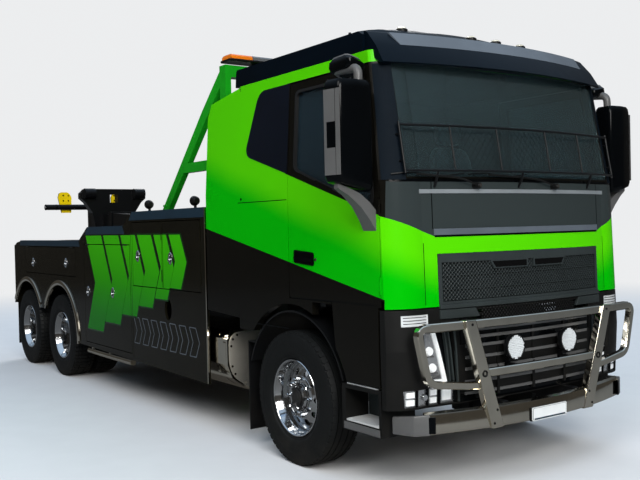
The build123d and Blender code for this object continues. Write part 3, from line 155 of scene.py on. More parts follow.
class Wiring:
    """Adds and links nodes in a shader or geometry tree."""

    def __init__(self, tree: bpy.types.NodeTree) -> None:
        """Takes the tree to work in.

        Args:
            tree: The node tree that new nodes join.
        """
        self.tree = tree

    def node(self, kind: str, **settings: object) -> bpy.types.Node:
        """Adds a node.

        Args:
            kind: The node's type name.
            **settings: Properties to set on it.

        Returns:
            The new node.
        """
        made = self.tree.nodes.new(kind)
        for name, value in settings.items():
            setattr(made, name, value)
        return made

    def feed(self, socket: bpy.types.NodeSocket, value: object) -> None:
        """Links a socket to another one, or sets its plain value.

        Args:
            socket: The input to feed.
            value: An output socket, a number or a tuple.
        """
        if isinstance(value, bpy.types.NodeSocket):
            self.tree.links.new(value, socket)
        elif value is not None:
            socket.default_value = value

    def math(self, operation: str, first: object, second: object = None, clamp: bool = False) -> bpy.types.NodeSocket:
        """Adds a Math node and returns its output.

        Args:
            operation: The operation's name.
            first: The first value or socket.
            second: The second value or socket, where the operation takes one.
            clamp: Whether the result is kept between 0 and 1.

        Returns:
            The node's output.
        """
        made = self.node("ShaderNodeMath", operation=operation, use_clamp=clamp)
        self.feed(made.inputs[0], first)
        self.feed(made.inputs[1], second)
        return made.outputs[0]

    def ramp(self, value: object, low: object, high: object) -> bpy.types.NodeSocket:
        """Rises from 0 at the low value to 1 at the high one, smoothly.

        Args:
            value: The number or socket that is read.
            low: Where the result is still 0.
            high: Where it has reached 1.

        Returns:
            The result.
        """
        made = self.node("ShaderNodeMapRange", interpolation_type="SMOOTHSTEP")
        for socket, given in zip(made.inputs, (value, low, high)):
            self.feed(socket, given)
        return made.outputs[0]

    def mix(self, factor: object, first: object, second: object) -> bpy.types.NodeSocket:
        """Mixes two colours.

        Args:
            factor: The share of the second colour.
            first: The first colour or socket.
            second: The second colour or socket.

        Returns:
            The mixed colour.
        """
        made = self.node("ShaderNodeMix", data_type="RGBA")
        self.feed(made.inputs[0], factor)
        for socket, value in ((made.inputs[6], first), (made.inputs[7], second)):
            self.feed(socket, (*value, 1.0) if isinstance(value, tuple) and len(value) == 3 else value)
        return made.outputs[2]

    def blend(self, factor: object, first: object, second: object) -> bpy.types.NodeSocket:
        """Mixes two numbers.

        Args:
            factor: The share of the second number.
            first: The first number or socket.
            second: The second one.

        Returns:
            The mixed number.
        """
        made = self.node("ShaderNodeMix", data_type="FLOAT")
        for index, value in ((0, factor), (2, first), (3, second)):
            self.feed(made.inputs[index], value)
        return made.outputs[0]

    def product(self, first: object, *others: object) -> bpy.types.NodeSocket:
        """Multiplies several numbers.

        Args:
            first: The first number or socket.
            *others: What it is multiplied by.

        Returns:
            The product.
        """
        for other in others:
            first = self.math("MULTIPLY", first, other)
        return first

    def within(self, value: object, low: float, high: float) -> bpy.types.NodeSocket:
        """A mask of where a value lies between two limits."""
        return self.product(self.math("GREATER_THAN", value, low), self.math("LESS_THAN", value, high))

    def edge(self, value: object) -> bpy.types.NodeSocket:
        """A mask that turns from 0 to 1 where a value passes zero."""
        return self.ramp(value, -COLOUR_EDGE, COLOUR_EDGE)

    def group(self, tree: bpy.types.NodeTree, **values: object) -> bpy.types.NodeOutputs:
        """Adds a group node with the named inputs fed, and returns its outputs.

        Args:
            tree: The group.
            **values: Numbers, tuples or sockets by the input's name.

        Returns:
            The group node's outputs.
        """
        made = self.node("ShaderNodeGroup", node_tree=tree)
        for name, value in values.items():
            self.feed(made.inputs[name], value)
        return made.outputs

    def either(self, factor: object, first: bpy.types.Node, second: bpy.types.Node) -> bpy.types.NodeSocket:
        """Mixes two shaders.

        Args:
            factor: The share of the second shader.
            first: The first shader's node.
            second: The second one's node.

        Returns:
            The mixed shader.
        """
        made = self.node("ShaderNodeMixShader")
        for socket, value in zip(made.inputs, (factor, first.outputs[0], second.outputs[0])):
            self.feed(socket, value)
        return made.outputs[0]

    def bump(self, height: object, strength: float, distance: float = 0.002) -> bpy.types.NodeSocket:
        """A normal bent by a height.

        Args:
            height: The height that bends it.
            strength: How much of the bend shows.
            distance: How high the height of 1 stands, in metres.

        Returns:
            The bent normal.
        """
        made = self.node("ShaderNodeBump")
        self.feed(made.inputs["Strength"], strength)
        self.feed(made.inputs["Distance"], distance)
        self.feed(made.inputs["Height"], height)
        return made.outputs[0]

    def split(self, vector: object) -> tuple[bpy.types.NodeSocket, ...]:
        """The three parts of a vector.

        Args:
            vector: The vector or socket.

        Returns:
            Its X, Y and Z.
        """
        made = self.node("ShaderNodeSeparateXYZ")
        self.feed(made.inputs[0], vector)
        return tuple(made.outputs)

    def noise(self, vector: object, scale: object, detail: float = 3.0, rough: float = 0.5) -> bpy.types.NodeSocket:
        """A noise field read at a vector.

        Args:
            vector: Where the noise is read.
            scale: How fine it is.
            detail: How many finer layers it has.
            rough: How strong the finer layers are.

        Returns:
            The noise's value.
        """
        made = self.node("ShaderNodeTexNoise")
        for name, value in (("Vector", vector), ("Scale", scale), ("Detail", detail), ("Roughness", rough)):
            self.feed(made.inputs[name], value)
        return made.outputs[0]


def new_group(
    name: str, ins: dict[str, tuple[str, object]], outs: dict[str, str]
) -> tuple[Wiring, bpy.types.NodeOutputs, bpy.types.NodeInputs]:
    """Makes a shader node group with named sockets.

    Args:
        name: The group's name.
        ins: Socket types and first values by name.
        outs: Socket types by name.

    Returns:
        The wiring of the group, what it is given, and what it gives back.
    """
    tree = bpy.data.node_groups.new(name, "ShaderNodeTree")
    for label, (kind, value) in ins.items():
        socket = tree.interface.new_socket(name=label, in_out="INPUT", socket_type=kind)
        if value is not None:
            socket.default_value = value
    for label, kind in outs.items():
        tree.interface.new_socket(name=label, in_out="OUTPUT", socket_type=kind)
    wiring = Wiring(tree)
    return wiring, wiring.node("NodeGroupInput").outputs, wiring.node("NodeGroupOutput").inputs


FLOAT, VECTOR, INTEGER = "NodeSocketFloat", "NodeSocketVector", "NodeSocketInt"


def grain_group() -> bpy.types.NodeTree:
    """Two scales of noise as a height, for moulded, cast and painted skins.

    Returns:
        The group.
    """
    w, given, result = new_group(
        "surface_grain",
        {"Vector": (VECTOR, None), "Fine": (FLOAT, 900.0), "Coarse": (FLOAT, 60.0), "Share": (FLOAT, 0.5)},
        {"Height": FLOAT},
    )
    fine, coarse = (w.noise(given["Vector"], given[scale], 2.0) for scale in ("Fine", "Coarse"))
    w.feed(result["Height"], w.blend(given["Share"], fine, coarse))
    return w.tree


def dust_group() -> bpy.types.NodeTree:
    """Road film that thickens towards the ground, broken up by noise.

    Returns:
        The group.
    """
    w, given, result = new_group(
        "road_dust",
        {"Vector": (VECTOR, None), "Top": (FLOAT, 1.2), "Amount": (FLOAT, 0.3)},
        {"Mask": FLOAT},
    )
    height = w.split(given["Vector"])[2]
    low = w.math("SUBTRACT", 1.0, w.math("DIVIDE", height, given["Top"]), clamp=True)
    speckle = w.ramp(w.noise(given["Vector"], 7.0, 6.0, 0.65), 0.3, 0.75)
    w.feed(result["Mask"], w.math("MULTIPLY", w.product(low, speckle), given["Amount"], clamp=True))
    return w.tree


def brushed_group() -> bpy.types.NodeTree:
    """Fine marks drawn out along one axis, as a value about one half.

    Returns:
        The group.
    """
    w, given, result = new_group(
        "drawn_marks",
        {"Vector": (VECTOR, None), "Along": (VECTOR, (1.0, 1.0, 1.0)), "Scale": (FLOAT, 60.0)},
        {"Value": FLOAT},
    )
    stretch = w.node("ShaderNodeVectorMath", operation="MULTIPLY")
    w.feed(stretch.inputs[0], given["Vector"])
    w.feed(stretch.inputs[1], given["Along"])
    w.feed(result["Value"], w.noise(stretch.outputs[0], given["Scale"], 3.0, 0.6))
    return w.tree


def sweep_group() -> bpy.types.NodeTree:
    """Lime that fades to green below a sloping line: the share of green, and how far a point lies under the line.

    Returns:
        The group.
    """
    w, given, result = new_group(
        "colour_sweep",
        {"Vector": (VECTOR, None), "Start": (FLOAT, 0.12), "End": (FLOAT, 0.4)},
        {"Green": FLOAT, "Below": FLOAT},
    )
    x, y, z = w.split(given["Vector"])
    side = w.math("SUBTRACT", SWEEP_Z, w.product(w.math("SUBTRACT", x, SWEEP_X), SWEEP_FALL))
    outside = w.math("MAXIMUM", w.math("SUBTRACT", w.math("ABSOLUTE", y), PANEL_FLAT_Y), 0.0)
    front = w.math("ADD", w.product(outside, PANEL_RISE), PANEL_EDGE_Z)
    below = w.math("SUBTRACT", w.blend(w.math("GREATER_THAN", x, SWEEP_X), side, front), z)
    wander = w.product(w.math("SUBTRACT", w.noise(given["Vector"], 1.3, 1.0), 0.5), WANDER)
    w.feed(result["Green"], w.ramp(w.math("ADD", below, wander), given["Start"], given["End"]))
    w.feed(result["Below"], below)
    return w.tree


class Groups:
    """The shader groups that the finishes share, each built once."""

    def __init__(self) -> None:
        """Builds every group."""
        self.grain = grain_group()
        self.dust = dust_group()
        self.brushed = brushed_group()
        self.sweep = sweep_group()


ROAD_DUST = srgb(112, 100, 84)
BACKDROP = (0.84, 0.85, 0.86)
COAT_ROUGHNESS = 0.03


@dataclass(frozen=True)
class Finish:
    """How one material looks all over.

    The colour is linear. The grain is the strength of the fine bump, and uneven says how much the gloss varies.
    """

    name: str
    colour: Colour
    rough: float = 0.4
    metal: float = 0.0
    coat: float = 0.0
    grain: float = 0.0
    fine: float = 900.0
    coarse: float = 60.0
    share: float = 0.4
    uneven: float = 0.06
    dust: float = 0.0
    dust_top: float = 1.1
    drawn: Point3 | None = None
    glow: float = 0.0
    sheen: float = 0.0
    specular: float = 0.5
    mottle: float = 0.09

    def build(self, groups: Groups) -> bpy.types.Material:
        """Makes the material.

        Args:
            groups: The shared shader groups.

        Returns:
            A node material that reads object coordinates.
        """
        material = bpy.data.materials.new(self.name)
        material.use_nodes = True
        w = Wiring(material.node_tree)
        shader = material.node_tree.nodes["Principled BSDF"]
        where = w.node("ShaderNodeTexCoord").outputs["Object"]
        for socket, value in (
            ("Metallic", self.metal),
            ("Coat Weight", self.coat),
            ("Coat Roughness", COAT_ROUGHNESS),
            ("Sheen Weight", self.sheen),
            ("Specular IOR Level", self.specular),
        ):
            shader.inputs[socket].default_value = value
        self.dress(w, groups, shader, where)
        return material

    def tint(self, w: Wiring, groups: Groups, where: bpy.types.NodeSocket) -> object:
        """The base colour before any road film, varied a little over the surface.

        Args:
            w: The wiring of the tree.
            groups: The shared shader groups.
            where: Object coordinates.

        Returns:
            The colour or its socket.
        """
        patch = w.ramp(w.noise(where, 3.0, 4.0), 0.3, 0.7)
        darker = tuple(c * (1 - self.mottle) for c in self.colour)
        lighter = tuple(min(1.0, c * (1 + self.mottle)) for c in self.colour)
        return w.mix(patch, darker, lighter)

    def gloss(self, w: Wiring, groups: Groups, where: bpy.types.NodeSocket) -> bpy.types.NodeSocket:
        """The roughness, uneven by noise or by drawn marks.

        Args:
            w: The wiring of the tree.
            groups: The shared shader groups.
            where: Object coordinates.

        Returns:
            The roughness.
        """
        if self.drawn:
            marks = w.group(groups.brushed, Vector=where, Along=self.drawn)["Value"]
        else:
            marks = w.noise(where, 11.0, 5.0, 0.6)
        swing = w.product(w.math("SUBTRACT", marks, 0.5), self.uneven * 2)
        return w.math("ADD", self.rough, swing, clamp=True)

    def dress(self, w: Wiring, groups: Groups, shader: bpy.types.Node, where: bpy.types.NodeSocket) -> None:
        """Wires colour, gloss, dust and bump into the shader.

        Args:
            w: The material's wiring.
            groups: The shared shader groups.
            shader: The Principled node.
            where: Object coordinates.
        """
        colour, rough = self.tint(w, groups, where), self.gloss(w, groups, where)
        if self.dust:
            film = w.group(groups.dust, Vector=where, Top=self.dust_top, Amount=self.dust)["Mask"]
            colour = w.mix(film, colour, ROAD_DUST)
            rough = w.math("ADD", rough, w.product(film, 0.5), clamp=True)
        w.feed(shader.inputs["Base Color"], colour)
        w.feed(shader.inputs["Roughness"], rough)
        if self.glow:
            w.feed(shader.inputs["Emission Color"], colour)
            shader.inputs["Emission Strength"].default_value = self.glow
        if self.grain:
            skin = w.group(groups.grain, Vector=where, Fine=self.fine, Coarse=self.coarse, Share=self.share)
            w.feed(shader.inputs["Normal"], w.bump(skin["Height"], self.grain))


@dataclass(frozen=True)
class CabPaint(Finish):
    """Lime fading to green, black under the skirt line, and dark round the side glass."""

    lime: Colour = (0.075, 0.55, 0.001)
    green: Colour = (0.0, 0.4, 0.001)
    panel: Colour = (0.026, 0.033, 0.033)
    lining: Colour = (0.016, 0.016, 0.017)

    def tint(self, w: Wiring, groups: Groups, where: bpy.types.NodeSocket) -> object:
        """Chooses among lime, green, charcoal and black by place.

        Args:
            w: The wiring of the tree.
            groups: The shared shader groups.
            where: Object coordinates.

        Returns:
            The colour.
        """
        sweep = w.group(groups.sweep, Vector=where)
        x, y, z = w.split(where)
        colour = w.mix(sweep["Green"], self.lime, self.green)
        (x0, z0), (x1, z1) = SKIRT_LINE
        skirt = w.math("ADD", z0, w.product(w.math("SUBTRACT", x, x0), (z1 - z0) / (x1 - x0)))
        black = w.product(w.edge(w.math("SUBTRACT", skirt, z)), w.math("LESS_THAN", x, x1))
        glazed = w.edge(w.product(sweep["Below"], -1.0))
        under_roof = w.edge(w.math("SUBTRACT", GLASS_TOP_Z, z))
        frame = w.product(glazed, under_roof, w.math("GREATER_THAN", x, DOOR_REAR_X))
        on_panel = w.product(w.math("GREATER_THAN", x, PANEL_X), w.math("LESS_THAN", z, PANEL_TOP_Z))
        dark = w.mix(on_panel, self.colour, self.panel)
        outside = w.mix(frame, w.mix(black, colour, self.colour), dark)
        return w.mix(self.inside(w, x, y, z), outside, self.lining)

    def inside(self, w: Wiring, x: object, y: object, z: object) -> bpy.types.NodeSocket:
        """A mask of the walls' inner faces, which carry dark lining in place of paint.

        Args:
            w: The wiring of the tree.
            x: The point's X.
            y: The point's Y.
            z: The point's Z.

        Returns:
            The mask.
        """
        lean = w.product(w.math("MAXIMUM", w.math("SUBTRACT", z, WAIST_Z), 0.0), WALL_LEAN)
        room = w.math("LESS_THAN", w.math("ADD", w.math("ABSOLUTE", y), lean), LINING_Y)
        return w.product(room, w.within(x, *LINING_X), w.within(z, *LINING_Z))


@dataclass(frozen=True)
class Glass(Finish):
    """Tinted glass that lets some of the inside show."""

    through: float = 0.8
    ior: float = 1.5

    def dress(self, w: Wiring, groups: Groups, shader: bpy.types.Node, where: bpy.types.NodeSocket) -> None:
        """Wires a smooth, faintly rippled pane.

        Args:
            w: The wiring of the tree.
            groups: The shared shader groups.
            shader: The Principled node.
            where: Object coordinates.
        """
        shader.inputs["Base Color"].default_value = (*self.colour, 1.0)
        shader.inputs["Transmission Weight"].default_value = self.through
        shader.inputs["IOR"].default_value = self.ior
        w.feed(shader.inputs["Roughness"], w.math("ADD", self.rough, w.product(w.noise(where, 2.0), 0.01)))


@dataclass(frozen=True)
class Chequered(Finish):
    """Sheet with raised lozenges laid in two directions."""

    pitch: float = 0.03

    def dress(self, w: Wiring, groups: Groups, shader: bpy.types.Node, where: bpy.types.NodeSocket) -> None:
        """Wires the plate's colour and its raised pattern.

        Args:
            w: The wiring of the tree.
            groups: The shared shader groups.
            shader: The Principled node.
            where: Object coordinates.
        """
        super().dress(w, groups, shader, where)
        x, y, _ = w.split(where)
        step = math.tau / self.pitch
        first, second = (w.math("SINE", w.product(w.math(way, x, y), step)) for way in ("ADD", "SUBTRACT"))
        raised = w.ramp(w.math("ABSOLUTE", w.product(first, second)), 0.35, 0.6)
        w.feed(shader.inputs["Normal"], w.bump(raised, 0.8))


@dataclass(frozen=True)
class FadedFilm(Finish):
    """Film whose colour runs from lime at its top to deep green at its foot."""

    top: float = 1.85
    foot: float = 0.7
    low: Colour = (0.0, 0.15, 0.001)

    def tint(self, w: Wiring, groups: Groups, where: bpy.types.NodeSocket) -> object:
        """Mixes the two greens by height."""
        return w.mix(w.ramp(w.split(where)[2], self.foot, self.top), self.low, self.colour)


@dataclass(frozen=True)
class Floor(Finish):
    """A pale floor that fades to the backdrop far out, and shows a dark painted reflection of the ground in glossy
    surfaces.
    """

    near: float = 9.0
    far: float = 19.0
    backdrop: Colour = BACKDROP
    # a painted dark reflection of the ground, which glossy surfaces see in place of the floor
    dim: Colour = (0.05, 0.046, 0.04)
    flag: float = 0.78

    def dress(self, w: Wiring, groups: Groups, shader: bpy.types.Node, where: bpy.types.NodeSocket) -> None:
        """Wires the near floor as usual and mixes the far one in by distance; glossy rays also see a dark colour that
        is a painted reflection of the ground.

        Args:
            w: The wiring of the tree.
            groups: The shared shader groups.
            shader: The Principled node.
            where: Object coordinates.
        """
        super().dress(w, groups, shader, where)
        reach = w.node("ShaderNodeVectorMath", operation="LENGTH")
        w.feed(reach.inputs[0], where)
        glow = w.node("ShaderNodeEmission")
        ray = w.node("ShaderNodeLightPath").outputs
        w.feed(glow.inputs["Color"], w.mix(ray["Is Camera Ray"], self.dim, self.backdrop))
        mirrored = w.product(ray["Is Glossy Ray"], self.flag)
        away = w.math("MAXIMUM", w.ramp(reach.outputs["Value"], self.near, self.far), mirrored)
        w.feed(w.tree.nodes["Material Output"].inputs["Surface"], w.either(away, shader, glow))


# ---- meshes ---------------------------------------------------------------------------------------


def rounded(points: Sequence[Point3], bend: float, steps: int = 5) -> list[Vector]:
    """Rounds the corners of a path.

    Args:
        points: The path's corners.
        bend: How far from each corner its curve starts.
        steps: Points along each curve.

    Returns:
        The path with a curve at each inner corner.
    """
    corners = [Vector(p) for p in points]
    path = [corners[0]]
    for before, corner, after in zip(corners, corners[1:], corners[2:]):
        reach = min(bend, (corner - before).length * 0.48, (after - corner).length * 0.48)
        start = corner + (before - corner).normalized() * reach
        end = corner + (after - corner).normalized() * reach
        for step in range(steps + 1):
            t = step / steps
            path.append(start * (1 - t) ** 2 + corner * 2 * t * (1 - t) + end * t**2)
    path.append(corners[-1])
    return path


def softened(outline: Sequence[Point2], bend: float, steps: int = 5) -> list[Point2]:
    """Rounds every corner of a closed outline.

    Args:
        outline: The outline's corners.
        bend: How far from each corner its curve starts.
        steps: Points along each curve.

    Returns:
        The softened outline.
    """
    soft: list[Point2] = []
    for before, corner, after in zip(outline[-1:] + outline[:-1], outline, outline[1:] + outline[:1]):
        path = rounded([(*before, 0.0), (*corner, 0.0), (*after, 0.0)], bend, steps)
        soft += [(p.x, p.y) for p in path[1:-1]]
    return soft


def oval(half_width: float, half_height: float, count: int, start: float = 0.0) -> list[Point2]:
    """Points round an oval about the origin, from an angle on."""
    turns = [math.tau * k / count + start for k in range(count)]
    return [(half_width * math.cos(turn), half_height * math.sin(turn)) for turn in turns]


def rectangle(left: float, right: float, low: float, high: float) -> list[Point2]:
    """The corners of a rectangle."""
    return [(left, low), (right, low), (right, high), (left, high)]


def trapezium(foot: Point2, top: Point2, low: float, high: float) -> list[Point2]:
    """The corners of an outline with a level foot and a level top."""
    return [(foot[0], low), (foot[1], low), (top[1], high), (top[0], high)]


def scaled(outline: Iterable[Point2], middle: Point2, share: float, rise: float | None = None) -> list[Point2]:
    """Scales an outline about a middle, by a second share upwards where one is given.

    Args:
        outline: The outline's corners.
        middle: The point that stays in place.
        share: The scale across.
        rise: The scale upwards, where it differs.

    Returns:
        The scaled outline.
    """
    across, up = middle
    lift = share if rise is None else rise
    return [(across + (a - across) * share, up + (b - up) * lift) for a, b in outline]


def bow(middle: float, end: float, half: float, y: float) -> float:
    """The height of a circular arc at a place across.

    Args:
        middle: The arc's height in the middle.
        end: Its height at both ends.
        half: Half its length across.
        y: The place across.

    Returns:
        The arc's height there.
    """
    rise = middle - end
    radius = (half**2 + rise**2) / (2 * rise)
    return middle - radius + math.sqrt(radius**2 - y**2)


def level(height: float) -> Callable[[float], float]:
    """A height that is the same all across."""
    return lambda _: height


def directions(path: Sequence[Vector]) -> list[Vector]:
    """The way that a path runs at each of its points."""
    steps = [(b - a).normalized() for a, b in zip(path, path[1:])]
    return [(a + b).normalized() for a, b in zip(steps[:1] + steps, steps + steps[-1:])]


def clip_to_box(outline: Sequence[Point2], low: Point2, high: Point2) -> list[Point2]:
    """Cuts a convex outline to a rectangle.

    Args:
        outline: The outline's corners.
        low: The rectangle's lowest corner.
        high: The rectangle's highest corner.

    Returns:
        The corners of what is left, or an empty list.
    """
    kept = list(outline)
    for axis, limit, sign in ((0, low[0], 1), (0, high[0], -1), (1, low[1], 1), (1, high[1], -1)):
        source, kept = kept, []
        for a, b in zip(source, source[1:] + source[:1]):
            inside_a, inside_b = sign * (a[axis] - limit) >= 0, sign * (b[axis] - limit) >= 0
            if inside_a:
                kept.append(a)
            if inside_a != inside_b:
                t = (limit - a[axis]) / (b[axis] - a[axis])
                kept.append((a[0] + (b[0] - a[0]) * t, a[1] + (b[1] - a[1]) * t))
        if not kept:
            return []
    return kept


class Mould:
    """Gathers faces for one piece, each in the material that was chosen last."""

    def __init__(self, finishes: dict[str, bpy.types.Material], name: str) -> None:
        """Starts an empty piece.

        Args:
            finishes: The materials by name.
            name: The first one's name.
        """
        self.finishes = finishes
        self.points: list[Vector] = []
        self.faces: list[tuple[int, ...]] = []
        self.paints: list[int] = []
        self.materials = [finishes[name]]
        self.current = 0

    def use(self, name: str) -> Mould:
        """Chooses the material of the faces that follow.

        Args:
            name: The finish's name.

        Returns:
            The mould.
        """
        material = self.finishes[name]
        if material not in self.materials:
            self.materials.append(material)
        self.current = self.materials.index(material)
        return self

    def add(self, points: Iterable[Sequence[float]], faces: Iterable[Sequence[int]]) -> None:
        """Adds points and the faces between them.

        Args:
            points: The new points.
            faces: The faces, by the numbers of the new points.
        """
        start = len(self.points)
        self.points += [Vector(p) for p in points]
        for face in faces:
            self.faces.append(tuple(start + i for i in face))
            self.paints.append(self.current)

    def skin(
        self, rings: Sequence[Sequence[Sequence[float]]], closed: bool = True, caps: bool = True, loop: bool = False
    ) -> Mould:
        """Joins rings of equally many points.

        Args:
            rings: The rings, in order.
            closed: Whether each ring joins up with itself.
            caps: Whether the first and last rings are filled.
            loop: Whether the last ring joins the first.

        Returns:
            The mould.
        """
        n = len(rings[0])
        faces: list[tuple[int, ...]] = []
        last = len(rings) if loop else len(rings) - 1
        for r in range(last):
            a, b = r * n, (r + 1) % len(rings) * n
            for i in range(n if closed else n - 1):
                j = (i + 1) % n
                faces.append((a + i, a + j, b + j, b + i))
        if caps and not loop:
            faces.append(tuple(reversed(range(n))))
            faces.append(tuple((len(rings) - 1) * n + i for i in range(n)))
        self.add([p for ring in rings for p in ring], faces)
        return self

    def box(self, x: Point2, y: Point2, z: Point2) -> Mould:
        """A box between pairs of stations."""
        low, high = [[(a, b, c) for a, b in rectangle(x[0], x[1], y[0], y[1])] for c in z]
        return self.skin([low, high])

    def prism(self, outline: Sequence[Point3], along: Sequence[float]) -> Mould:
        """A flat outline drawn out along a vector."""
        shift = Vector(along)
        return self.skin([[Vector(p) for p in outline], [Vector(p) + shift for p in outline]])

    def rod(
        self,
        start: Sequence[float],
        end: Sequence[float],
        radius: float,
        sides: int = 20,
        end_radius: float | None = None,
    ) -> Mould:
        """A round bar or cone between two points."""
        return self.tube([Vector(start), Vector(end)], radius, sides, end_radius)

    def tube(self, path: Sequence[Vector], radius: float, sides: int = 14, end_radius: float | None = None) -> Mould:
        """A round tube along a path, its section carried without twist.

        Args:
            path: Points along the middle.
            radius: The tube's radius.
            sides: Faces round the tube.
            end_radius: The radius at the far end, where it differs.

        Returns:
            The mould.
        """
        across = (path[1] - path[0]).orthogonal().normalized()
        rings = []
        for i, (point, way) in enumerate(zip(path, directions(path))):
            across = (across - way * across.dot(way)).normalized()
            other = way.cross(across)
            size = radius if end_radius is None else radius + (end_radius - radius) * i / (len(path) - 1)
            rings.append([point + (across * c + other * s) * size for c, s in oval(1.0, 1.0, sides)])
        return self.skin(rings)

    def bar(
        self, path: Sequence[Vector], across: Sequence[float], width: float, depth: float, chamfer: float = 0.006
    ) -> Mould:
        """A bar of bevelled rectangular section along a path.

        Args:
            path: Points along the middle.
            across: The direction in which the section is as deep as depth.
            width: The section's size square to the path and to that direction.
            depth: The section's size along that direction.
            chamfer: Size of the bevels.

        Returns:
            The mould.
        """
        side, h, d, c = Vector(across), width / 2, depth / 2, chamfer
        corners = [(h, d - c), (h - c, d), (c - h, d), (-h, d - c), (-h, c - d), (c - h, -d), (h - c, -d), (h, c - d)]
        rings = []
        for point, way in zip(path, directions(path)):
            out = way.cross(side).normalized()
            rings.append([point + out * a + side * b for a, b in corners])
        return self.skin(rings)

    def lathe(
        self, profile: Sequence[Point2], centre: Sequence[float], axis: Sequence[float] = (0, 1, 0), sides: int = 64
    ) -> Mould:
        """Turns a closed profile about an axis.

        Args:
            profile: Pairs of distance along the axis and radius.
            centre: A point on the axis.
            axis: The axis.
            sides: Steps round the axis.

        Returns:
            The mould.
        """
        way = Vector(axis).normalized()
        across = way.orthogonal().normalized()
        other = way.cross(across)
        middle = Vector(centre)
        rings = [
            [middle + way * a + (across * c + other * s) * r for a, r in profile] for c, s in oval(1.0, 1.0, sides)
        ]
        return self.skin(rings, loop=True)

    def merge(self, mesh: bpy.types.Mesh) -> Mould:
        """Takes in a plain mesh, in the current material."""
        self.add([v.co for v in mesh.vertices], [tuple(p.vertices) for p in mesh.polygons])
        return self

    def mirrored(self) -> Mould:
        """Adds the mirror image of everything so far on the other side of the vehicle.

        Returns:
            The mould.
        """
        start, count = len(self.points), len(self.faces)
        self.points += [Vector((p.x, -p.y, p.z)) for p in self.points]
        for i in range(count):
            self.faces.append(tuple(start + k for k in reversed(self.faces[i])))
            self.paints.append(self.paints[i])
        return self

    def mesh(self, name: str) -> bpy.types.Mesh:
        """The piece's mesh, with doubles merged and faces turned outwards.

        Args:
            name: The mesh's name.

        Returns:
            The mesh.
        """
        made = bpy.data.meshes.new(name)
        made.from_pydata(self.points, [], self.faces)
        for material in self.materials:
            made.materials.append(material)
        made.polygons.foreach_set("material_index", self.paints)
        tidy = bmesh.new()
        tidy.from_mesh(made)
        bmesh.ops.remove_doubles(tidy, verts=tidy.verts, dist=1e-6)
        bmesh.ops.dissolve_degenerate(tidy, edges=tidy.edges, dist=1e-7)
        bmesh.ops.recalc_face_normals(tidy, faces=tidy.faces)
        tidy.to_mesh(made)
        tidy.free()
        return made


def placed(name: str, mesh: bpy.types.Mesh) -> bpy.types.Object:
    """Puts a mesh in the scene at the origin.

    Args:
        name: The object's name.
        mesh: Its mesh.

    Returns:
        The object.
    """
    made = bpy.data.objects.new(name, mesh)
    bpy.context.scene.collection.objects.link(made)
    return made


# ---- geometry trees -------------------------------------------------------------------------------


class Pattern(Enum):
    """The ways in which a geometry tree repeats the mesh it is put on."""

    ROW = "row_of_copies"
    RING = "ring_of_copies"
    SHEET = "staggered_sheet"
    FIXINGS = "fixings_on_points"


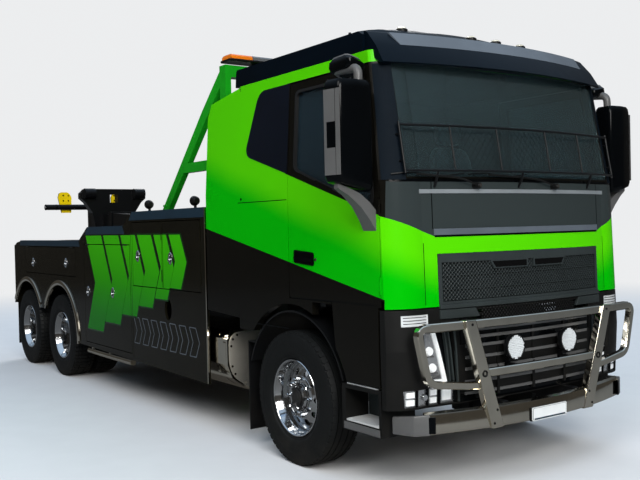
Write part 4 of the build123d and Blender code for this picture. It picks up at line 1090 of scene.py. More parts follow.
class Repeater:
    """Geometry trees that repeat a small mesh, baked to plain meshes."""

    def __init__(self) -> None:
        """Builds each tree once."""
        self.trees = {
            Pattern.ROW: self._row(),
            Pattern.RING: self._ring(),
            Pattern.SHEET: self._sheet(),
            Pattern.FIXINGS: self._fixings(),
        }

    @staticmethod
    def _tree(pattern: Pattern, ins: dict[str, tuple[str, object]]) -> tuple[Wiring, bpy.types.NodeOutputs]:
        """Starts a tree with a mesh, the named inputs and a material.

        Args:
            pattern: The pattern that names the tree.
            ins: Socket types and first values by name.

        Returns:
            The tree's wiring, and what the tree is given.
        """
        tree = bpy.data.node_groups.new(pattern.value, "GeometryNodeTree")
        tree.interface.new_socket(name="Mesh", in_out="INPUT", socket_type="NodeSocketGeometry")
        for label, (kind, value) in ins.items():
            socket = tree.interface.new_socket(name=label, in_out="INPUT", socket_type=kind)
            socket.default_value = value
        tree.interface.new_socket(name="Finish", in_out="INPUT", socket_type="NodeSocketMaterial")
        tree.interface.new_socket(name="Mesh", in_out="OUTPUT", socket_type="NodeSocketGeometry")
        w = Wiring(tree)
        return w, w.node("NodeGroupInput").outputs

    @staticmethod
    def _points(w: Wiring, count: object, step: object = (0.0, 0.0, 0.0), start: object = None) -> bpy.types.NodeSocket:
        """Points at equal steps from a start, or all of them on it.

        Args:
            w: The wiring of the tree.
            count: How many points.
            step: The way from each to the next.
            start: Where the first one lies.

        Returns:
            The points.
        """
        line = w.node("GeometryNodeMeshLine", mode="OFFSET")
        for name, value in (("Count", count), ("Offset", step), ("Start Location", start)):
            w.feed(line.inputs[name], value)
        return line.outputs[0]

    @staticmethod
    def _end(
        w: Wiring,
        given: bpy.types.NodeOutputs,
        points: bpy.types.NodeSocket,
        shape: bpy.types.NodeSocket | None = None,
        turn: bpy.types.NodeSocket | None = None,
    ) -> bpy.types.NodeTree:
        """Puts a shape on points and ends the tree in Realize Instances and Set Material.

        Args:
            w: The tree's wiring.
            given: What the tree is given.
            points: Where the copies go.
            shape: What is copied, where it isn't the mesh that the tree is given.
            turn: How the copies are turned, if they are.

        Returns:
            The finished tree.
        """
        copies = w.node("GeometryNodeInstanceOnPoints")
        copied = given["Mesh"] if shape is None else shape
        for name, value in (("Points", points), ("Instance", copied), ("Rotation", turn)):
            w.feed(copies.inputs[name], value)
        real = w.node("GeometryNodeRealizeInstances")
        w.feed(real.inputs[0], copies.outputs[0])
        coat = w.node("GeometryNodeSetMaterial")
        w.feed(coat.inputs["Geometry"], real.outputs[0])
        w.feed(coat.inputs["Material"], given["Finish"])
        w.feed(w.node("NodeGroupOutput").inputs[0], coat.outputs[0])
        return w.tree

    def _row(self) -> bpy.types.NodeTree:
        """Copies at equal steps along a vector."""
        w, given = self._tree(Pattern.ROW, {"Count": (INTEGER, 2), "Step": (VECTOR, (0.1, 0.0, 0.0))})
        return self._end(w, given, self._points(w, given["Count"], given["Step"]))

    def _ring(self) -> bpy.types.NodeTree:
        """Copies turned about an axis through a centre, for a mesh drawn about that centre at the origin.

        Returns:
            The tree.
        """
        ins = {
            "Count": (INTEGER, 6),
            "Axis": (VECTOR, (0.0, 1.0, 0.0)),
            "Centre": (VECTOR, (0.0, 0.0, 0.0)),
            "Start": (FLOAT, 0.0),
        }
        w, given = self._tree(Pattern.RING, ins)
        step = w.math("DIVIDE", math.tau, given["Count"])
        turned = w.product(w.node("GeometryNodeInputIndex").outputs[0], step)
        turn = w.node("FunctionNodeAxisAngleToRotation")
        w.feed(turn.inputs["Axis"], given["Axis"])
        w.feed(turn.inputs["Angle"], w.math("ADD", turned, given["Start"]))
        return self._end(w, given, self._points(w, given["Count"], start=given["Centre"]), turn=turn.outputs[0])

    def _sheet(self) -> bpy.types.NodeTree:
        """Copies in rows across Y and up Z, every other row moved by half a step.

        Returns:
            The tree.
        """
        ins = {"Across": (INTEGER, 4), "Rows": (INTEGER, 4), "Step": (FLOAT, 0.03), "Rise": (FLOAT, 0.03)}
        w, given = self._tree(Pattern.SHEET, ins)
        line = self._points(w, w.product(given["Across"], given["Rows"]))
        index = w.node("GeometryNodeInputIndex").outputs[0]
        row = w.math("FLOOR", w.math("DIVIDE", index, given["Across"]))
        column = w.math("SUBTRACT", index, w.product(row, given["Across"]))
        half = w.product(w.math("MODULO", row, 2.0), 0.5)
        middle = w.product(w.math("SUBTRACT", given["Across"], 1.0), 0.5)
        place = w.node("ShaderNodeCombineXYZ")
        w.feed(place.inputs["Y"], w.product(w.math("SUBTRACT", w.math("ADD", column, half), middle), given["Step"]))
        w.feed(place.inputs["Z"], w.product(row, given["Rise"]))
        spread = w.node("GeometryNodeSetPosition")
        w.feed(spread.inputs["Geometry"], line)
        w.feed(spread.inputs["Position"], place.outputs[0])
        return self._end(w, given, spread.outputs[0])

    def _fixings(self) -> bpy.types.NodeTree:
        """A washer and a many-sided head on each point, facing the way that its "facing" attribute says.

        Returns:
            The tree.
        """
        ins = {"Radius": (FLOAT, 0.01), "Height": (FLOAT, 0.008), "Sides": (INTEGER, 6)}
        w, given = self._tree(Pattern.FIXINGS, ins)
        join = w.node("GeometryNodeJoinGeometry")
        for radius, height, sides in (
            (w.product(given["Radius"], 1.35), w.product(given["Height"], 0.5), 12),
            (given["Radius"], w.product(given["Height"], 2.0), given["Sides"]),
        ):
            head = w.node("GeometryNodeMeshCylinder")
            for name, value in (("Vertices", sides), ("Radius", radius), ("Depth", height)):
                w.feed(head.inputs[name], value)
            w.feed(join.inputs[0], head.outputs[0])
        facing = w.node("GeometryNodeInputNamedAttribute", data_type="FLOAT_VECTOR")
        w.feed(facing.inputs["Name"], "facing")
        turn = w.node("FunctionNodeAlignRotationToVector", axis="Z")
        w.feed(turn.inputs["Vector"], facing.outputs[0])
        return self._end(w, given, given["Mesh"], join.outputs[0], turn.outputs[0])

    def bake(
        self, pattern: Pattern, mesh: bpy.types.Mesh, finish: bpy.types.Material, **values: object
    ) -> bpy.types.Mesh:
        """Runs a tree on a mesh and returns the result as a plain mesh.

        Args:
            pattern: Which tree.
            mesh: What the tree repeats, or the points it works on.
            finish: The material that the tree sets.
            **values: Inputs by their names in lower case.

        Returns:
            A plain mesh with no modifier.
        """
        tree = self.trees[pattern]
        carrier = placed("carrier", mesh)
        modifier = carrier.modifiers.new("repeat", "NODES")
        modifier.node_group = tree
        names = {**values, "finish": finish}
        for item in tree.interface.items_tree:
            if item.item_type == "SOCKET" and item.in_out == "INPUT" and item.name.lower() in names:
                modifier[item.identifier] = names[item.name.lower()]
        bpy.context.view_layer.update()
        depsgraph = bpy.context.evaluated_depsgraph_get()
        result = bpy.data.meshes.new_from_object(carrier.evaluated_get(depsgraph), depsgraph=depsgraph)
        bpy.data.objects.remove(carrier)
        return result

    def fixings(
        self,
        spots: Sequence[tuple[Sequence[float], Sequence[float]]],
        finish: bpy.types.Material,
        radius: float,
        height: float,
        sides: int = 6,
    ) -> bpy.types.Mesh:
        """Heads of bolts, rivets or screws at points.

        Args:
            spots: Each point with the way that its head faces.
            finish: The heads' material.
            radius: A head's radius.
            height: How far a head stands out.
            sides: Sides of a head, or many for a round one.

        Returns:
            A plain mesh of all of them.
        """
        points = bpy.data.meshes.new("spots")
        points.from_pydata([Vector(p) for p, _ in spots], [], [])
        facing = points.attributes.new("facing", "FLOAT_VECTOR", "POINT")
        facing.data.foreach_set("vector", [c for _, way in spots for c in way])
        return self.bake(Pattern.FIXINGS, points, finish, radius=radius, height=height, sides=sides)


class Workshop:
    """Holds the finishes and turns moulds into finished pieces."""

    def __init__(self, finishes: dict[str, Finish]) -> None:
        """Builds the materials.

        Args:
            finishes: The finishes by slot or trade name.
        """
        groups = Groups()
        self.finish = {name: made.build(groups) for name, made in finishes.items()}
        self.repeat = Repeater()

    def __getitem__(self, name: str) -> bpy.types.Material:
        """The material of a finish."""
        return self.finish[name]

    def mould(self, name: str) -> Mould:
        """An empty mould that starts in a finish."""
        return Mould(self.finish, name)

    def piece(
        self,
        name: str,
        mould: Mould | bpy.types.Mesh,
        body: str,
        replaces: Sequence[str] = (),
        bevel: float = 0.0,
        smooth: float = 38.0,
    ) -> bpy.types.Object:
        """Finishes a piece and hangs it on its body.

        Args:
            name: The piece's name.
            mould: Its faces, or a plain mesh.
            body: The body it rides on.
            replaces: Nodes that it stands for.
            bevel: Width of the bevel on its edges, or 0 for none.
            smooth: The angle under which neighbouring faces shade as one, in degrees.

        Returns:
            The finished object.
        """
        mesh = mould.mesh(name) if isinstance(mould, Mould) else mould
        mesh.shade_smooth()
        mesh.set_sharp_from_angle(angle=math.radians(smooth))
        made = placed(name, mesh)
        if bevel:
            edge = made.modifiers.new("edges", "BEVEL")
            edge.width, edge.segments, edge.limit_method = bevel, 2, "ANGLE"
            edge.angle_limit = math.radians(40)
            edge.harden_normals = True
        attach(made, body)
        if replaces:
            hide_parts(*replaces)
        LOG.info("%s: %d faces on %s", name, len(mesh.polygons), body)
        return made


# ---- studio -----------------------------------------------------------------------------------------


@dataclass
class Studio:
    """The floor, the soft lights and the camera."""

    eye: Point3 = (8.548, -4.868, 1.851)
    azimuth: float = 54.607
    fall: float = 0.932
    roll: float = -1.295
    focal: float = 853.98
    frame_width: float = 640.0
    floor_half: float = 60.0
    aim: Point3 = (1.5, 0.0, 1.2)
    ground: Colour = (0.06, 0.056, 0.05)
    sky: Colour = (0.6, 0.78, 1.0)
    horizon: Point2 = (0.28, 0.95)
    lights: list[tuple[str, Point3, float, float, Colour]] = field(
        default_factory=lambda: [
            ("key", (10.0, -11.0, 12.0), 8.0, 1000.0, (1.0, 0.985, 0.96)),
            ("front", (16.0, -5.5, 8.0), 7.0, 1800.0, (1.0, 0.99, 0.97)),
            ("back", (-12.0, 9.0, 10.0), 9.0, 900.0, (1.0, 1.0, 1.0)),
        ]
    )

    def floor(self, shop: Workshop) -> None:
        """Lays a wide pale floor just under the tyres.

        Args:
            shop: The workshop with the finishes.
        """
        half = self.floor_half
        mesh = bpy.data.meshes.new("floor")
        mesh.from_pydata([(x, y, 0.0) for x, y in rectangle(-half, half, -half, half)], [], [(0, 1, 2, 3)])
        mesh.materials.append(shop["floor"])
        placed("floor", mesh)

    def camera(self) -> None:
        """Sets the camera, with its lens worked out for a frame 640 wide."""
        az, fall, roll = (math.radians(a) for a in (self.azimuth, self.fall, self.roll))
        ahead = Vector((-math.sin(az) * math.cos(fall), math.cos(az) * math.cos(fall), -math.sin(fall)))
        right = Vector((math.cos(az), math.sin(az), 0.0))
        up = right.cross(ahead)
        side = right * math.cos(roll) + up * math.sin(roll)
        top = up * math.cos(roll) - right * math.sin(roll)
        data = bpy.data.cameras.new("camera")
        data.sensor_width = 36.0
        data.lens = self.focal * data.sensor_width / self.frame_width
        data.clip_start, data.clip_end = 0.1, 300.0
        made = bpy.data.objects.new("camera", data)
        bpy.context.scene.collection.objects.link(made)
        place = Matrix((side, top, -ahead)).transposed().to_4x4()
        place.translation = Vector(self.eye)
        made.matrix_world = place
        bpy.context.scene.camera = made

    def light(self) -> None:
        """Hangs the area lights and sets the sky."""
        for name, spot, size, power, colour in self.lights:
            data = bpy.data.lights.new(name, "AREA")
            data.shape, data.size, data.energy, data.color = "DISK", size, power, colour
            lamp = bpy.data.objects.new(name, data)
            turn = (Vector(self.aim) - Vector(spot)).to_track_quat("-Z", "Y").to_matrix().to_4x4()
            lamp.matrix_world = Matrix.Translation(Vector(spot)) @ turn
            bpy.context.scene.collection.objects.link(lamp)
        world = bpy.data.worlds.new("sky")
        world.use_nodes = True
        w = Wiring(world.node_tree)
        height = w.split(w.node("ShaderNodeTexCoord").outputs["Generated"])[2]
        colour = w.mix(w.ramp(height, *self.horizon), self.ground, self.sky)
        back = world.node_tree.nodes["Background"]
        w.feed(back.inputs["Color"], colour)
        backdrop = w.node("ShaderNodeBackground")
        backdrop.inputs["Color"].default_value = (*BACKDROP, 1.0)
        seen = w.node("ShaderNodeLightPath").outputs["Is Camera Ray"]
        w.feed(world.node_tree.nodes["World Output"].inputs["Surface"], w.either(seen, back, backdrop))
        bpy.context.scene.world = world

    def build(self, shop: Workshop) -> None:
        """Sets up the whole studio.

        Args:
            shop: The workshop with the finishes.
        """
        self.floor(shop)
        self.camera()
        self.light()
        bpy.context.scene.view_settings.view_transform = "Standard"


# ---- finishes ---------------------------------------------------------------------------------------

FINISHES: dict[str, Finish] = {
    finish.name: finish
    for finish in (
        # the near-black is the paint's own; its brown tint is a painted reflection of a brown ground
        CabPaint(
            "cab_paint", (0.0042, 0.0038, 0.0028), rough=0.18, coat=0.03, specular=0.1, uneven=0.03, grain=0.008,
            fine=420.0, dust=0.02,
        ),
        Finish("roof_paint", (0.0006, 0.0028, 0.006), rough=0.34, specular=0.08, uneven=0.04, grain=0.008, fine=420.0),
        Finish(
            "black_plastic", (0.0058, 0.0058, 0.0055), rough=0.42, specular=0.16, grain=0.12, fine=1500.0, uneven=0.08,
            dust=0.03,
        ),
        Finish(
            "charcoal_plastic", (0.024, 0.03, 0.03), rough=0.4, specular=0.2, grain=0.14, fine=1500.0, uneven=0.06,
            dust=0.03,
        ),
        Finish("grey_plastic", (0.088, 0.087, 0.085), rough=0.36, specular=0.35, grain=0.08, fine=1300.0, uneven=0.05),
        Finish("gloss_plastic", (0.0012, 0.0016, 0.002), rough=0.14, specular=0.1, uneven=0.03),
        Finish("pillar_black", (0.0012, 0.0042, 0.008), rough=0.55, specular=0.05, uneven=0.04),
        # matt near-black used as painted shade behind the grille and in its slots
        Finish("void_black", (0.0012, 0.0012, 0.0012), rough=0.8, specular=0.08, uneven=0.05),
        Finish(
            "black_steel", (0.0042, 0.0045, 0.005), rough=0.3, specular=0.2, uneven=0.05, grain=0.05, fine=260.0,
            share=0.6, dust=0.04,
        ),
        # black paint whose brown tint is a painted reflection of a brown ground
        Finish(
            "body_paint", (0.0062, 0.0055, 0.0032), rough=0.16, specular=0.12, uneven=0.03, grain=0.006, fine=380.0,
            dust=0.02,
        ),
        # slate blue: on the body's folded top edges a painted reflection of the sky on black paint, on the number plate
        # a printed stripe
        Finish("edge_paint", (0.01, 0.026, 0.042), rough=0.3, specular=0.3, uneven=0.03),
        Finish(
            "frame_grey", (0.05, 0.052, 0.056), rough=0.55, uneven=0.12, grain=0.25, fine=500.0, coarse=40.0, dust=0.6,
            dust_top=1.5,
        ),
        Finish(
            "engine_iron", (0.11, 0.115, 0.12), rough=0.6, metal=0.3, uneven=0.15, grain=0.5, fine=420.0, dust=0.5,
            dust_top=1.6,
        ),
        Finish(
            "polished_metal", (0.62, 0.58, 0.49), rough=0.1, metal=1.0, uneven=0.05, grain=0.012, fine=60.0, coarse=9.0,
            share=0.7, dust=0.04,
        ),
        Finish(
            "brushed_metal", (0.3, 0.28, 0.24), rough=0.42, metal=0.6, uneven=0.12, drawn=(1.0, 12.0, 40.0), grain=0.03,
            fine=200.0, dust=0.08,
        ),
        Finish(
            "strip_metal", (0.34, 0.37, 0.39), rough=0.3, metal=0.5, uneven=0.05, drawn=(40.0, 1.0, 40.0), grain=0.02,
            fine=300.0,
        ),
        Finish(
            "chrome", (0.56, 0.57, 0.58), rough=0.08, metal=1.0, uneven=0.05, grain=0.01, fine=90.0, dust=0.08,
            dust_top=0.9,
        ),
        Finish(
            "dark_cast", (0.008, 0.0085, 0.009), rough=0.45, metal=0.2, uneven=0.15, grain=0.25, fine=300.0, dust=0.12,
            dust_top=1.0,
        ),
        Finish(
            "tyre", (0.0052, 0.0058, 0.0058), rough=0.6, specular=0.2, uneven=0.12, grain=0.28, fine=700.0, coarse=30.0,
            share=0.45, dust=0.08, dust_top=0.4,
        ),
        Glass("lamp_lens", (0.97, 0.98, 0.98), rough=0.02, through=0.95),
        Glass("glass", (0.42, 0.64, 0.68), rough=0.005, through=0.97, specular=0.35),
        Glass("side_glass", (0.06, 0.12, 0.16), rough=0.005, through=0.85, specular=0.35),
        Finish("dark_glass", (0.002, 0.004, 0.009), rough=0.04, specular=0.35, uneven=0.01),
        Finish("mirror_glass", (0.75, 0.82, 0.92), rough=0.02, metal=1.0, uneven=0.01),
        Finish("lamp_bowl", (0.62, 0.63, 0.64), rough=0.16, metal=0.9, uneven=0.08),
        Finish("lamp_light", (0.86, 0.87, 0.86), rough=0.25, coat=0.5, glow=0.12, uneven=0.1),
        Finish("cream_lens", srgb(224, 220, 200), rough=0.18, coat=0.6, uneven=0.05, grain=0.2, fine=300.0),
        Finish("clear_lens", (0.6, 0.62, 0.62), rough=0.12, coat=0.6, uneven=0.08, grain=0.25, fine=260.0),
        Finish("amber_lens", srgb(232, 120, 12), rough=0.16, coat=0.7, grain=0.3, fine=240.0),
        Finish("smoked_lens", (0.12, 0.125, 0.13), rough=0.14, coat=0.6, uneven=0.04, grain=0.2, fine=240.0),
        Finish("red_lens", srgb(190, 18, 14), rough=0.16, coat=0.7, grain=0.3, fine=240.0),
        Finish(
            "seat_fabric", (0.045, 0.047, 0.052), rough=0.86, sheen=0.35, grain=0.9, fine=1600.0, coarse=240.0,
            uneven=0.08,
        ),
        Finish(
            "rubber", (0.007, 0.007, 0.0072), rough=0.66, specular=0.3, grain=0.2, fine=800.0, dust=0.12, dust_top=0.8
        ),
        Chequered("chequer_plate", (0.72, 0.72, 0.7), rough=0.34, metal=0.3, uneven=0.1, dust=0.06),
        Chequered("chequer_black", (0.02, 0.02, 0.021), rough=0.4, uneven=0.1, dust=0.3, dust_top=3.0),
        FadedFilm("film", (0.04, 0.42, 0.001), rough=0.2, specular=0.15, uneven=0.03),
        Finish("film_edge", (0.002, 0.035, 0.004), rough=0.2, specular=0.35, uneven=0.03),
        Finish("grey_film", (0.085, 0.1, 0.118), rough=0.3, specular=0.4, uneven=0.04),
        Finish("rack_green", (0.008, 0.3, 0.01), rough=0.25, specular=0.2, uneven=0.05),
        Finish("work_yellow", (0.93, 0.66, 0.0), rough=0.34, specular=0.3, uneven=0.1, grain=0.1, fine=240.0),
        Finish("plate_white", srgb(226, 228, 226), rough=0.3, coat=0.6, uneven=0.04, grain=0.1, fine=700.0),
        Finish(
            "wire_rope", (0.3, 0.3, 0.29), rough=0.4, metal=1.0, uneven=0.2, drawn=(30.0, 30.0, 30.0), grain=0.6,
            fine=700.0,
        ),
        Floor(
            "floor", (0.76, 0.76, 0.76), rough=0.85, specular=0.2, uneven=0.03, grain=0.06, fine=300.0, coarse=14.0,
            mottle=0.012,
        ),
    )
}

NODE_FINISHES: dict[str, tuple[str, ...]] = {
    "cab_paint": ("cab_shell", "front_panel", "side_extenders", "door_right", "door_left"),
    "roof_paint": ("roof_cap",),
    "black_plastic": ("bumper", "mirrors_right", "mirrors_left", "cab_steps", "dashboard"),
    "charcoal_plastic": ("grille",),
    "black_steel": (
        "screen_guard", "underlift_arm", "stinger", "crossbar", "boom_base", "boom_outer", "boom_inner",
        "lift_cylinders", "mudguards",
    ),
    "body_paint": ("locker_bodies", "tail_panel") + tuple(f"lid_{k}_{s.word}" for k in "abcd" for s in Side),
    "frame_grey": ("chassis_frame", "front_axle", "drive_axles", "knuckle_right", "knuckle_left", "tie_rod"),
    "engine_iron": ("engine",),
    "polished_metal": ("bull_bar", "tanks", "body_trim"),
    "chrome": ("lift_rods",) + tuple(
        f"{a}_{w}_{s.word}" for a, w in (("front", "rim"), ("mid", "rims"), ("rear", "rims")) for s in Side
    ),
    "tyre": tuple(
        f"{a}_{w}_{s.word}" for a, w in (("front", "tyre"), ("mid", "tyres"), ("rear", "tyres")) for s in Side
    ),
    "lamp_lens": ("lamps",),
    "glass": ("windscreen",),
    "seat_fabric": ("seats",),
    "rack_green": ("light_rack",),
    "chequer_black": ("deck",),
}


def dress_nodes(shop: Workshop, nodes: dict[str, bpy.types.Object]) -> None:
    """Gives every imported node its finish.

    Args:
        shop: The workshop with the finishes.
        nodes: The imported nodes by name.
    """
    for finish, names in NODE_FINISHES.items():
        for name in names:
            mesh = nodes[name].data
            mesh.materials.clear()
            mesh.materials.append(shop[finish])
    missing = set(nodes) - {n for names in NODE_FINISHES.values() for n in names}
    if missing:
        LOG.warning("nodes without a finish: %s", sorted(missing))


# ---- wheels -----------------------------------------------------------------------------------------


class TreadKind(Enum):
    """Tread patterns: grooved ribs that steer, and blocks that drive."""

    STEER = "ribs"
    DRIVE = "blocks"


@dataclass
class Tyre:
    """A tyre as a turned carcass with tread blocks round it."""

    x: float
    y: float
    outward: int
    kind: TreadKind
    outer_r: float = WHEEL_Z
    bead_r: float = 0.2995
    half_width: float = 0.1465
    groove: float = 0.012
    sides: int = 88
    blocks: int = 58

    def profile(self) -> list[Point2]:
        """The carcass's closed section, from bead to bead, as pairs of place across and radius.

        Returns:
            The section's points.
        """
        top, w = self.outer_r - 0.0006, self.half_width
        base = top - (self.groove if self.kind is TreadKind.DRIVE else 0.0)
        half = [
            (0.108, self.bead_r), (0.119, self.bead_r + 0.004), (0.127, 0.313), (0.129, 0.325), (0.136, 0.331),
            (w - 0.004, 0.352),
        ]
        half += [
            (w, 0.385), (w, 0.415), (w - 0.0015, 0.43), (w - 0.001, 0.434), (w - 0.0015, 0.438), (w - 0.004, 0.456),
            (w - 0.008, 0.476),
        ]
        half += [(w - 0.009, 0.482), (w - 0.016, 0.499), (w - 0.02, 0.501), (w - 0.026, base - 0.008)]
        if self.kind is TreadKind.STEER:
            for groove_y in (0.082, 0.03):
                half += [
                    (groove_y + 0.006, top - 0.001), (groove_y + 0.004, top - self.groove),
                    (groove_y - 0.004, top - self.groove), (groove_y - 0.006, top - 0.0008),
                ]
        else:
            half += [(0.09, base - 0.001), (0.04, base)]
        return half + [(-a, r) for a, r in reversed(half)]

    def block(self, mould: Mould, low: float, high: float, lean: float, drop: float) -> Mould:
        """One tread block about the axis, drawn at the top of the wheel.

        Args:
            mould: An empty mould.
            low: The block's inner edge across the tread.
            high: Its outer edge.
            lean: How far its outer edge is moved round the wheel.
            drop: How much lower its outer edge lies.

        Returns:
            A mould holding the block.
        """
        half = math.pi * self.outer_r / self.blocks * 0.72
        foot, top = self.outer_r - self.groove - 0.004, self.outer_r - 0.0006
        ring = lambda z_low, z_high, grow: [
            (-half - grow, low, z_low),
            (half + grow, low, z_low),
            (half + grow + lean, high, z_high),
            (-half - grow + lean, high, z_high),
        ]
        return mould.skin([ring(foot, foot - drop, 0.002), ring(top, top - drop, 0.0)])

    def build(self, shop: Workshop) -> bpy.types.Mesh:
        """Makes the tyre's mesh in place.

        Args:
            shop: The workshop with the finishes.

        Returns:
            The tyre's mesh.
        """
        mould = shop.mould("tyre")
        mould.lathe(self.profile(), (self.x, self.y, WHEEL_Z), (0, self.outward, 0), self.sides)
        rows = [(0.094, 0.131, 0.0, 0.009), (-0.094, -0.131, 0.0, 0.009)]
        if self.kind is TreadKind.DRIVE:
            rows += [(0.048, 0.085, 0.008, 0.001), (-0.048, -0.085, -0.008, 0.001), (-0.037, 0.037, 0.006, 0.0)]
        for low, high, lean, drop in rows:
            block = self.block(shop.mould("tyre"), low, high, lean, drop).mesh("tread_block")
            mould.merge(
                shop.repeat.bake(
                    Pattern.RING, block, shop["tyre"], count=self.blocks, axis=(0.0, 1.0, 0.0), centre=(
                        self.x, self.y, WHEEL_Z
                    )
                )
            )
        return mould.mesh("tyre")


@dataclass
class WheelFace:
    """Nuts and rim lip seen on the outer side of a wheel."""

    x: float
    side: Side
    face: float
    nut_r: float
    nut_count: int = 10
    nut_size: float = 0.0165

    def y(self, out: float) -> float:
        """Places a distance outwards from the middle of the outer wheel."""
        return self.side.value * (WHEEL_Y + out)

    def ring(self, shop: Workshop, mesh: bpy.types.Mesh, finish: str, count: int, start: float = 0.0) -> bpy.types.Mesh:
        """Repeats a mesh that is drawn about the axle at the origin.

        Args:
            shop: The workshop with the finishes.
            mesh: What is repeated.
            finish: Its finish.
            count: How many copies.
            start: The first copy's angle.

        Returns:
            The mesh of all copies.
        """
        return shop.repeat.bake(
            Pattern.RING, mesh, shop[finish], count=count, axis=(0.0, 1.0, 0.0), centre=(
                self.x, 0.0, WHEEL_Z
            ), start=start
        )

    def nut(self, shop: Workshop) -> bpy.types.Mesh:
        """A wheel nut on its washer, with the end of its stud.

        Args:
            shop: The workshop with the finishes.

        Returns:
            The nut's mesh.
        """
        mould = shop.mould("chrome")
        for near, far, size, tip, sides in (
            (0.0, 0.006, 1.35, 1.35, 14),
            (0.005, 0.03, 1.0, 1.0, 6),
            (0.03, 0.035, 0.86, 0.7, 6),
            (0.034, 0.044, 0.55, 0.55, 10),
        ):
            start, end = ((0, self.y(self.face) + self.side.value * out, self.nut_r) for out in (near, far))
            mould.rod(start, end, self.nut_size * size, sides, self.nut_size * tip)
        return mould.mesh("nut")

    def lip(self, mould: Mould) -> None:
        """The rolled lip of the rim over its flange.

        Args:
            mould: The mould to add to.
        """
        way = (0, self.side.value, 0)
        profile = [
            (0.1165, 0.2965), (0.119, 0.3), (0.1235, 0.301), (0.127, 0.298), (0.1275, 0.293), (0.124, 0.2885),
            (0.118, 0.2865), (0.1165, 0.29),
        ]
        mould.lathe(profile, (self.x, self.side.value * WHEEL_Y, WHEEL_Z), way, 96)


def bolt_circle(x: float, y: float, way: Point3, radius: float, count: int) -> list[tuple[Point3, Point3]]:
    """Points round an axle at the wheels' height, each with the way that it faces."""
    return [((x + a, y, WHEEL_Z + b), way) for a, b in oval(radius, radius, count)]


@dataclass
class FrontWheels:
    """The steered wheels: ribbed tyres, dished discs with hand holes, and dark hubs."""

    def build(self, shop: Workshop) -> None:
        """Builds both front wheels.

        Args:
            shop: The workshop with the finishes.
        """
        for side in Side:
            body = f"front_wheel_{side.word}"
            x = station(AXLE_X["front"])
            tyre = Tyre(x, side.value * WHEEL_Y, side.value, TreadKind.STEER).build(shop)
            shop.piece(f"front_tyre_dressed_{side.word}", tyre, body, replaces=[f"front_tyre_{side.word}"])
            face = WheelFace(x, side, 0.068, 0.141)
            bright = shop.mould("chrome")
            face.lip(bright)
            bright.merge(face.ring(shop, face.nut(shop), "chrome", face.nut_count, math.pi / face.nut_count))
            # raised ring that the nuts stand on
            bright.lathe(
                [(0.066, 0.112), (0.069, 0.113), (0.071, 0.118), (0.071, 0.162), (0.068, 0.167), (0.066, 0.168)],
                (x, side.value * WHEEL_Y, WHEEL_Z), (0, side.value, 0), 72,
            )
            stem = [
                (x + 0.03, side.value * (WHEEL_Y + out), WHEEL_Z + up) for out, up in ((0.03, 0.236), (0.07, 0.246))
            ]
            bright.rod(*stem, 0.004, 10)
            shop.piece(f"front_wheel_fittings_{side.word}", bright, body, smooth=35)
            self.hub(shop, side, x, body)

    def hub(self, shop: Workshop, side: Side, x: float, body: str) -> None:
        """Builds the dark hub with its flange, cap and drain bosses.

        Args:
            shop: The workshop with the finishes.
            side: The side of the vehicle.
            x: The axle's X.
            body: The body that the wheel rides on.
        """
        mould = shop.mould("dark_cast")
        centre, way = (x, side.value * WHEEL_Y, WHEEL_Z), (0, side.value, 0)
        mould.lathe(
            [
                (0.05, 0.0), (0.05, 0.108), (0.074, 0.11), (0.078, 0.106), (0.079, 0.09), (0.094, 0.078), (0.1, 0.076),
                (0.102, 0.0),
            ],
            centre, way, 64,
        )
        mould.lathe(
            [(0.1, 0.0), (0.1, 0.064), (0.108, 0.065), (0.112, 0.06), (0.114, 0.04), (0.117, 0.036), (0.1175, 0.0)],
            centre, way, 48,
        )
        spots = bolt_circle(x, side.value * (WHEEL_Y + 0.08), way, 0.094, 8)
        mould.merge(shop.repeat.fixings(spots, shop["dark_cast"], 0.007, 0.008))
        for k in range(5):
            turn = math.tau * k / 5
            mould.prism(
                [
                    (x + math.cos(turn + d) * r, side.value * (WHEEL_Y + 0.084), WHEEL_Z + math.sin(turn + d) * r)
                    for d, r in ((-0.16, 0.066), (-0.1, 0.1), (0.1, 0.1), (0.16, 0.066))
                ],
                (0, side.value * 0.012, 0),
            )
        shop.piece(f"front_hub_{side.word}", mould, body, smooth=35)


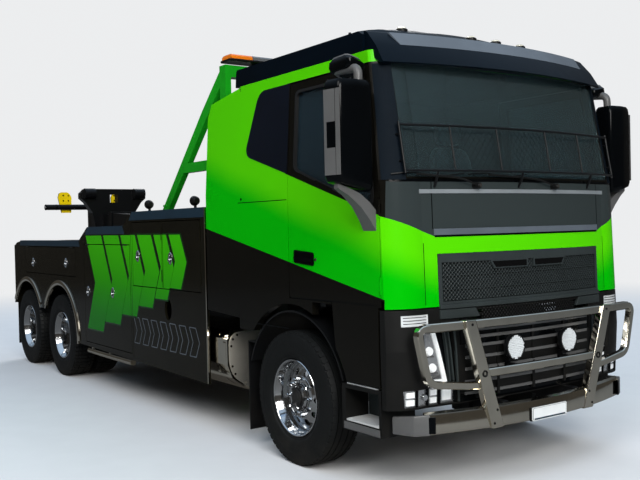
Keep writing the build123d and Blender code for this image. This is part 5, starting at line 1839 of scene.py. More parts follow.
@dataclass
class DriveWheels:
    """The twin wheels: block tyres, deep outer dishes, bright nuts and domed hub caps."""

    def build(self, shop: Workshop) -> None:
        """Builds the twins on both drive axles.

        Args:
            shop: The workshop with the finishes.
        """
        for name in ("mid", "rear"):
            for side in Side:
                x, body = station(AXLE_X[name]), f"{name}_wheels_{side.word}"
                mould = shop.mould("tyre")
                for inset, outward in ((0.0, 1), (TWIN_SPACING, -1)):
                    mould.merge(
                        Tyre(x, side.value * (WHEEL_Y - inset), side.value * outward, TreadKind.DRIVE).build(shop)
                    )
                shop.piece(
                    f"{name}_tyres_dressed_{side.word}", mould, body, replaces=[f"{name}_tyres_{side.word}"]
                )
                self.face(shop, name, side, x, body)

    def face(self, shop: Workshop, name: str, side: Side, x: float, body: str) -> None:
        """Builds the fittings in the outer dish.

        Args:
            shop: The workshop.
            name: The axle's name.
            side: The vehicle's side.
            x: The axle's station.
            body: The body that the wheels ride on.
        """
        centre, way = (x, side.value * WHEEL_Y, WHEEL_Z), (0, side.value, 0)
        bright = shop.mould("chrome")
        face = WheelFace(x, side, -0.151, 0.1675)
        face.lip(bright)
        bright.merge(face.ring(shop, face.nut(shop), "chrome", face.nut_count, math.pi / face.nut_count))
        cap = [
            (-0.1525, 0.0), (-0.1525, 0.143), (-0.149, 0.146), (-0.14, 0.14), (-0.09, 0.131), (-0.02, 0.127),
            (-0.008, 0.122), (-0.002, 0.11), (0.0, 0.09), (0.004, 0.086), (0.012, 0.04), (0.014, 0.0),
        ]
        bright.lathe(cap, centre, way, 72)
        shop.piece(f"{name}_wheel_fittings_{side.word}", bright, body, smooth=35)
        dark = shop.mould("dark_cast")
        spots = bolt_circle(x, side.value * (WHEEL_Y - 0.001), way, 0.103, 12)
        dark.merge(shop.repeat.fixings(spots, shop["dark_cast"], 0.0065, 0.007))
        hole_shade = shop.mould("gloss_plastic")
        hole_shade.lathe([(0.0, 0.0), (0.0, 0.026), (0.0035, 0.026), (0.0035, 0.0)], (0, 0, 0), way, 16)
        holes = hole_shade.mesh("hand_hole")
        # the hand holes of the dish lie on its sloping cone, as dark gloss discs: painted shade in place of openings
        tilt = Matrix.Rotation(side.value * math.radians(-48), 4, "X")
        holes.transform(Matrix.Translation((0, side.value * (WHEEL_Y - 0.131), 0.222)) @ tilt)
        dark.merge(face.ring(shop, holes, "gloss_plastic", 10))
        shop.piece(f"{name}_wheel_darks_{side.word}", dark, body, smooth=35)


# ---- cab form -----------------------------------------------------------------------------------------


@dataclass(frozen=True)
class CabForm:
    """The cab's outer form as plan sections, for pieces that lie on it.

    Each section holds a height, the bowed front's station in the middle and at the start of its corner, the station
    where the flat side ends, and the half width. Stations are measured from the front axle.
    """

    sections: tuple[tuple[float, float, float, float, float], ...] = (
        (0.6, 1.310, 1.232, 1.130, 1.238),
        (1.0, 1.330, 1.250, 1.150, 1.245),
        (2.15, 1.308, 1.215, 1.100, 1.240),
        (2.95, 1.165, 1.068, 0.960, 1.190),
        (3.05, 1.147, 1.050, 0.942, 1.182),
    )
    corner_y: float = 0.97
    corner_bulge: Point2 = (0.026, 0.03)

    def section(self, z: float) -> tuple[float, float, float, float]:
        """The plan section's four values at a height.

        Args:
            z: The height.

        Returns:
            The four values.
        """
        rows = self.sections
        for low, high in zip(rows, rows[1:]):
            if z <= high[0] or high is rows[-1]:
                t = max(0.0, (z - low[0]) / (high[0] - low[0]))
                return tuple(a + (b - a) * t for a, b in zip(low[1:], high[1:]))
        raise ValueError(z)

    def front(self, y: float, z: float, proud: float = 0.0) -> float:
        """The vehicle's X of the front skin.

        Args:
            y: Place across the vehicle.
            z: Height.
            proud: How far to stand out from the skin.

        Returns:
            The X of the skin, moved forward.
        """
        middle, front, corner, half = self.section(z)
        across = min(abs(y), half)
        if across <= self.corner_y:
            return station(bow(middle, front, self.corner_y, across)) + proud
        a, c = Vector((front, self.corner_y)), Vector((corner, half))
        out_x, out_y = self.corner_bulge
        b = Vector(((front + corner) / 2 + out_x, (self.corner_y + half) / 2 + out_y))
        d = 2 * (a.x * (b.y - c.y) + b.x * (c.y - a.y) + c.x * (a.y - b.y))
        squares = [p.length_squared for p in (a, b, c)]
        mid_x = (squares[0] * (b.y - c.y) + squares[1] * (c.y - a.y) + squares[2] * (a.y - b.y)) / d
        mid_y = (squares[0] * (c.x - b.x) + squares[1] * (a.x - c.x) + squares[2] * (b.x - a.x)) / d
        radius = math.hypot(a.x - mid_x, a.y - mid_y)
        return station(mid_x + math.sqrt(max(0.0, radius**2 - (across - mid_y) ** 2))) + proud

    def half_width(self, z: float) -> float:
        """Half the cab's width at a height."""
        return self.section(z)[3]

    def across(
        self,
        mould: Mould,
        half: float,
        low: Callable[[float], float],
        high: Callable[[float], float],
        inner: float,
        outer: float,
        steps: int = 28,
    ) -> Mould:
        """A strip that runs across the front between two heights.

        Args:
            mould: The mould to add to.
            half: Half the strip's length.
            low: Height of its foot by place across.
            high: Height of its top by place across.
            inner: How far its back stands out from the skin, below zero inside it.
            outer: How far its face stands out from the skin.
            steps: Sections along it.

        Returns:
            The mould.
        """
        rings = []
        for i in range(steps + 1):
            y = -half + 2 * half * i / steps
            z0, z1 = low(y), high(y)
            rings.append([(self.front(y, z, out), y, z) for out, z in rectangle(inner, outer, z0, z1)])
        return mould.skin(rings)

    def patch(
        self,
        mould: Mould,
        side: Side,
        corners: Sequence[Point2],
        inset: float,
        depth: float,
        across: int = 8,
        up: int = 4,
    ) -> Mould:
        """A slab that follows the front, over a four-sided outline given by its |Y| and Z.

        Args:
            mould: The mould to add to.
            side: The side of the vehicle.
            corners: Low inner, low outer, high outer and high inner corners.
            inset: How far its face lies behind the skin.
            depth: Its thickness.
            across: Faces across.
            up: Faces upwards.

        Returns:
            The mould.
        """
        grid = []
        for k in range(up + 1):
            row = []
            for i in range(across + 1):
                u, v = i / across, k / up
                low = [a + (b - a) * u for a, b in zip(corners[0], corners[1])]
                high = [a + (b - a) * u for a, b in zip(corners[3], corners[2])]
                y, z = (low[n] + (high[n] - low[n]) * v for n in (0, 1))
                row.append((self.front(y, z, -inset), side.value * y, z))
            grid.append(row)
        n = (across + 1) * (up + 1)
        points = [p for row in grid for p in row] + [(p[0] - depth, p[1], p[2]) for row in grid for p in row]
        at = lambda i, k: k * (across + 1) + i
        faces = [(at(i, k), at(i + 1, k), at(i + 1, k + 1), at(i, k + 1)) for k in range(up) for i in range(across)]
        faces += [tuple(n + j for j in reversed(f)) for f in faces]
        rim = [at(i, 0) for i in range(across + 1)] + [at(across, k) for k in range(1, up + 1)]
        rim += [at(i, up) for i in range(across - 1, -1, -1)] + [at(0, k) for k in range(up - 1, 0, -1)]
        faces += [(a, b, n + b, n + a) for a, b in zip(rim, rim[1:] + rim[:1])]
        mould.add(points, faces)
        return mould

    def patches(self, mould: Mould, side: Side, rows: Iterable[Patch]) -> None:
        """Adds a row of slabs that follow the front, each in its finish."""
        for finish, corners, inset, depth, across, up in rows:
            self.patch(mould.use(finish), side, corners, inset, depth, across, up)


CAB = CabForm()


def keep_where(mesh: bpy.types.Mesh, test: Callable[[Vector], bool]) -> bpy.types.Mesh:
    """Deletes the separate cells of a mesh whose middle fails a test.

    Args:
        mesh: A mesh of many separate cells.
        test: Takes a cell's middle and says whether it stays.

    Returns:
        The same mesh.
    """
    tidy = bmesh.new()
    tidy.from_mesh(mesh)
    seen: set[bmesh.types.BMVert] = set()
    doomed: list[bmesh.types.BMVert] = []
    for vert in tidy.verts:
        if vert in seen:
            continue
        island, queue = [vert], [vert]
        seen.add(vert)
        while queue:
            for edge in queue.pop().link_edges:
                for other in edge.verts:
                    if other not in seen:
                        seen.add(other)
                        island.append(other)
                        queue.append(other)
        middle = sum((v.co for v in island), Vector()) / len(island)
        if not test(middle):
            doomed += island
    bmesh.ops.delete(tidy, geom=doomed, context="VERTS")
    tidy.to_mesh(mesh)
    tidy.free()
    return mesh


def moved(mesh: bpy.types.Mesh, place: Callable[[Vector], Vector]) -> bpy.types.Mesh:
    """Moves every point of a mesh by a rule.

    Args:
        mesh: The mesh.
        place: Takes a point and returns where it goes.

    Returns:
        The same mesh.
    """
    for vertex in mesh.vertices:
        vertex.co = place(vertex.co)
    return mesh


# ---- front end ----------------------------------------------------------------------------------------


@dataclass
class Grille:
    """Slanted honeycomb in a dark frame, with two slots near its top and another mesh in the bumper."""

    half: float = 0.858
    low: float = 1.302
    high: float = 1.643
    step: float = 0.03
    rise: float = 0.0155

    def cell(self, shop: Workshop, finish: str, width: float, height: float) -> bpy.types.Mesh:
        """One open cell of the mesh, slanted, about the origin.

        Args:
            shop: The workshop with the finishes.
            finish: The cell's finish.
            width: Its width.
            height: Its height.

        Returns:
            The cell's mesh.
        """
        mould = shop.mould(finish)
        lean = height * 0.9
        outline = [(-0.5, -0.2), (-0.1, -0.5), (0.5, -0.3), (0.5, 0.2), (0.1, 0.5), (-0.5, 0.3)]
        rings = []
        for grow, x in ((1.08, 0.0), (0.78, 0.002), (0.74, -0.012), (1.08, -0.012)):
            rings.append([(x, a * width * grow + b * lean * grow * 0.5, b * height * grow) for a, b in outline])
        mould.skin(rings, loop=True)
        return mould.mesh("mesh_cell")

    def sheet(self, shop: Workshop, half: float, low: float, high: float, inset: float, finish: str) -> bpy.types.Mesh:
        """A honeycomb over an area of the front.

        Args:
            shop: The workshop.
            half: Half its width.
            low: Its foot.
            high: Its top.
            inset: How far it lies behind the skin.
            finish: Its finish.

        Returns:
            The mesh, bent to the front.
        """
        across, rows = int(2 * half / self.step), int((high - low) / self.rise)
        cell = self.cell(shop, finish, self.step * 0.92, self.rise * 1.15)
        mesh = shop.repeat.bake(
            Pattern.SHEET, cell, shop[finish], across=across, rows=rows, step=self.step, rise=self.rise
        )
        foot = low + (high - low - (rows - 1) * self.rise) / 2
        return moved(mesh, lambda p: Vector((CAB.front(p.y, foot + p.z) - inset + p.x, p.y, foot + p.z)))

    def build(self, shop: Workshop) -> None:
        """Builds the grille and what surrounds it.

        Args:
            shop: The workshop with the finishes.
        """
        mould = shop.mould("charcoal_plastic")
        mould.merge(self.sheet(shop, self.half - 0.03, self.low + 0.012, self.high - 0.055, 0.008, "charcoal_plastic"))
        # frame, with its broad top bar
        CAB.across(mould, self.half, level(self.high - 0.06), level(self.high), -0.027, 0.003)
        CAB.across(mould, self.half, level(self.low - 0.012), level(self.low + 0.014), -0.027, 0.003)
        for side in Side:
            CAB.patch(mould, side, rectangle(self.half - 0.03, self.half, self.low, self.high), -0.003, 0.03, 1, 8)
        for z in (1.395, 1.49):
            CAB.across(mould, self.half, level(z), level(z + 0.004), -0.025, -0.001)
        # a matt black sheet behind the honeycomb: painted shade for the grille's dark inside
        mould.use("void_black")
        CAB.across(mould, self.half, level(self.low), level(self.high), -0.029, -0.02)
        mould.use("charcoal_plastic")
        for side in Side:
            CAB.patch(mould, side, trapezium((0.03, 0.37), (0.03, 0.405), 1.525, 1.585), -0.004, 0.02, 8, 2)
        # the slots' dark insides are painted shade
        mould.use("void_black")
        for side in Side:
            CAB.patch(mould, side, trapezium((0.045, 0.355), (0.045, 0.385), 1.534, 1.576), -0.0052, 0.01, 8, 2)
        shop.piece("grille_honeycomb", mould, "vehicle", replaces=["grille"], smooth=30)
        mesh = shop.mould("black_plastic")
        mesh.merge(self.sheet(shop, 0.5, 1.165, 1.262, -0.001, "black_plastic"))
        shop.piece("bumper_mesh", mesh, "vehicle", smooth=30)


@dataclass
class FrontTrim:
    """Bright strips, seams, intake bars, wipers and the lip under the grille."""

    def build(self, shop: Workshop) -> None:
        """Builds the trim on the front.

        Args:
            shop: The workshop with the finishes.
        """
        bright = shop.mould("strip_metal")
        CAB.across(bright, 0.985, level(2.056), level(2.084), -0.004, 0.006)
        bright.use("grey_film")
        CAB.across(bright, 0.88, level(1.772), level(1.815), -0.004, 0.007)
        shop.piece("front_bright_strips", bright, "vehicle", bevel=0.002)
        dark = shop.mould("gloss_plastic")
        CAB.across(dark, 0.875, level(1.758), level(1.771), -0.004, 0.002)
        CAB.across(dark, 1.19, level(2.136), level(2.156), -0.01, 0.002, 44)
        for side in Side:
            for y0, y1, z0, z1 in ((0.884, 0.89, 1.815, 2.135), (0.964, 0.968, 1.3, 1.72)):
                CAB.patch(dark, side, rectangle(y0, y1, z0, z1), -0.0012, 0.004, 1, 8)
        shop.piece("front_seams", dark, "vehicle")
        lip = shop.mould("charcoal_plastic")
        CAB.across(lip, 0.86, level(1.268), level(1.296), -0.02, 0.016)
        for side in Side:
            CAB.patch(lip, side, trapezium((0.52, 0.86), (0.56, 0.86), 1.2, 1.262), -0.012, 0.03, 6, 2)
            CAB.patch(lip, side, trapezium((0.7, 0.712), (0.743, 0.755), 0.62, 1.13), -0.01, 0.02, 1, 6)
        shop.piece("grille_lip", lip, "vehicle", bevel=0.003)
        bars = shop.mould("grey_plastic")
        for z in (0.66, 0.74, 0.83, 0.91, 0.99, 1.05, 1.1):
            CAB.across(bars, 0.655, level(z), level(z + 0.02), -0.002, 0.012, 20)
        bars.use("gloss_plastic")
        CAB.across(bars, 0.69, level(0.615), level(1.15), -0.01, 0.001, 20)
        bars.use("black_plastic")
        for y in (-0.36, 0.36, 0.0):
            bars.box((CAB.front(y, 0.9, -0.01), CAB.front(y, 0.9, 0.009)), (y - 0.012, y + 0.012), (0.64, 1.13))
        shop.piece("intake_bars", bars, "vehicle")
        self.wipers(shop)

    def wipers(self, shop: Workshop) -> None:
        """Builds two parked wipers on their spindles.

        Args:
            shop: The workshop with the finishes.
        """
        arms = shop.mould("black_plastic")
        for start, end in ((0.28, -0.42), (-0.52, -1.02)):
            foot = Vector((CAB.front(start, 2.11, 0.03), start, 2.11))
            tip = Vector((CAB.front(end, 2.165, 0.028), end, 2.185))
            arms.use("black_plastic")
            arms.tube(rounded([foot, foot.lerp(tip, 0.3) + Vector((0.012, 0, 0.03)), tip], 0.1), 0.007, 8)
            arms.rod(foot - Vector((0.05, 0, 0)), foot + Vector((0.02, 0, 0)), 0.028, 20, 0.02)
            blade = [
                Vector((CAB.front(y, 2.2, 0.016), y, 2.188 + 0.01 * math.sin(i)))
                for i, y in enumerate((end - 0.16 + 0.08 * k for k in range(8)))
            ]
            arms.tube(blade, 0.0055, 6)
            arms.use("chrome")
            arms.rod(foot + Vector((0.018, 0, 0)), foot + Vector((0.028, 0, 0)), 0.012, 14)
        shop.piece("wipers", arms, "vehicle", smooth=40)


@dataclass
class Lamps:
    """Every lamp of the vehicle: head, fog, corner, driving, roof, work and tail lamps."""

    light_bar_x: float = FRONT_AXLE_X - 1.455

    def build(self, shop: Workshop) -> None:
        """Builds all lamps as one group of pieces.

        Args:
            shop: The workshop with the finishes.
        """
        self.front(shop)
        self.driving(shop)
        self.beacons(shop)
        self.tail(shop)

    def front(self, shop: Workshop) -> None:
        """The head, fog and corner lamps in the bumper.

        Args:
            shop: The workshop with the finishes.
        """
        mould = shop.mould("gloss_plastic")
        for side in Side:
            self.head(mould, side)
            self.fog(mould, side)
            self.corner(mould, side)
        shop.piece("front_lamps", mould, "vehicle", replaces=["lamps"], smooth=30)

    def head(self, mould: Mould, side: Side) -> None:
        """One head lamp: its back, two ribs, a bright bowl on the outer side, light strips, ledges and two bulbs.

        Args:
            mould: The mould to add to.
            side: The side of the vehicle.
        """
        rows = [("gloss_plastic", trapezium((0.7155, 0.9595), (0.7605, 0.9995), 0.7605, 1.1195), 0.03, 0.015, 8, 4)]
        for y in (0.735, 0.765):
            rib = trapezium((y, y + 0.012), (y + 0.048, y + 0.06), 0.768, 1.112)
            rows.append(("charcoal_plastic", rib, 0.008, 0.022, 1, 6))
        rows += [
            ("lamp_bowl", trapezium((0.822, 0.952), (0.915, 0.99), 0.77, 1.112), 0.016, 0.014, 8, 4),
            ("lamp_light", trapezium((0.798, 0.828), (0.897, 0.925), 0.766, 1.114), 0.006, 0.02, 2, 8),
            ("lamp_light", trapezium((0.805, 0.954), (0.812, 0.956), 0.766, 0.788), 0.006, 0.02, 6, 1),
        ]
        for z in (0.885, 1.0):
            y = 0.845 + (z - 0.77) * 0.25
            ledge = trapezium((y, y + 0.09), (y + 0.005, y + 0.1), z - 0.055, z - 0.045)
            rows.append(("grey_plastic", ledge, 0.008, 0.02, 3, 1))
        CAB.patches(mould, side, rows)
        mould.use("lamp_light")
        for y, z in ((0.912, 0.87), (0.94, 0.985)):
            self.bulb(mould, side, (y, z), 0.018, 0.014, 0.034, 0.026)

    def fog(self, mould: Mould, side: Side) -> None:
        """One fog lamp: its bowl, the walls in it, its lights and a small round lamp.

        Args:
            mould: The mould to add to.
            side: The side of the vehicle.
        """
        rows = [("lamp_bowl", trapezium((0.7205, 1.1395), (0.7205, 1.1495), 0.6185, 0.7345), 0.022, 0.014, 14, 3)]
        for y in (0.7225, 0.852, 0.947, 1.04):
            rows.append(("gloss_plastic", rectangle(y, y + 0.012, 0.62, 0.733), 0.006, 0.016, 1, 2))
        for y0, y1 in ((0.88, 0.93), (1.064, 1.122)):
            for z in (0.632, 0.684):
                rows.append(("lamp_light", rectangle(y0, y1, z, z + 0.038), 0.012, 0.012, 4, 2))
        rows.append(("lamp_light", rectangle(0.76, 0.83, 0.64, 0.715), 0.014, 0.01, 3, 1))
        CAB.patches(mould, side, rows)
        mould.use("lamp_bowl")
        self.bulb(mould, side, (0.978, 0.676), 0.012, 0.01, 0.02)

    def corner(self, mould: Mould, side: Side) -> None:
        """One corner lamp with three bright bars on its lens.

        Args:
            mould: The mould to add to.
            side: The side of the vehicle.
        """
        rows = [("clear_lens", rectangle(0.9505, 1.1595, 1.1655, 1.2395), 0.004, 0.02, 10, 3)]
        for z in (1.182, 1.202, 1.222):
            rows.append(("lamp_bowl", rectangle(0.965, 1.145, z, z + 0.006), 0.002, 0.006, 10, 1))
        CAB.patches(mould, side, rows)

    @staticmethod
    def bulb(
        mould: Mould, side: Side, place: Point2, inset: float, length: float, radius: float, tip: float | None = None
    ) -> None:
        """A short round lamp that faces forward.

        Args:
            mould: The mould to add to.
            side: The side of the vehicle.
            place: Its |Y| and Z.
            inset: How far its back lies behind the skin.
            length: Its length.
            radius: Its radius.
            tip: The radius of its face, where it differs.
        """
        y, z = place
        x = CAB.front(y, z, -inset)
        mould.rod((x, side.value * y, z), (x + length, side.value * y, z), radius, 20, tip)

    def driving(self, shop: Workshop) -> None:
        """Two round driving lamps with many-celled faces.

        Args:
            shop: The workshop with the finishes.
        """
        back, y0, z0, radius = station(1.3523), 0.288, 0.97, 0.0918
        lens_r, sheet_middle = 0.0805, 0.078
        for side in Side:
            mould = shop.mould("black_steel")
            centre = (back, side.value * y0, z0)
            mould.lathe(
                [
                    (0.0, 0.0), (0.0, 0.05), (0.012, 0.066), (0.03, 0.082), (0.05, 0.0895), (0.062, radius),
                    (0.074, radius), (0.0775, 0.0895), (0.0775, 0.086), (0.07, 0.085), (0.07, 0.0),
                ],
                centre, (1, 0, 0), 48,
            )
            mould.use("grey_plastic").rod((back + 0.066, centre[1], z0), (back + 0.0718, centre[1], z0), 0.0855, 40)
            cell = shop.mould("clear_lens")
            ring = lambda r, x: [(x, y, z) for y, z in oval(r, r, 6, 0.5)]
            cell.skin([ring(0.0076, 0.0), ring(0.0068, 0.0045), ring(0.003, 0.006)])
            cells = shop.repeat.bake(
                Pattern.SHEET, cell.mesh("lens_cell"), shop["clear_lens"], across=14, rows=14, step=0.0138, rise=0.012
            )
            keep_where(cells, lambda p: math.hypot(p.y, p.z - sheet_middle) < lens_r)
            moved(cells, lambda p: Vector((back + 0.0702 + p.x, centre[1] + p.y, z0 + p.z - sheet_middle)))
            mould.use("clear_lens").merge(cells)
            mould.use("black_steel")
            mould.box((back - 0.004, back + 0.03), (centre[1] - 0.03, centre[1] + 0.03), (z0 - 0.105, z0 - 0.08))
            shop.piece(f"driving_lamp_{side.word}", mould, "vehicle", smooth=35)

    def beacons(self, shop: Workshop) -> None:
        """The light bar on the rack and the four work lamps on the body.

        Args:
            shop: The workshop with the finishes.
        """
        mould = shop.mould("black_plastic")
        x = self.light_bar_x
        foot = lambda half, z: [(a, b, z) for a, b in rectangle(x - half, x + half, -0.94, 0.94)]
        mould.skin([foot(0.09, 3.3955), foot(0.1, 3.402), foot(0.1, 3.414), foot(0.094, 3.418)])
        for y in (-0.6, 0.6):
            mould.box((x - 0.045, x + 0.045), (y - 0.04, y + 0.04), (3.36, 3.3965))
        for i in range(8):
            y0, y1 = -0.93 + i * 0.2325, -0.93 + (i + 1) * 0.2325 - 0.006
            mould.use("smoked_lens" if i % 4 else "amber_lens")
            ring = lambda half, z, end: [(a, b, z) for a, b in rectangle(x - half, x + half, y0 + end, y1 - end)]
            mould.skin(
                [
                    ring(0.092, 3.418, 0.0), ring(0.09, 3.444, 0.001), ring(0.078, 3.458, 0.006),
                    ring(0.05, 3.4645, 0.012),
                ]
            )
        shop.piece("light_bar", mould, "vehicle", smooth=30)
        work = shop.mould("black_plastic")
        for back in (-2.88, -1.83):
            lamp = (station(back) + 0.005, -1.1, 2.12)
            work.use("black_plastic")
            work.rod((station(back), -1.1, 2.045), (station(back), -1.1, 2.076), 0.014, 14)
            work.lathe(
                [
                    (-0.03, 0.0), (-0.03, 0.026), (-0.016, 0.04), (0.012, 0.048), (0.028, 0.048), (0.03, 0.045),
                    (0.024, 0.042), (0.024, 0.0),
                ],
                lamp, (-1, 0, 0), 32,
            )
            work.use("clear_lens")
            work.rod((lamp[0] - 0.024, -1.1, 2.12), (lamp[0] - 0.027, -1.1, 2.12), 0.041, 28, 0.038)
        work.mirrored()
        shop.piece("work_lamps", work, "vehicle", smooth=35)

    def tail(self, shop: Workshop) -> None:
        """Round tail lamps in rubber squares.

        Args:
            shop: The workshop with the finishes.
        """
        face = station(-7.37)
        mould = shop.mould("rubber")
        z = 1.01
        for y, lens in ((0.7, "red_lens"), (0.86, "red_lens"), (1.02, "amber_lens"), (1.15, "cream_lens")):
            mould.use("rubber")
            square = lambda depth, h: [(face - depth, a, b) for a, b in rectangle(y - h, y + h, z - h, z + h)]
            mould.skin([square(0.0, 0.055), square(0.01, 0.055), square(0.014, 0.05)])
            mould.use(lens)
            mould.lathe(
                [(-0.012, 0.0), (-0.012, 0.044), (-0.0145, 0.043), (-0.016, 0.03), (-0.0155, 0.0)], (face, y, z),
                (1, 0, 0), 28,
            )
        mould.mirrored()
        shop.piece("tail_lamps", mould, "vehicle", smooth=35)


# ---- bull bar, mirrors and steps ------------------------------------------------------------------------


def bowed(middle: float, end: float, half: float, z: float, steps: int = 32) -> list[Vector]:
    """Points bowed forward across the front, with stations from the front axle."""
    across = [-half + 2 * half * i / steps for i in range(steps + 1)]
    return [Vector((station(bow(middle, end, half, y)), y, z)) for y in across]


@dataclass
class BullBar:
    """Polished bull bar: rails, loops, folded uprights, a channel along its foot, end blocks and a blank plate."""

    rail_z: float = 1.162
    middle_z: float = 0.822
    channel: Point2 = (0.44, 0.59)
    upright: tuple[Point2, ...] = ((0.688, 1.197), (0.786, 1.197), (0.545, 0.432), (0.43, 0.432))
    upright_x: Point2 = (1.374, 1.437)

    def build(self, shop: Workshop) -> None:
        """Builds the bar and what it carries.

        Args:
            shop: The workshop with the finishes.
        """
        mould = shop.mould("polished_metal")
        mould.bar(bowed(1.42, 1.352, 1.085, self.rail_z), (0, 0, 1), 0.052, 0.06)
        mould.bar(bowed(1.425, 1.408, 0.6, self.middle_z), (0, 0, 1), 0.046, 0.056)
        for side in Side:
            s = side.value
            loop = [
                (1.36, 0.98, 1.162), (1.352, 1.152, 1.16), (1.352, 1.062, 0.79), (1.38, 0.7, 0.742),
                (1.395, 0.575, 0.74),
            ]
            mould.bar(rounded([(station(x), s * y, z) for x, y, z in loop], 0.07), (1, 0, 0), 0.05, 0.052)
        shop.piece("bull_bar_rails", mould, "vehicle", replaces=["bull_bar"], smooth=25)
        plates = shop.mould("polished_metal")
        x0, x1 = (station(x) for x in self.upright_x)
        for side in Side:
            plates.prism([(x0, side.value * y, z) for y, z in self.upright], (x1 - x0, 0, 0))
        shop.piece("bull_bar_uprights", plates, "vehicle", bevel=0.009)
        self.foot(shop)
        self.fittings(shop)

    def foot(self, shop: Workshop) -> None:
        """The folded channel along the foot and the blocks that turn back round the corners.

        Args:
            shop: The workshop with the finishes.
        """
        low, high = self.channel
        mould = shop.mould("polished_metal")
        outer, inner = bowed(1.462, 1.3, 1.04, 0.0), bowed(1.425, 1.27, 1.01, 0.0)
        rings = []
        for a, b in zip(outer, inner):
            section = (
                (b, 0.0, low + 0.004), (a, -0.007, low), (a, 0.0, low + 0.007), (a, 0.0, high - 0.03),
                (a, -0.008, high - 0.012), (a, -0.03, high), (b, 0.0, high),
            )
            rings.append([(p.x + shift, p.y, z) for p, shift, z in section])
        mould.skin(rings)
        shop.piece("bull_bar_foot", mould, "vehicle", smooth=25)
        ends = shop.mould("grey_plastic")
        for side in Side:
            outline = softened(
                [(1.29, 1.026), (1.322, 1.016), (1.268, 1.118), (1.114, 1.177), (1.104, 1.153), (1.24, 1.09)], 0.008, 3
            )
            lift = lambda x: (1.322 - x) * 0.1
            ring = lambda z, grow: [
                (station(1.2 + (x - 1.2) * grow), side.value * (1.09 + (y - 1.09) * grow), z(x)) for x, y in outline
            ]
            ends.skin(
                [
                    ring(lambda x: low, 0.97), ring(lambda x: low + 0.008, 1.0),
                    ring(lambda x: high - 0.022 - lift(x), 1.0), ring(lambda x: high - 0.012 - lift(x), 0.95),
                ]
            )
        ends.use("gloss_plastic")
        for side in Side:
            slot = [(1.335, 0.985), (1.338, 0.998), (1.312, 1.03), (1.302, 1.02)]
            ends.prism([(station(x) + 0.002, side.value * y, low + 0.012) for x, y in slot], (0, 0, high - low - 0.04))
        shop.piece("bull_bar_ends", ends, "vehicle", smooth=30)

    def fittings(self, shop: Workshop) -> None:
        """Brackets, ring bolts, lamp stems and the number plate.

        Args:
            shop: The workshop with the finishes.
        """
        dark = shop.mould("black_steel")
        for side in Side:
            for x, y, z in (
                ((1.05, 1.4), (0.35, 0.41), (0.48, 0.6)),
                ((0.93, 1.11), (0.426, 0.445), (0.48, 0.76)),
                ((1.05, 1.11), (0.35, 0.445), (0.48, 0.6)),
                ((1.33, 1.352), (0.268, 0.308), (0.82, 0.985)),
                ((1.33, 1.42), (0.268, 0.308), (0.82, 0.852)),
            ):
                dark.box((station(x[0]), station(x[1])), side.span(*y), z)
        shop.piece("bull_bar_brackets", dark, "vehicle", bevel=0.003)
        rings = shop.mould("black_plastic")
        face = station(self.upright_x[1])
        spots = []
        for side in Side:
            rings.lathe(
                [(-0.01, 0.013), (0.004, 0.013), (0.006, 0.017), (0.004, 0.024), (-0.01, 0.024)],
                (face, side.value * 0.614, self.middle_z), (1, 0, 0), 32,
            )
            for y, z in ((0.725, 1.165), (0.5, 0.56), (0.53, 0.47)):
                spots.append(((face, side.value * y, z), (1, 0, 0)))
        rings.merge(shop.repeat.fixings(spots, shop["black_plastic"], radius=0.007, height=0.005))
        shop.piece("bull_bar_bolts", rings, "vehicle")
        plate = shop.mould("black_plastic")
        plate.box((station(1.45), station(1.468)), (-0.19, 0.19), (0.436, 0.534))
        rim = softened(rectangle(-0.185, 0.185, 0.438, 0.532), 0.012)
        for finish, grow, x in (
            ("plate_white", 1.0, 1.4735), ("black_plastic", 0.965, 1.4742), ("plate_white", 0.95, 1.475)
        ):
            plate.use(finish)
            shrunk = scaled(rim, (0.0, 0.485), grow, grow**3)
            plate.prism([(station(1.468), y, z) for y, z in shrunk], (x - 1.468, 0, 0))
        plate.use("edge_paint")
        plate.box((station(1.474), station(1.4756)), (-0.165, 0.165), (0.445, 0.455))
        shop.piece("number_plate_blank", plate, "vehicle", smooth=30)


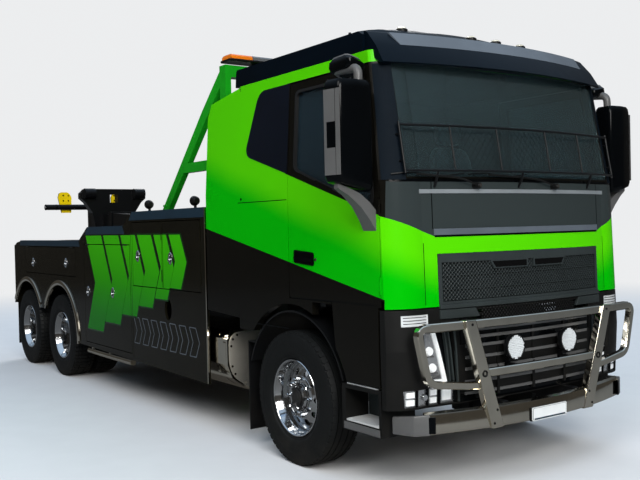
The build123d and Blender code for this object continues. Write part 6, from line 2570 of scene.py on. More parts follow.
@dataclass
class Mirrors:
    """Tall mirrors that ride on the doors, with their arms and the small kerb mirror over the door."""

    low: float = 2.072
    high: float = 2.808
    plan: tuple[Point2, ...] = (
        (1.104, 1.278), (1.123, 1.42), (1.095, 1.556), (0.965, 1.578), (0.942, 1.556), (0.942, 1.278)
    )

    def build(self, shop: Workshop) -> None:
        """Builds both sides' mirrors."""
        for side in Side:
            self.housing(shop, side)

    def ring(self, outline: Sequence[Point2], side: Side, z: float, grow: float, slope: float = 0.0) -> list[Point3]:
        """The housing's plan at a height, drawn in about its middle."""
        grown = scaled(outline, (1.03, 1.425), grow)
        return [(station(a), side.value * b, z + slope * (y - 1.278)) for (a, b), (_, y) in zip(grown, outline)]

    def housing(self, shop: Workshop, side: Side) -> None:
        """One mirror with its glass and arms.

        Args:
            shop: The workshop with the finishes.
            side: The side of the vehicle.
        """
        s, low, high = side.value, self.low, self.high
        outline = softened(self.plan, 0.03)
        mould = shop.mould("gloss_plastic")
        rows = (
            (low, 0.78, 0.2), (low + 0.008, 0.92, 0.2), (low + 0.04, 1.0, 0.2), (high - 0.06, 1.0, 0.0),
            (high - 0.02, 0.96, 0.0), (high, 0.84, 0.0),
        )
        mould.skin([self.ring(outline, side, *row) for row in rows])
        mould.use("grey_plastic")
        (x0, y0), (x1, y1) = (1.094, 1.556), (0.968, 1.578)
        strip = lambda z0, z1, a, b, proud: [
            (station(x0 + (x1 - x0) * t), s * (y0 + (y1 - y0) * t + proud), z) for t, z in rectangle(a, b, z0, z1)
        ]
        mould.prism(strip(low + 0.11, high - 0.065, -0.06, 1.04, 0.0), (0, s * -0.004, 0))
        mould.use("gloss_plastic")
        mould.prism(strip(2.36, 2.53, 0.25, 0.85, 0.0004), (0, s * -0.002, 0))
        mould.use("mirror_glass")
        for z0, z1 in ((2.335, 2.77), (2.15, 2.305)):
            pane = softened(rectangle(1.305, 1.535, z0, z1), 0.02)
            mould.prism([(station(0.943), s * y, z) for y, z in pane], (-0.0015, 0, 0))
        mould.use("charcoal_plastic")
        mould.box((station(0.938), station(0.944)), side.span(1.285, 1.55), (2.312, 2.324))
        mould.use("grey_plastic")
        # bracket under the housing, down to the foot of the pillar
        feet = (
            (1.241, 0.93, 1.07, 1.81, 1.95), (1.29, 0.95, 1.07, 1.88, 2.0), (1.37, 0.975, 1.07, 1.975, 2.06),
            (1.46, 0.99, 1.06, 2.05, 2.1), (1.535, 1.0, 1.05, 2.095, 2.125),
        )
        mould.skin([[(station(x), s * y, z) for x, z in rectangle(*section)] for y, *section in feet])
        arm = [(1.03, 1.34, 2.79), (1.03, 1.335, 2.9), (0.76, 1.325, 2.925), (0.74, 1.17, 2.885)]
        mould.tube(rounded([(station(x), s * y, z) for x, y, z in arm], 0.06), 0.03, 16, 0.034)
        # kerb mirror on the arm
        mould.use("gloss_plastic")
        pod = softened([(0.72, 1.225), (0.99, 1.225), (0.99, 1.39), (0.72, 1.37)], 0.05)
        shape = lambda grow, z: [
            (station(a), s * b, z + (y - 1.3) * 0.2) for (a, b), (_, y) in zip(scaled(pod, (0.855, 1.3), grow), pod)
        ]
        mould.skin([shape(g, z) for g, z in ((0.6, 2.885), (0.93, 2.9), (1.0, 2.925), (0.97, 2.96), (0.75, 2.985))])
        mould.use("grey_plastic")
        mould.skin([shape(g, z) for g, z in ((0.8, 2.981), (0.74, 2.9915), (0.5, 2.996))])
        shop.piece(
            f"mirror_{side.word}", mould, f"door_{side.word}", replaces=[f"mirrors_{side.word}"],
            smooth=40,
        )


@dataclass
class CabSteps:
    """Chequered treads, kick plates and their fixings in the step boxes."""

    def build(self, shop: Workshop) -> None:
        """Builds both sides' steps.

        Args:
            shop: The workshop with the finishes.
        """
        mould = shop.mould("chequer_plate")
        mould.box((station(0.684), station(1.041)), (1.014, 1.234), (0.4705, 0.484))
        mould.use("charcoal_plastic")
        mould.box((station(0.684), station(1.041)), (1.012, 1.03), (0.484, 0.698))
        mould.use("grey_plastic")
        mould.prism([(station(x), 1.2365, z) for x, z in rectangle(0.66, 1.06, 0.412, 0.462)], (0, 0.004, 0))
        mould.use("chequer_plate")
        mould.box((station(0.69), station(1.03)), (1.06, 1.23), (0.7305, 0.74))
        spots = [((station(x), y, 0.484), (0, 0, 1)) for x in (0.71, 1.015) for y in (1.04, 1.21)]
        mould.merge(shop.repeat.fixings(spots, shop["chequer_plate"], radius=0.006, height=0.004))
        mould.mirrored()
        shop.piece("step_treads", mould, "vehicle", bevel=0.002)


# ---- cab: sides, roof, screen guard and interior -----------------------------------------------------------


def across_side(side: Side, outline: Sequence[Point2], inner: float, outer: float) -> tuple[list[Point3], list[Point3]]:
    """Two rings on the cab's side that follow its lean.

    Args:
        side: The side of the vehicle.
        outline: Stations from the front axle, with heights.
        inner: How far the first ring stands out from the skin.
        outer: How far the second one does.

    Returns:
        The inner and the outer ring.
    """
    ring = lambda proud: [(station(x), side.value * (CAB.half_width(z) + proud), z) for x, z in outline]
    return ring(inner), ring(outer)


@dataclass
class CabSides:
    """Door glass, the dark quarter panel, handles, seams, two fixings and the skins of the pillars."""

    window: tuple[Point2, ...] = ((0.08, 2.29), (0.86, 2.02), (1.03, 1.99), (1.035, 2.11), (0.895, 2.88), (0.08, 2.88))
    quarter: tuple[Point2, ...] = ((-0.675, 2.452), (-0.468, 2.962), (-0.021, 2.962), (-0.021, 2.262))
    handle: tuple[Point2, ...] = ((0.07, 1.575), (0.335, 1.555), (0.335, 1.655), (0.07, 1.675))

    def build(self, shop: Workshop) -> None:
        """Builds both sides.

        Args:
            shop: The workshop with the finishes.
        """
        for side in Side:
            self.door(shop, side)
            self.rear(shop, side)

    def door(self, shop: Workshop, side: Side) -> None:
        """What the door carries.

        Args:
            shop: The workshop with the finishes.
            side: The side of the vehicle.
        """
        pane = shop.mould("side_glass")
        glass = softened(self.window, 0.05)
        grown = lambda share: scaled(glass, (0.53, 2.42), share)
        pane.skin(across_side(side, grown(1.012), -0.03, -0.024))
        shop.piece(f"door_glass_{side.word}", pane, f"door_{side.word}", smooth=20)
        trim = shop.mould("rubber")
        inner, outer = across_side(side, grown(0.985), -0.022, 0.0025), across_side(side, grown(1.03), -0.004, 0.0025)
        trim.skin([inner[0], inner[1], outer[1], outer[0]], loop=True)
        trim.use("gloss_plastic")
        body = softened(self.handle, 0.02)
        shrunk = scaled(body, (0.2025, 1.615), 0.8, 0.62)
        a, b = across_side(side, body, -0.002, 0.006), across_side(side, shrunk, 0.001, 0.006)
        trim.skin([a[0], a[1], b[1], b[0]])
        lever = softened([(0.095, 1.6), (0.325, 1.583), (0.325, 1.613), (0.095, 1.63)], 0.012)
        trim.skin(across_side(side, lever, 0.002, 0.026))
        lower = rectangle(0.02, 1.05, 1.303, 1.309)
        trim.skin(across_side(side, lower, -0.002, 0.0012))
        trim.use("chrome")
        lock = across_side(side, softened(rectangle(0.345, 0.369, 1.592, 1.616), 0.011), 0.0, 0.005)
        trim.skin(lock)
        shop.piece(f"door_trim_{side.word}", trim, f"door_{side.word}", smooth=35)

    def rear(self, shop: Workshop, side: Side) -> None:
        """What the sleeper side and the front pillar carry.

        Args:
            shop: The workshop with the finishes.
            side: The side of the vehicle.
        """
        panel = shop.mould("dark_glass")
        path = rounded(
            [(*p, 0.0) for p in (self.quarter[3], self.quarter[0], self.quarter[1], self.quarter[2])], 0.1, 8
        )
        outline = [(p.x, p.y) for p in path]
        panel.skin(across_side(side, outline, -0.003, 0.0025))
        shop.piece(f"quarter_panel_{side.word}", panel, "vehicle", smooth=20)
        seams = shop.mould("gloss_plastic")
        for z in (2.058, 1.06):
            seams.skin(across_side(side, rectangle(-0.775, -0.022, z, z + 0.006), -0.003, 0.001))
        upright = rectangle(-0.783, -0.777, 1.1, 3.03)
        seams.skin(across_side(side, upright, -0.004, 0.0012))
        places = ((-0.72, CAB.half_width(2.09) + 0.001, 2.09), (-0.4, 1.242, 1.03))
        spots = [((station(x), side.value * y, z), (0, side.value, 0)) for x, y, z in places]
        seams.merge(shop.repeat.fixings(spots, shop["gloss_plastic"], radius=0.009, height=0.003, sides=12))
        shop.piece(f"side_seams_{side.word}", seams, "vehicle")
        pillar = shop.mould("pillar_black")
        s = side.value
        rings = []
        for k in range(17):
            z = WAIST_Z + 0.8 * k / 16
            half = CAB.half_width(z)
            ys = [1.085 - (z - WAIST_Z) * 0.01, 1.14 - (z - WAIST_Z) * 0.03, half - 0.035, half - 0.012]
            rings.append([(CAB.front(y, z, 0.003), s * (y + (0.002 if y > 1.15 else 0.0)), z) for y in ys])
        back = [[(x - 0.012, y - s * 0.006, z) for x, y, z in ring] for ring in rings]
        pillar.skin([a + b[::-1] for a, b in zip(rings, back)])
        shop.piece(f"pillar_skin_{side.word}", pillar, "vehicle", smooth=60)


@dataclass
class Roof:
    """The domed roof cap, the closed sun visor with its grey band, the markers and the foot of an aerial."""

    low: tuple[float, float, float, float] = (2.95, 1.262, 1.084, 1.163)
    high: tuple[float, float, float, float] = (3.182, 1.066, 0.906, 1.152)
    marks: tuple[Point3, ...] = (
        (0.7, -0.66, 3.291), (0.7, 0.06, 3.302), (0.7, 0.34, 3.302), (0.7, 0.63, 3.295), (0.7, 1.02, 3.234)
    )

    def blade(self, share: float, up: float, proud: float = 0.0) -> Point3:
        """A point on the visor's face.

        Args:
            share: Place across, from -1 to 1.
            up: Place up the face, from 0 to 1.
            proud: How far to stand out from it.

        Returns:
            The point.
        """
        ends = []
        for z, middle, end, half in (self.low, self.high):
            y = share * half
            ends.append(Vector((station(bow(middle, end, half, y)), y, z)))
        spot = ends[0].lerp(ends[1], up) + Vector((0.75, 0.0, 0.66)) * proud
        return (spot.x, spot.y, spot.z)

    def shell(self, shop: Workshop) -> None:
        """The domed cap behind the visor, with its falling brow, a rounded tail and a shallow hatch.

        Args:
            shop: The workshop with the finishes.
        """
        foot, side, crown, half = 3.0503, 3.2, 3.33, 1.172
        drops = [(-0.87, 0.03), (-0.866, 0.012)]
        drops += [(x, 0.0) for x in (-0.85, -0.2, 0.5, 0.64, 0.7, 0.76, 0.812, 0.83, 0.88)]
        brow = lambda x: 3.4 - 0.5 * (x - 0.5) if x < 0.82 else 3.24 - (x - 0.82) * 7 / 6
        rings = []
        for x, drop in drops:
            top = lambda y: min(bow(crown, side, half, y), brow(x) if x > 0.5 else math.inf) - drop
            ring = [(half + 0.008, foot), (half + 0.004, (foot + side) / 2)]
            ring += [(half * (1 - k / 24), top(half * (1 - k / 24))) for k in range(49)]
            ring += [(-half - 0.004, (foot + side) / 2), (-half - 0.008, foot)]
            rings.append([(station(x), y, z) for y, z in ring])
        mould = shop.mould("roof_paint")
        mould.skin(rings)
        for y0, y1 in ((-0.9, -0.86), (0.86, 0.9)):
            z = bow(crown, side, half, 0.9)
            rail = lambda up: ((y0, -0.01), (y0 + 0.008, up), (y1 - 0.008, up), (y1, -0.01))
            ends = ((-0.8, 0.0), (-0.76, 0.022), (0.5, 0.022), (0.56, 0.0))
            mould.skin([[(station(x), y, z + lift) for y, lift in rail(up)] for x, up in ends])
        mould.prism(
            [(station(x), y, crown - 0.03) for x, y in softened(rectangle(-0.35, 0.2, -0.33, 0.33), 0.05)], (0, 0, 0.03)
        )
        shop.piece("roof_shell", mould, "vehicle", replaces=["roof_cap"], smooth=40)

    def build(self, shop: Workshop) -> None:
        """Builds the visor and what stands on the roof.

        Args:
            shop: The workshop with the finishes.
        """
        self.shell(shop)
        mould = shop.mould("roof_paint")
        rings = []
        for i in range(41):
            share = -1 + i / 20
            low, mid, high = (
                self.blade(share, up, 0.001 + bulge) for up, bulge in ((0.0, 0.0), (0.5, 0.012), (1.0, 0.0))
            )
            back = station(0.868)
            crest = (high[0] - 0.02, high[1], high[2] + 0.012)
            rear = ((back, high[1], 3.196), (back, high[1], 3.062))
            under = ((low[0] - 0.06, low[1], 2.966), (low[0] - 0.02, low[1], 2.944))
            rings.append([low, mid, high, crest, *rear, *under])
        mould.skin(rings)
        shop.piece("sun_visor_shell", mould, "vehicle", replaces=["roof_cap"], smooth=32)
        band = shop.mould("grey_film")
        shares, heights = [-1 + i / 16 for i in range(33)], (0.56, 0.68, 0.8, 0.9, 0.985)
        grid = [[self.blade(share * (0.8 + 0.07 * up), up, 0.0135) for up in heights] for share in shares]
        lowered = [[(x - 0.012, y, z - 0.01) for x, y, z in row] for row in grid]
        band.skin([a + b[::-1] for a, b in zip(grid, lowered)])
        shop.piece("visor_band", band, "vehicle", smooth=40)
        marks = shop.mould("black_plastic")
        for x, y, z in self.marks:
            marks.use("black_plastic")
            shape = lambda length, width, h: [(station(x) + a, y + b, z + h) for a, b in oval(length, width, 20)]
            marks.skin([shape(0.052, 0.048, -0.03), shape(0.05, 0.046, 0.002), shape(0.044, 0.04, 0.007)])
            marks.use("cream_lens")
            marks.skin([shape(0.038, 0.034, 0.005), shape(0.035, 0.032, 0.016), shape(0.022, 0.02, 0.022)])
        marks.use("rubber")
        marks.lathe(
            [(0.0, 0.0), (0.0, 0.045), (0.012, 0.04), (0.03, 0.014), (0.05, 0.01), (0.05, 0.0)],
            (station(0.45), -0.95, 3.24), (0, 0, 1), 24,
        )
        shop.piece("roof_markers", marks, "vehicle", smooth=40)


@dataclass
class ScreenGuard:
    """Wire mesh and posts between the rails in front of the windscreen."""

    low: tuple[float, float, float] = (2.21, 1.358, 1.225)
    high: tuple[float, float, float] = (2.52, 1.303, 1.168)
    half: float = 1.105
    bow_half: float = 1.11
    pitch: float = 0.05

    def at(self, y: float, up: float) -> Vector:
        """A point on the guard at a place across and up.

        Args:
            y: Place across the vehicle.
            up: Place up the guard, from 0 to 1.

        Returns:
            The point.
        """
        ends = []
        for z, middle, end in (self.low, self.high):
            ends.append(Vector((station(bow(middle, end, self.bow_half, y)), y, z)))
        return ends[0].lerp(ends[1], up)

    def build(self, shop: Workshop) -> None:
        """Builds the mesh with a row of slanted wires each way, and four posts.

        Args:
            shop: The workshop with the finishes.
        """
        mould = shop.mould("black_steel")
        height = self.high[0] - self.low[0]
        lean = height * 0.8
        count = int((2 * self.half - lean) / self.pitch)
        for way in (1, -1):
            wire = shop.mould("black_steel")
            wire.tube([Vector((0.0, way * lean * t, height * t)) for t in (0.0, 0.33, 0.67, 1.0)], 0.0009, 4)
            mesh = shop.repeat.bake(
                Pattern.ROW, wire.mesh("wire"), shop["black_steel"], count=count, step=(0.0, self.pitch, 0.0)
            )
            start = -self.half + (0.0 if way > 0 else lean)
            moved(
                mesh, lambda p,
                start=start: self.at(
                    max(-self.half, min(self.half, start + p.y)), p.z / height
                ) + Vector((p.x, 0.0, 0.0)),
            )
            mould.merge(mesh)
        for y in (-0.72, -0.31, 0.2, 0.62):
            mould.tube([self.at(y, t) for t in (0.0, 0.5, 1.0)], 0.007, 8)
        for y in (-0.86, -0.1, 0.75):
            mould.tube(
                rounded(
                    [
                        self.at(y, 0.0), self.at(y, 0.0) + Vector((-0.02, 0, -0.06)),
                        Vector((CAB.front(y, 2.1, 0.0), y, 2.1)),
                    ],
                    0.03,
                ),
                0.009, 10,
            )
        shop.piece("screen_guard_mesh", mould, "vehicle", smooth=50)


@dataclass
class Interior:
    """Padded seats on their bases, the bunk, and the trim of the dashboard."""

    seat_y: float = 0.56

    def pad(self, shop: Workshop, name: str, low: Point3, high: Point3, lean: float = 0.0) -> None:
        """One crowned cushion with a welt round its middle and two sewn channels.

        Args:
            shop: The workshop.
            name: The piece's name.
            low: Its lowest corner, with the station from the front axle.
            high: Its highest corner.
            lean: How far its top lies behind its foot.
        """
        middle = [(a + b) / 2 for a, b in zip(low, high)]
        half = [(b - a) / 2 for a, b in zip(low, high)]
        power = lambda value, e: math.copysign(abs(value) ** e, value)
        rings = []
        for k in range(1, 24):
            v = -math.pi / 2 + math.pi * k / 24
            ring = []
            for i in range(48):
                u = math.tau * i / 48
                c = power(math.cos(v), 0.45)
                y = power(math.sin(u), 0.4) * c
                channel = 1.0 - 0.06 * math.exp(-(((abs(y) - 0.42) / 0.05) ** 2))
                x = power(math.cos(u), 0.4) * c * channel
                z = power(math.sin(v), 0.55) * (channel if abs(v) > 0.9 else 1.0)
                welt = 1.012 if abs(v) < 0.07 else 1.0
                up = middle[2] + half[2] * z
                ring.append(
                    (station(middle[0] + half[0] * x * welt) - lean * (up - low[2]), middle[1] + half[1] * y * welt, up)
                )
            rings.append(ring)
        mould = shop.mould("seat_fabric")
        mould.skin(rings)
        made = shop.piece(name, mould, "vehicle", replaces=["seats"], smooth=60)

    def build(self, shop: Workshop) -> None:
        """Builds the seats, the bunk and the dashboard's trim.

        Args:
            shop: The workshop with the finishes.
        """
        for side in Side:
            y = side.value * self.seat_y
            self.pad(shop, f"seat_cushion_{side.word}", (-0.11, y - 0.255, 1.762), (0.435, y + 0.255, 1.9))
            self.pad(shop, f"seat_back_{side.word}", (-0.055, y - 0.235, 1.905), (0.055, y + 0.235, 2.53), 0.16)
            self.pad(shop, f"headrest_{side.word}", (-0.145, y - 0.14, 2.55), (-0.06, y + 0.14, 2.745), 0.05)
            base = shop.mould("charcoal_plastic")
            foot = softened(rectangle(-0.07, 0.36, y - 0.22, y + 0.22), 0.05)
            waist = ((1.0, 1.452), (0.9, 1.5), (0.75, 1.6), (0.85, 1.72), (1.0, 1.758))
            base.skin([[(station(a), b, z) for a, b in scaled(foot, (0.15, y), g)] for g, z in waist])
            shop.piece(f"seat_base_{side.word}", base, "vehicle", replaces=["seats"])
        self.pad(shop, "bunk_mattress", (-0.695, -1.07, 1.9), (-0.265, 1.07, 2.045), 0.0)
        bunk = shop.mould("charcoal_plastic")
        bunk.box((station(-0.695), station(-0.27)), (-1.075, 1.075), (1.452, 1.895))
        shop.piece("bunk_base", bunk, "vehicle", replaces=["seats"], bevel=0.01)
        trim = shop.mould("grey_plastic")
        for y, half in ((-0.45, 0.3), (0.56, 0.25)):
            trim.prism(
                [(station(x), y - half, z) for x, z in ((0.705, 1.99), (0.86, 2.092), (0.88, 2.09), (0.72, 1.98))],
                (0, half * 2, 0),
            )
        trim.use("dark_glass")
        trim.prism(
            [(station(x), 0.35, z) for x, z in ((0.70, 1.86), (0.79, 2.07), (0.8, 2.068), (0.71, 1.855))], (0, 0.42, 0)
        )
        shop.piece("dash_trim", trim, "vehicle", bevel=0.003)


# ---- locker body and recovery gear ---------------------------------------------------------------------------


@dataclass(frozen=True)
class Panel:
    """A flat area of the body's side: its body's name, its stations and its heights."""

    body: str
    rear: float
    front: float
    low: float
    high: float


@dataclass
class LockerDress:
    """What the locker body carries: film, latches, folded edges, a corner strip, rivets, reflectors and arch trims."""

    lids: dict[str, tuple[float, float, float, float]] = field(
        default_factory=lambda: {
            "a": (-2.267, -1.478, 1.27, 1.93),
            "b": (-3.012, -2.298, 1.27, 1.93),
            "c": (-4.472, -3.098, 0.538, 1.692),
            "d": (-6.852, -4.788, 1.298, 1.652),
        }
    )
    latches: dict[str, tuple[Point2, ...]] = field(
        default_factory=lambda: {
            "a": ((-2.1, 1.57),),
            "b": ((-2.88, 1.58),),
            "c": ((-3.59, 1.16), (-4.36, 1.14)),
            "d": ((-5.13, 1.46), (-6.475, 1.44)),
        }
    )
    film: float = 0.0012

    def fixed_panels(self) -> list[Panel]:
        """The areas of the side that stay shut.

        Returns:
            The panels.
        """
        rows = (
            (-3.088, -1.385, 0.5, 1.261), (-3.088, -3.021, 1.262, 1.93), (-2.289, -2.276, 1.262, 1.938),
            (-4.479, -3.092, 1.701, 1.8), (-4.78, -4.481, 0.53, 1.66),
        )
        return [Panel("vehicle", *row) for row in rows]

    def chevrons(self) -> list[tuple[str, list[Point2]]]:
        """Convex halves of a row of chevrons that shrinks forward, each with its finish, the borders first.

        Returns:
            The finishes and outlines.
        """
        shapes: list[tuple[str, list[Point2]]] = []
        x = -4.4
        for height, width, middle in (
            (0.55, 0.49, 1.25), (0.49, 0.44, 1.31), (0.43, 0.39, 1.37), (0.37, 0.34, 1.43), (0.32, 0.29, 1.48),
            (0.26, 0.24, 1.54),
        ):
            point = height * 0.5
            for finish, grow in (("film_edge", 0.016), ("film", 0.0)):
                for up in (-1, 1):
                    far = middle + up * (height + grow)
                    inner, outer = x + point - grow * 0.6, x + point + width + grow
                    shapes.append((finish, trapezium((inner, outer), (x - grow, x + width + grow), middle, far)))
            x += width + 0.065
        return shapes

    def hollow(self) -> list[list[Point2]]:
        """Thin outlines of a second, lower row of small chevrons.

        Returns:
            The outlines.
        """
        lines = []
        for k in range(7):
            x, low, high, width, point = -3.02 + k * 0.215, 0.66, 0.93, 0.13, 0.07
            middle = (low + high) / 2
            corners = [
                (x, low), (x + width, low), (x + width + point, middle), (x + width, high), (x, high),
                (x + point, middle),
            ]
            for a, b in zip(corners, corners[1:] + corners[:1]):
                run = Vector(b) - Vector(a)
                out = Vector((-run.y, run.x)).normalized() * 0.004
                lines.append(
                    [tuple(Vector(a) - out), tuple(Vector(b) - out), tuple(Vector(b) + out), tuple(Vector(a) + out)]
                )
        return lines

    def stick(self, mould: Mould, side: Side, outline: Sequence[Point2], inner: float, outer: float) -> None:
        """Lays a thin outline on the side of the body."""
        mould.skin([[(station(x), side.value * (HALF_W + out), z) for x, z in outline] for out in (inner, outer)])

    def build(self, shop: Workshop) -> None:
        """Dresses both sides and the tail.

        Args:
            shop: The workshop with the finishes.
        """
        for side in Side:
            panels = self.fixed_panels() + [
                Panel(f"lid_{k}_{side.word}", r, f, lo, hi) for k, (r, f, lo, hi) in self.lids.items()
            ]
            for body in dict.fromkeys(p.body for p in panels):
                self.films(shop, side, body, [p for p in panels if p.body == body])
            for key, spots in self.latches.items():
                self.latch(shop, side, key, spots)
        self.edges(shop)

    def films(self, shop: Workshop, side: Side, body: str, panels: Sequence[Panel]) -> None:
        """The coloured film on the panels of one body.

        Args:
            shop: The workshop.
            side: The side of the vehicle.
            body: The body that carries the panels.
            panels: Its panels.
        """
        mould = shop.mould("film")
        for panel in panels:
            low, high = (panel.rear, panel.low), (panel.front, panel.high)
            for finish, outline in self.chevrons():
                cut = clip_to_box(outline, low, high)
                if len(cut) > 2:
                    mould.use(finish)
                    self.stick(mould, side, cut, -0.001, self.film + (0.0006 if finish == "film" else 0.0))
            mould.use("grey_film")
            for outline in self.hollow():
                cut = clip_to_box(outline, low, high)
                if len(cut) > 2:
                    self.stick(mould, side, cut, -0.001, self.film)
        if mould.faces:
            place = "body" if body == "vehicle" else body.rsplit("_", 1)[0]
            shop.piece(f"{place}_film_{side.word}", mould, body, smooth=20)

    def latch(self, shop: Workshop, side: Side, key: str, spots: Sequence[Point2]) -> None:
        """The oval latches of one lid.

        Args:
            shop: The workshop with the finishes.
            side: The side of the vehicle.
            key: The lid's letter.
            spots: The latches' stations and heights.
        """
        s = side.value
        mould = shop.mould("chrome")
        for x, z in spots:
            ring = lambda half, height, out: [
                (station(x) + a, s * (HALF_W + out), z + b) for a, b in oval(half, height, 28)
            ]
            mould.use("chrome")
            rows = ((0.038, 0.062, -0.002), (0.038, 0.062, 0.005), (0.034, 0.058, 0.009), (0.026, 0.05, 0.009))
            mould.skin([ring(*row) for row in (*rows, (0.022, 0.045, 0.004))])
            mould.use("dark_cast")
            mould.skin([ring(0.022, 0.045, 0.002), ring(0.021, 0.044, 0.0045)])
            mould.use("chrome")
            mould.lathe(
                [(0.0, 0.0), (0.0, 0.017), (s * 0.012, 0.02), (s * 0.02, 0.017), (s * 0.024, 0.0)],
                (station(x), s * (HALF_W + 0.004), z - 0.014), (0, 1, 0), 24,
            )
            mould.lathe(
                [(0.0, 0.0), (0.0, 0.011), (s * 0.009, 0.01), (s * 0.012, 0.0)],
                (station(x), s * (HALF_W + 0.004), z + 0.026), (0, 1, 0), 20,
            )
        shop.piece(f"lid_{key}_latches_{side.word}", mould, f"lid_{key}_{side.word}", smooth=40)

    def edges(self, shop: Workshop) -> None:
        """Folded top edges, a corner strip, a seam, tail reflectors, rivets and the arch trims.

        Args:
            shop: The workshop with the finishes.
        """
        # the folded top edges are slate blue as a painted reflection of the sky
        mould = shop.mould("edge_paint")
        for front, rear, top, foot, lead, trail in (
            (-1.386, -3.02, 2.046, 1.957, 0.0, 0.07), (-3.285, -4.35, 1.901, 1.812, 0.05, 0.075),
            (-4.665, -7.07, 1.741, 1.669, 0.045, 0.0),
        ):
            section = (
                (top, HALF_W - 0.07), (top + 0.0025, HALF_W - 0.06), (top + 0.0015, HALF_W + 0.0005),
                (foot, HALF_W + 0.0045), (foot, HALF_W - 0.001), (top - 0.002, HALF_W - 0.001),
            )
            at = lambda x, lean: [(station(x + lean * (top - max(z, foot)) / (top - foot)), y, z) for z, y in section]
            mould.skin([at(front, lead), at(rear, -trail)])
        mould.use("polished_metal")
        mould.box((station(-1.384), station(-1.368)), (HALF_W - 0.012, HALF_W + 0.002), (0.444, 2.042))
        mould.use("body_paint")
        seam_x = station(-3.055)
        mould.box((seam_x - 0.004, seam_x + 0.004), (HALF_W - 0.002, HALF_W + 0.002), (0.5, 1.94))
        mould.use("red_lens")
        for z in (1.35, 1.45):
            mould.box((station(-7.3735), station(-7.369)), (1.14, 1.2), (z, z + 0.06))
        spots = [((station(-3.15 - 0.16 * k), HALF_W, 1.765), (0, 1, 0)) for k in range(9)]
        spots += [((station(-4.95 - 0.24 * k), HALF_W, 1.275), (0, 1, 0)) for k in range(8)]
        mould.use("body_paint")
        mould.merge(shop.repeat.fixings(spots, shop["body_paint"], radius=0.004, height=0.0025, sides=10))
        mould.mirrored()
        shop.piece("body_edges", mould, "vehicle", smooth=25)
        trims = shop.mould("polished_metal")
        for key, low in (("mid", 0.49), ("rear", 0.84)):
            x = station(AXLE_X[key])
            section = (
                (0.71, -0.002), (0.71, 0.008), (0.698, 0.02), (0.672, 0.024), (0.652, 0.02), (0.6435, 0.01),
                (0.6425, -0.012),
            )
            arcs = []
            for k in range(49):
                angle = math.radians(-9 + 198 * k / 48)
                arc = [(x + r * math.cos(angle), HALF_W + out, WHEEL_Z + r * math.sin(angle)) for r, out in section]
                floor = low if arc[0][0] > x else 0.84
                if min(p[2] for p in arc) > floor:
                    arcs.append(arc)
            trims.skin(arcs)
        trims.mirrored()
        shop.piece("arch_trims", trims, "vehicle", smooth=40)


@dataclass
class TankDress:
    """Rolled covers and straps on the fuel tanks, and caps on the air tanks."""

    section: tuple[Point2, ...] = (
        (0.62, 0.94), (1.13, 0.94), (1.195, 0.87), (1.195, 0.64), (1.15, 0.52), (0.96, 0.39), (0.7, 0.39), (0.62, 0.47)
    )

    def build(self, shop: Workshop) -> None:
        """Builds both tanks' dressing.

        Args:
            shop: The workshop with the finishes.
        """
        mould = shop.mould("brushed_metal")
        middle = (0.9, 0.67)
        soft = softened(self.section, 0.09, 6)
        ring = lambda x, grow: [(station(x), y, z) for y, z in scaled(soft, middle, grow)]
        mould.skin([ring(-1.1005, 0.95), ring(-1.094, 0.95), ring(-1.091, 0.93)])
        mould.use("polished_metal")
        for x in (-1.15, -1.3, -2.0, -2.3):
            band = [ring(x - 0.022, 1.0), ring(x - 0.022, 1.006), ring(x + 0.022, 1.006), ring(x + 0.022, 1.0)]
            mould.skin(band, loop=True)
        spots = [(place, (1, 0, 0)) for place in ring(-1.0915, 0.885)[::5]]
        mould.merge(shop.repeat.fixings(spots, shop["chrome"], radius=0.0085, height=0.005))
        mould.use("cream_lens")
        mould.lathe(
            [(-0.03, 0.0), (-0.03, 0.0955), (0.004, 0.0955), (0.012, 0.08), (0.02, 0.04), (0.022, 0.0)],
            (station(-0.965), 0.53, 0.4), (1, 0, 0), 36,
        )
        mould.mirrored()
        shop.piece("tank_covers", mould, "vehicle", smooth=35)


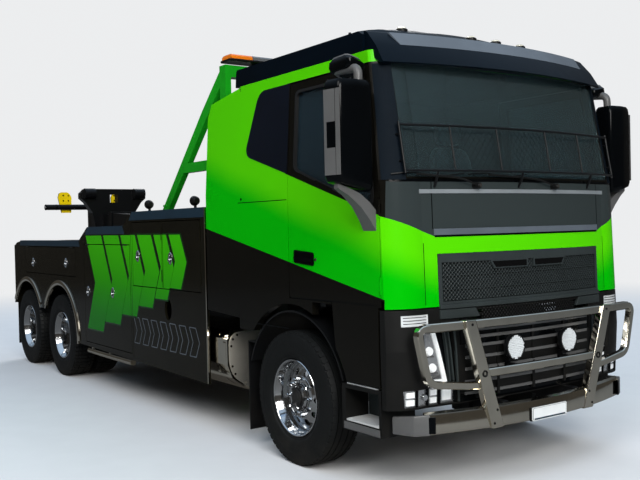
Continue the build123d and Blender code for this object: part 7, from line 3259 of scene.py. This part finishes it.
@dataclass
class ForkBar:
    """Yellow skins on the crossbar's fork plates, with collars and end bolts on the round bar."""

    bar: Point2 = (-7.482, 2.23)

    plate: tuple[Point2, ...] = (
        (0.33, 2.145), (0.48, 2.145), (0.53, 2.38), (0.515, 2.44), (0.48, 2.46), (0.38, 2.46), (0.345, 2.43),
        (0.32, 2.38),
    )

    def build(self, shop: Workshop) -> None:
        """Builds the yellow skins, bolts and collars over the bar's own solids.

        Args:
            shop: The workshop with the finishes.
        """
        mould = shop.mould("work_yellow")
        outline = softened(self.plate, 0.012, 3)
        bar_x, bar_z = station(self.bar[0]), self.bar[1]
        holes = [(y, z) for z in (2.33, 2.41) for y in (0.37, 0.45)]
        spots = []
        for s in (-1, 1):
            for x, depth in ((-7.5335, 0.002), (-7.5075, -0.002)):
                mould.use("work_yellow")
                grown = scaled(outline, (0.425, 2.3), 1.004, 1.003)
                mould.prism([(station(x), s * y, z) for y, z in grown], (depth * 0.5, 0, 0))
                # dark discs on the yellow faces stand for the plates' holes: painted shade
                mould.use("dark_cast")
                for y, z in holes:
                    mould.rod((station(x), s * y, z), (station(x) + depth * 0.62, s * y, z), 0.0125, 18)
            mould.use("gloss_plastic")
            for y in (0.56, 0.72):
                mould.rod((bar_x, s * y, bar_z), (bar_x, s * (y + 0.018), bar_z), 0.0435, 28)
            spots.append(((bar_x, s * 0.7402, bar_z), (0, s, 0)))
        mould.use("chrome")
        mould.merge(shop.repeat.fixings(spots, shop["chrome"], radius=0.014, height=0.004))
        shop.piece("fork_plates", mould, "crossbar", smooth=30)


@dataclass
class RearGear:
    """The rope on the winch drum, and the feet of the light rack with their bolts."""

    winch: Point2 = (-1.76, 1.48)
    drum_half: float = 0.09
    coil_r: float = 0.112
    rope_r: float = 0.008
    turns: int = 11
    turn_steps: int = 16

    def build(self, shop: Workshop) -> None:
        """Builds the rope and the feet.

        Args:
            shop: The workshop with the finishes.
        """
        x, z = station(self.winch[0]), self.winch[1]
        mould = shop.mould("wire_rope")
        steps, coil = self.turns * self.turn_steps, []
        for k in range(steps + 1):
            angle = math.tau * k / self.turn_steps
            y = -self.drum_half + 2 * self.drum_half * k / steps
            coil.append(Vector((x + self.coil_r * math.cos(angle), y, z + self.coil_r * math.sin(angle))))
        mould.tube(coil, self.rope_r, 6)
        shop.piece("winch_rope", mould, "vehicle", smooth=60)
        rack = shop.mould("rack_green")
        spots = []
        for side in Side:
            s = side.value
            spots += [((station(bolt_x), s * 0.9805, 2.1), (0, s, 0)) for bolt_x in (-2.78, -2.72, -1.47, -1.43)]
            for rear, front in ((-2.86, -2.66), (-1.53, -1.385)):
                rack.box((station(rear), station(front)), side.span(0.9, 1.0), (2.0462, 2.056))
        rack.merge(shop.repeat.fixings(spots, shop["rack_green"], radius=0.011, height=0.006))
        shop.piece("rack_feet", rack, "vehicle", bevel=0.002)


PARTS = [FrontWheels(), DriveWheels(), Grille(), FrontTrim(), Lamps(), BullBar(), Mirrors(), CabSteps()]
PARTS += [CabSides(), Roof(), ScreenGuard(), Interior(), LockerDress(), TankDress(), ForkBar(), RearGear()]


# ---- assembly -----------------------------------------------------------------------------------------


def main() -> None:
    """Builds the dressed vehicle in order."""
    logging.basicConfig(level=logging.INFO, format="%(name)s: %(message)s")
    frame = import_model()
    shop = Workshop(FINISHES)
    studio = Studio()
    studio.build(shop)
    dress_nodes(shop, frame["nodes"])
    for part in PARTS:
        part.build(shop)
        LOG.info("%s done", type(part).__name__)


if __name__ == "__main__":
    main()
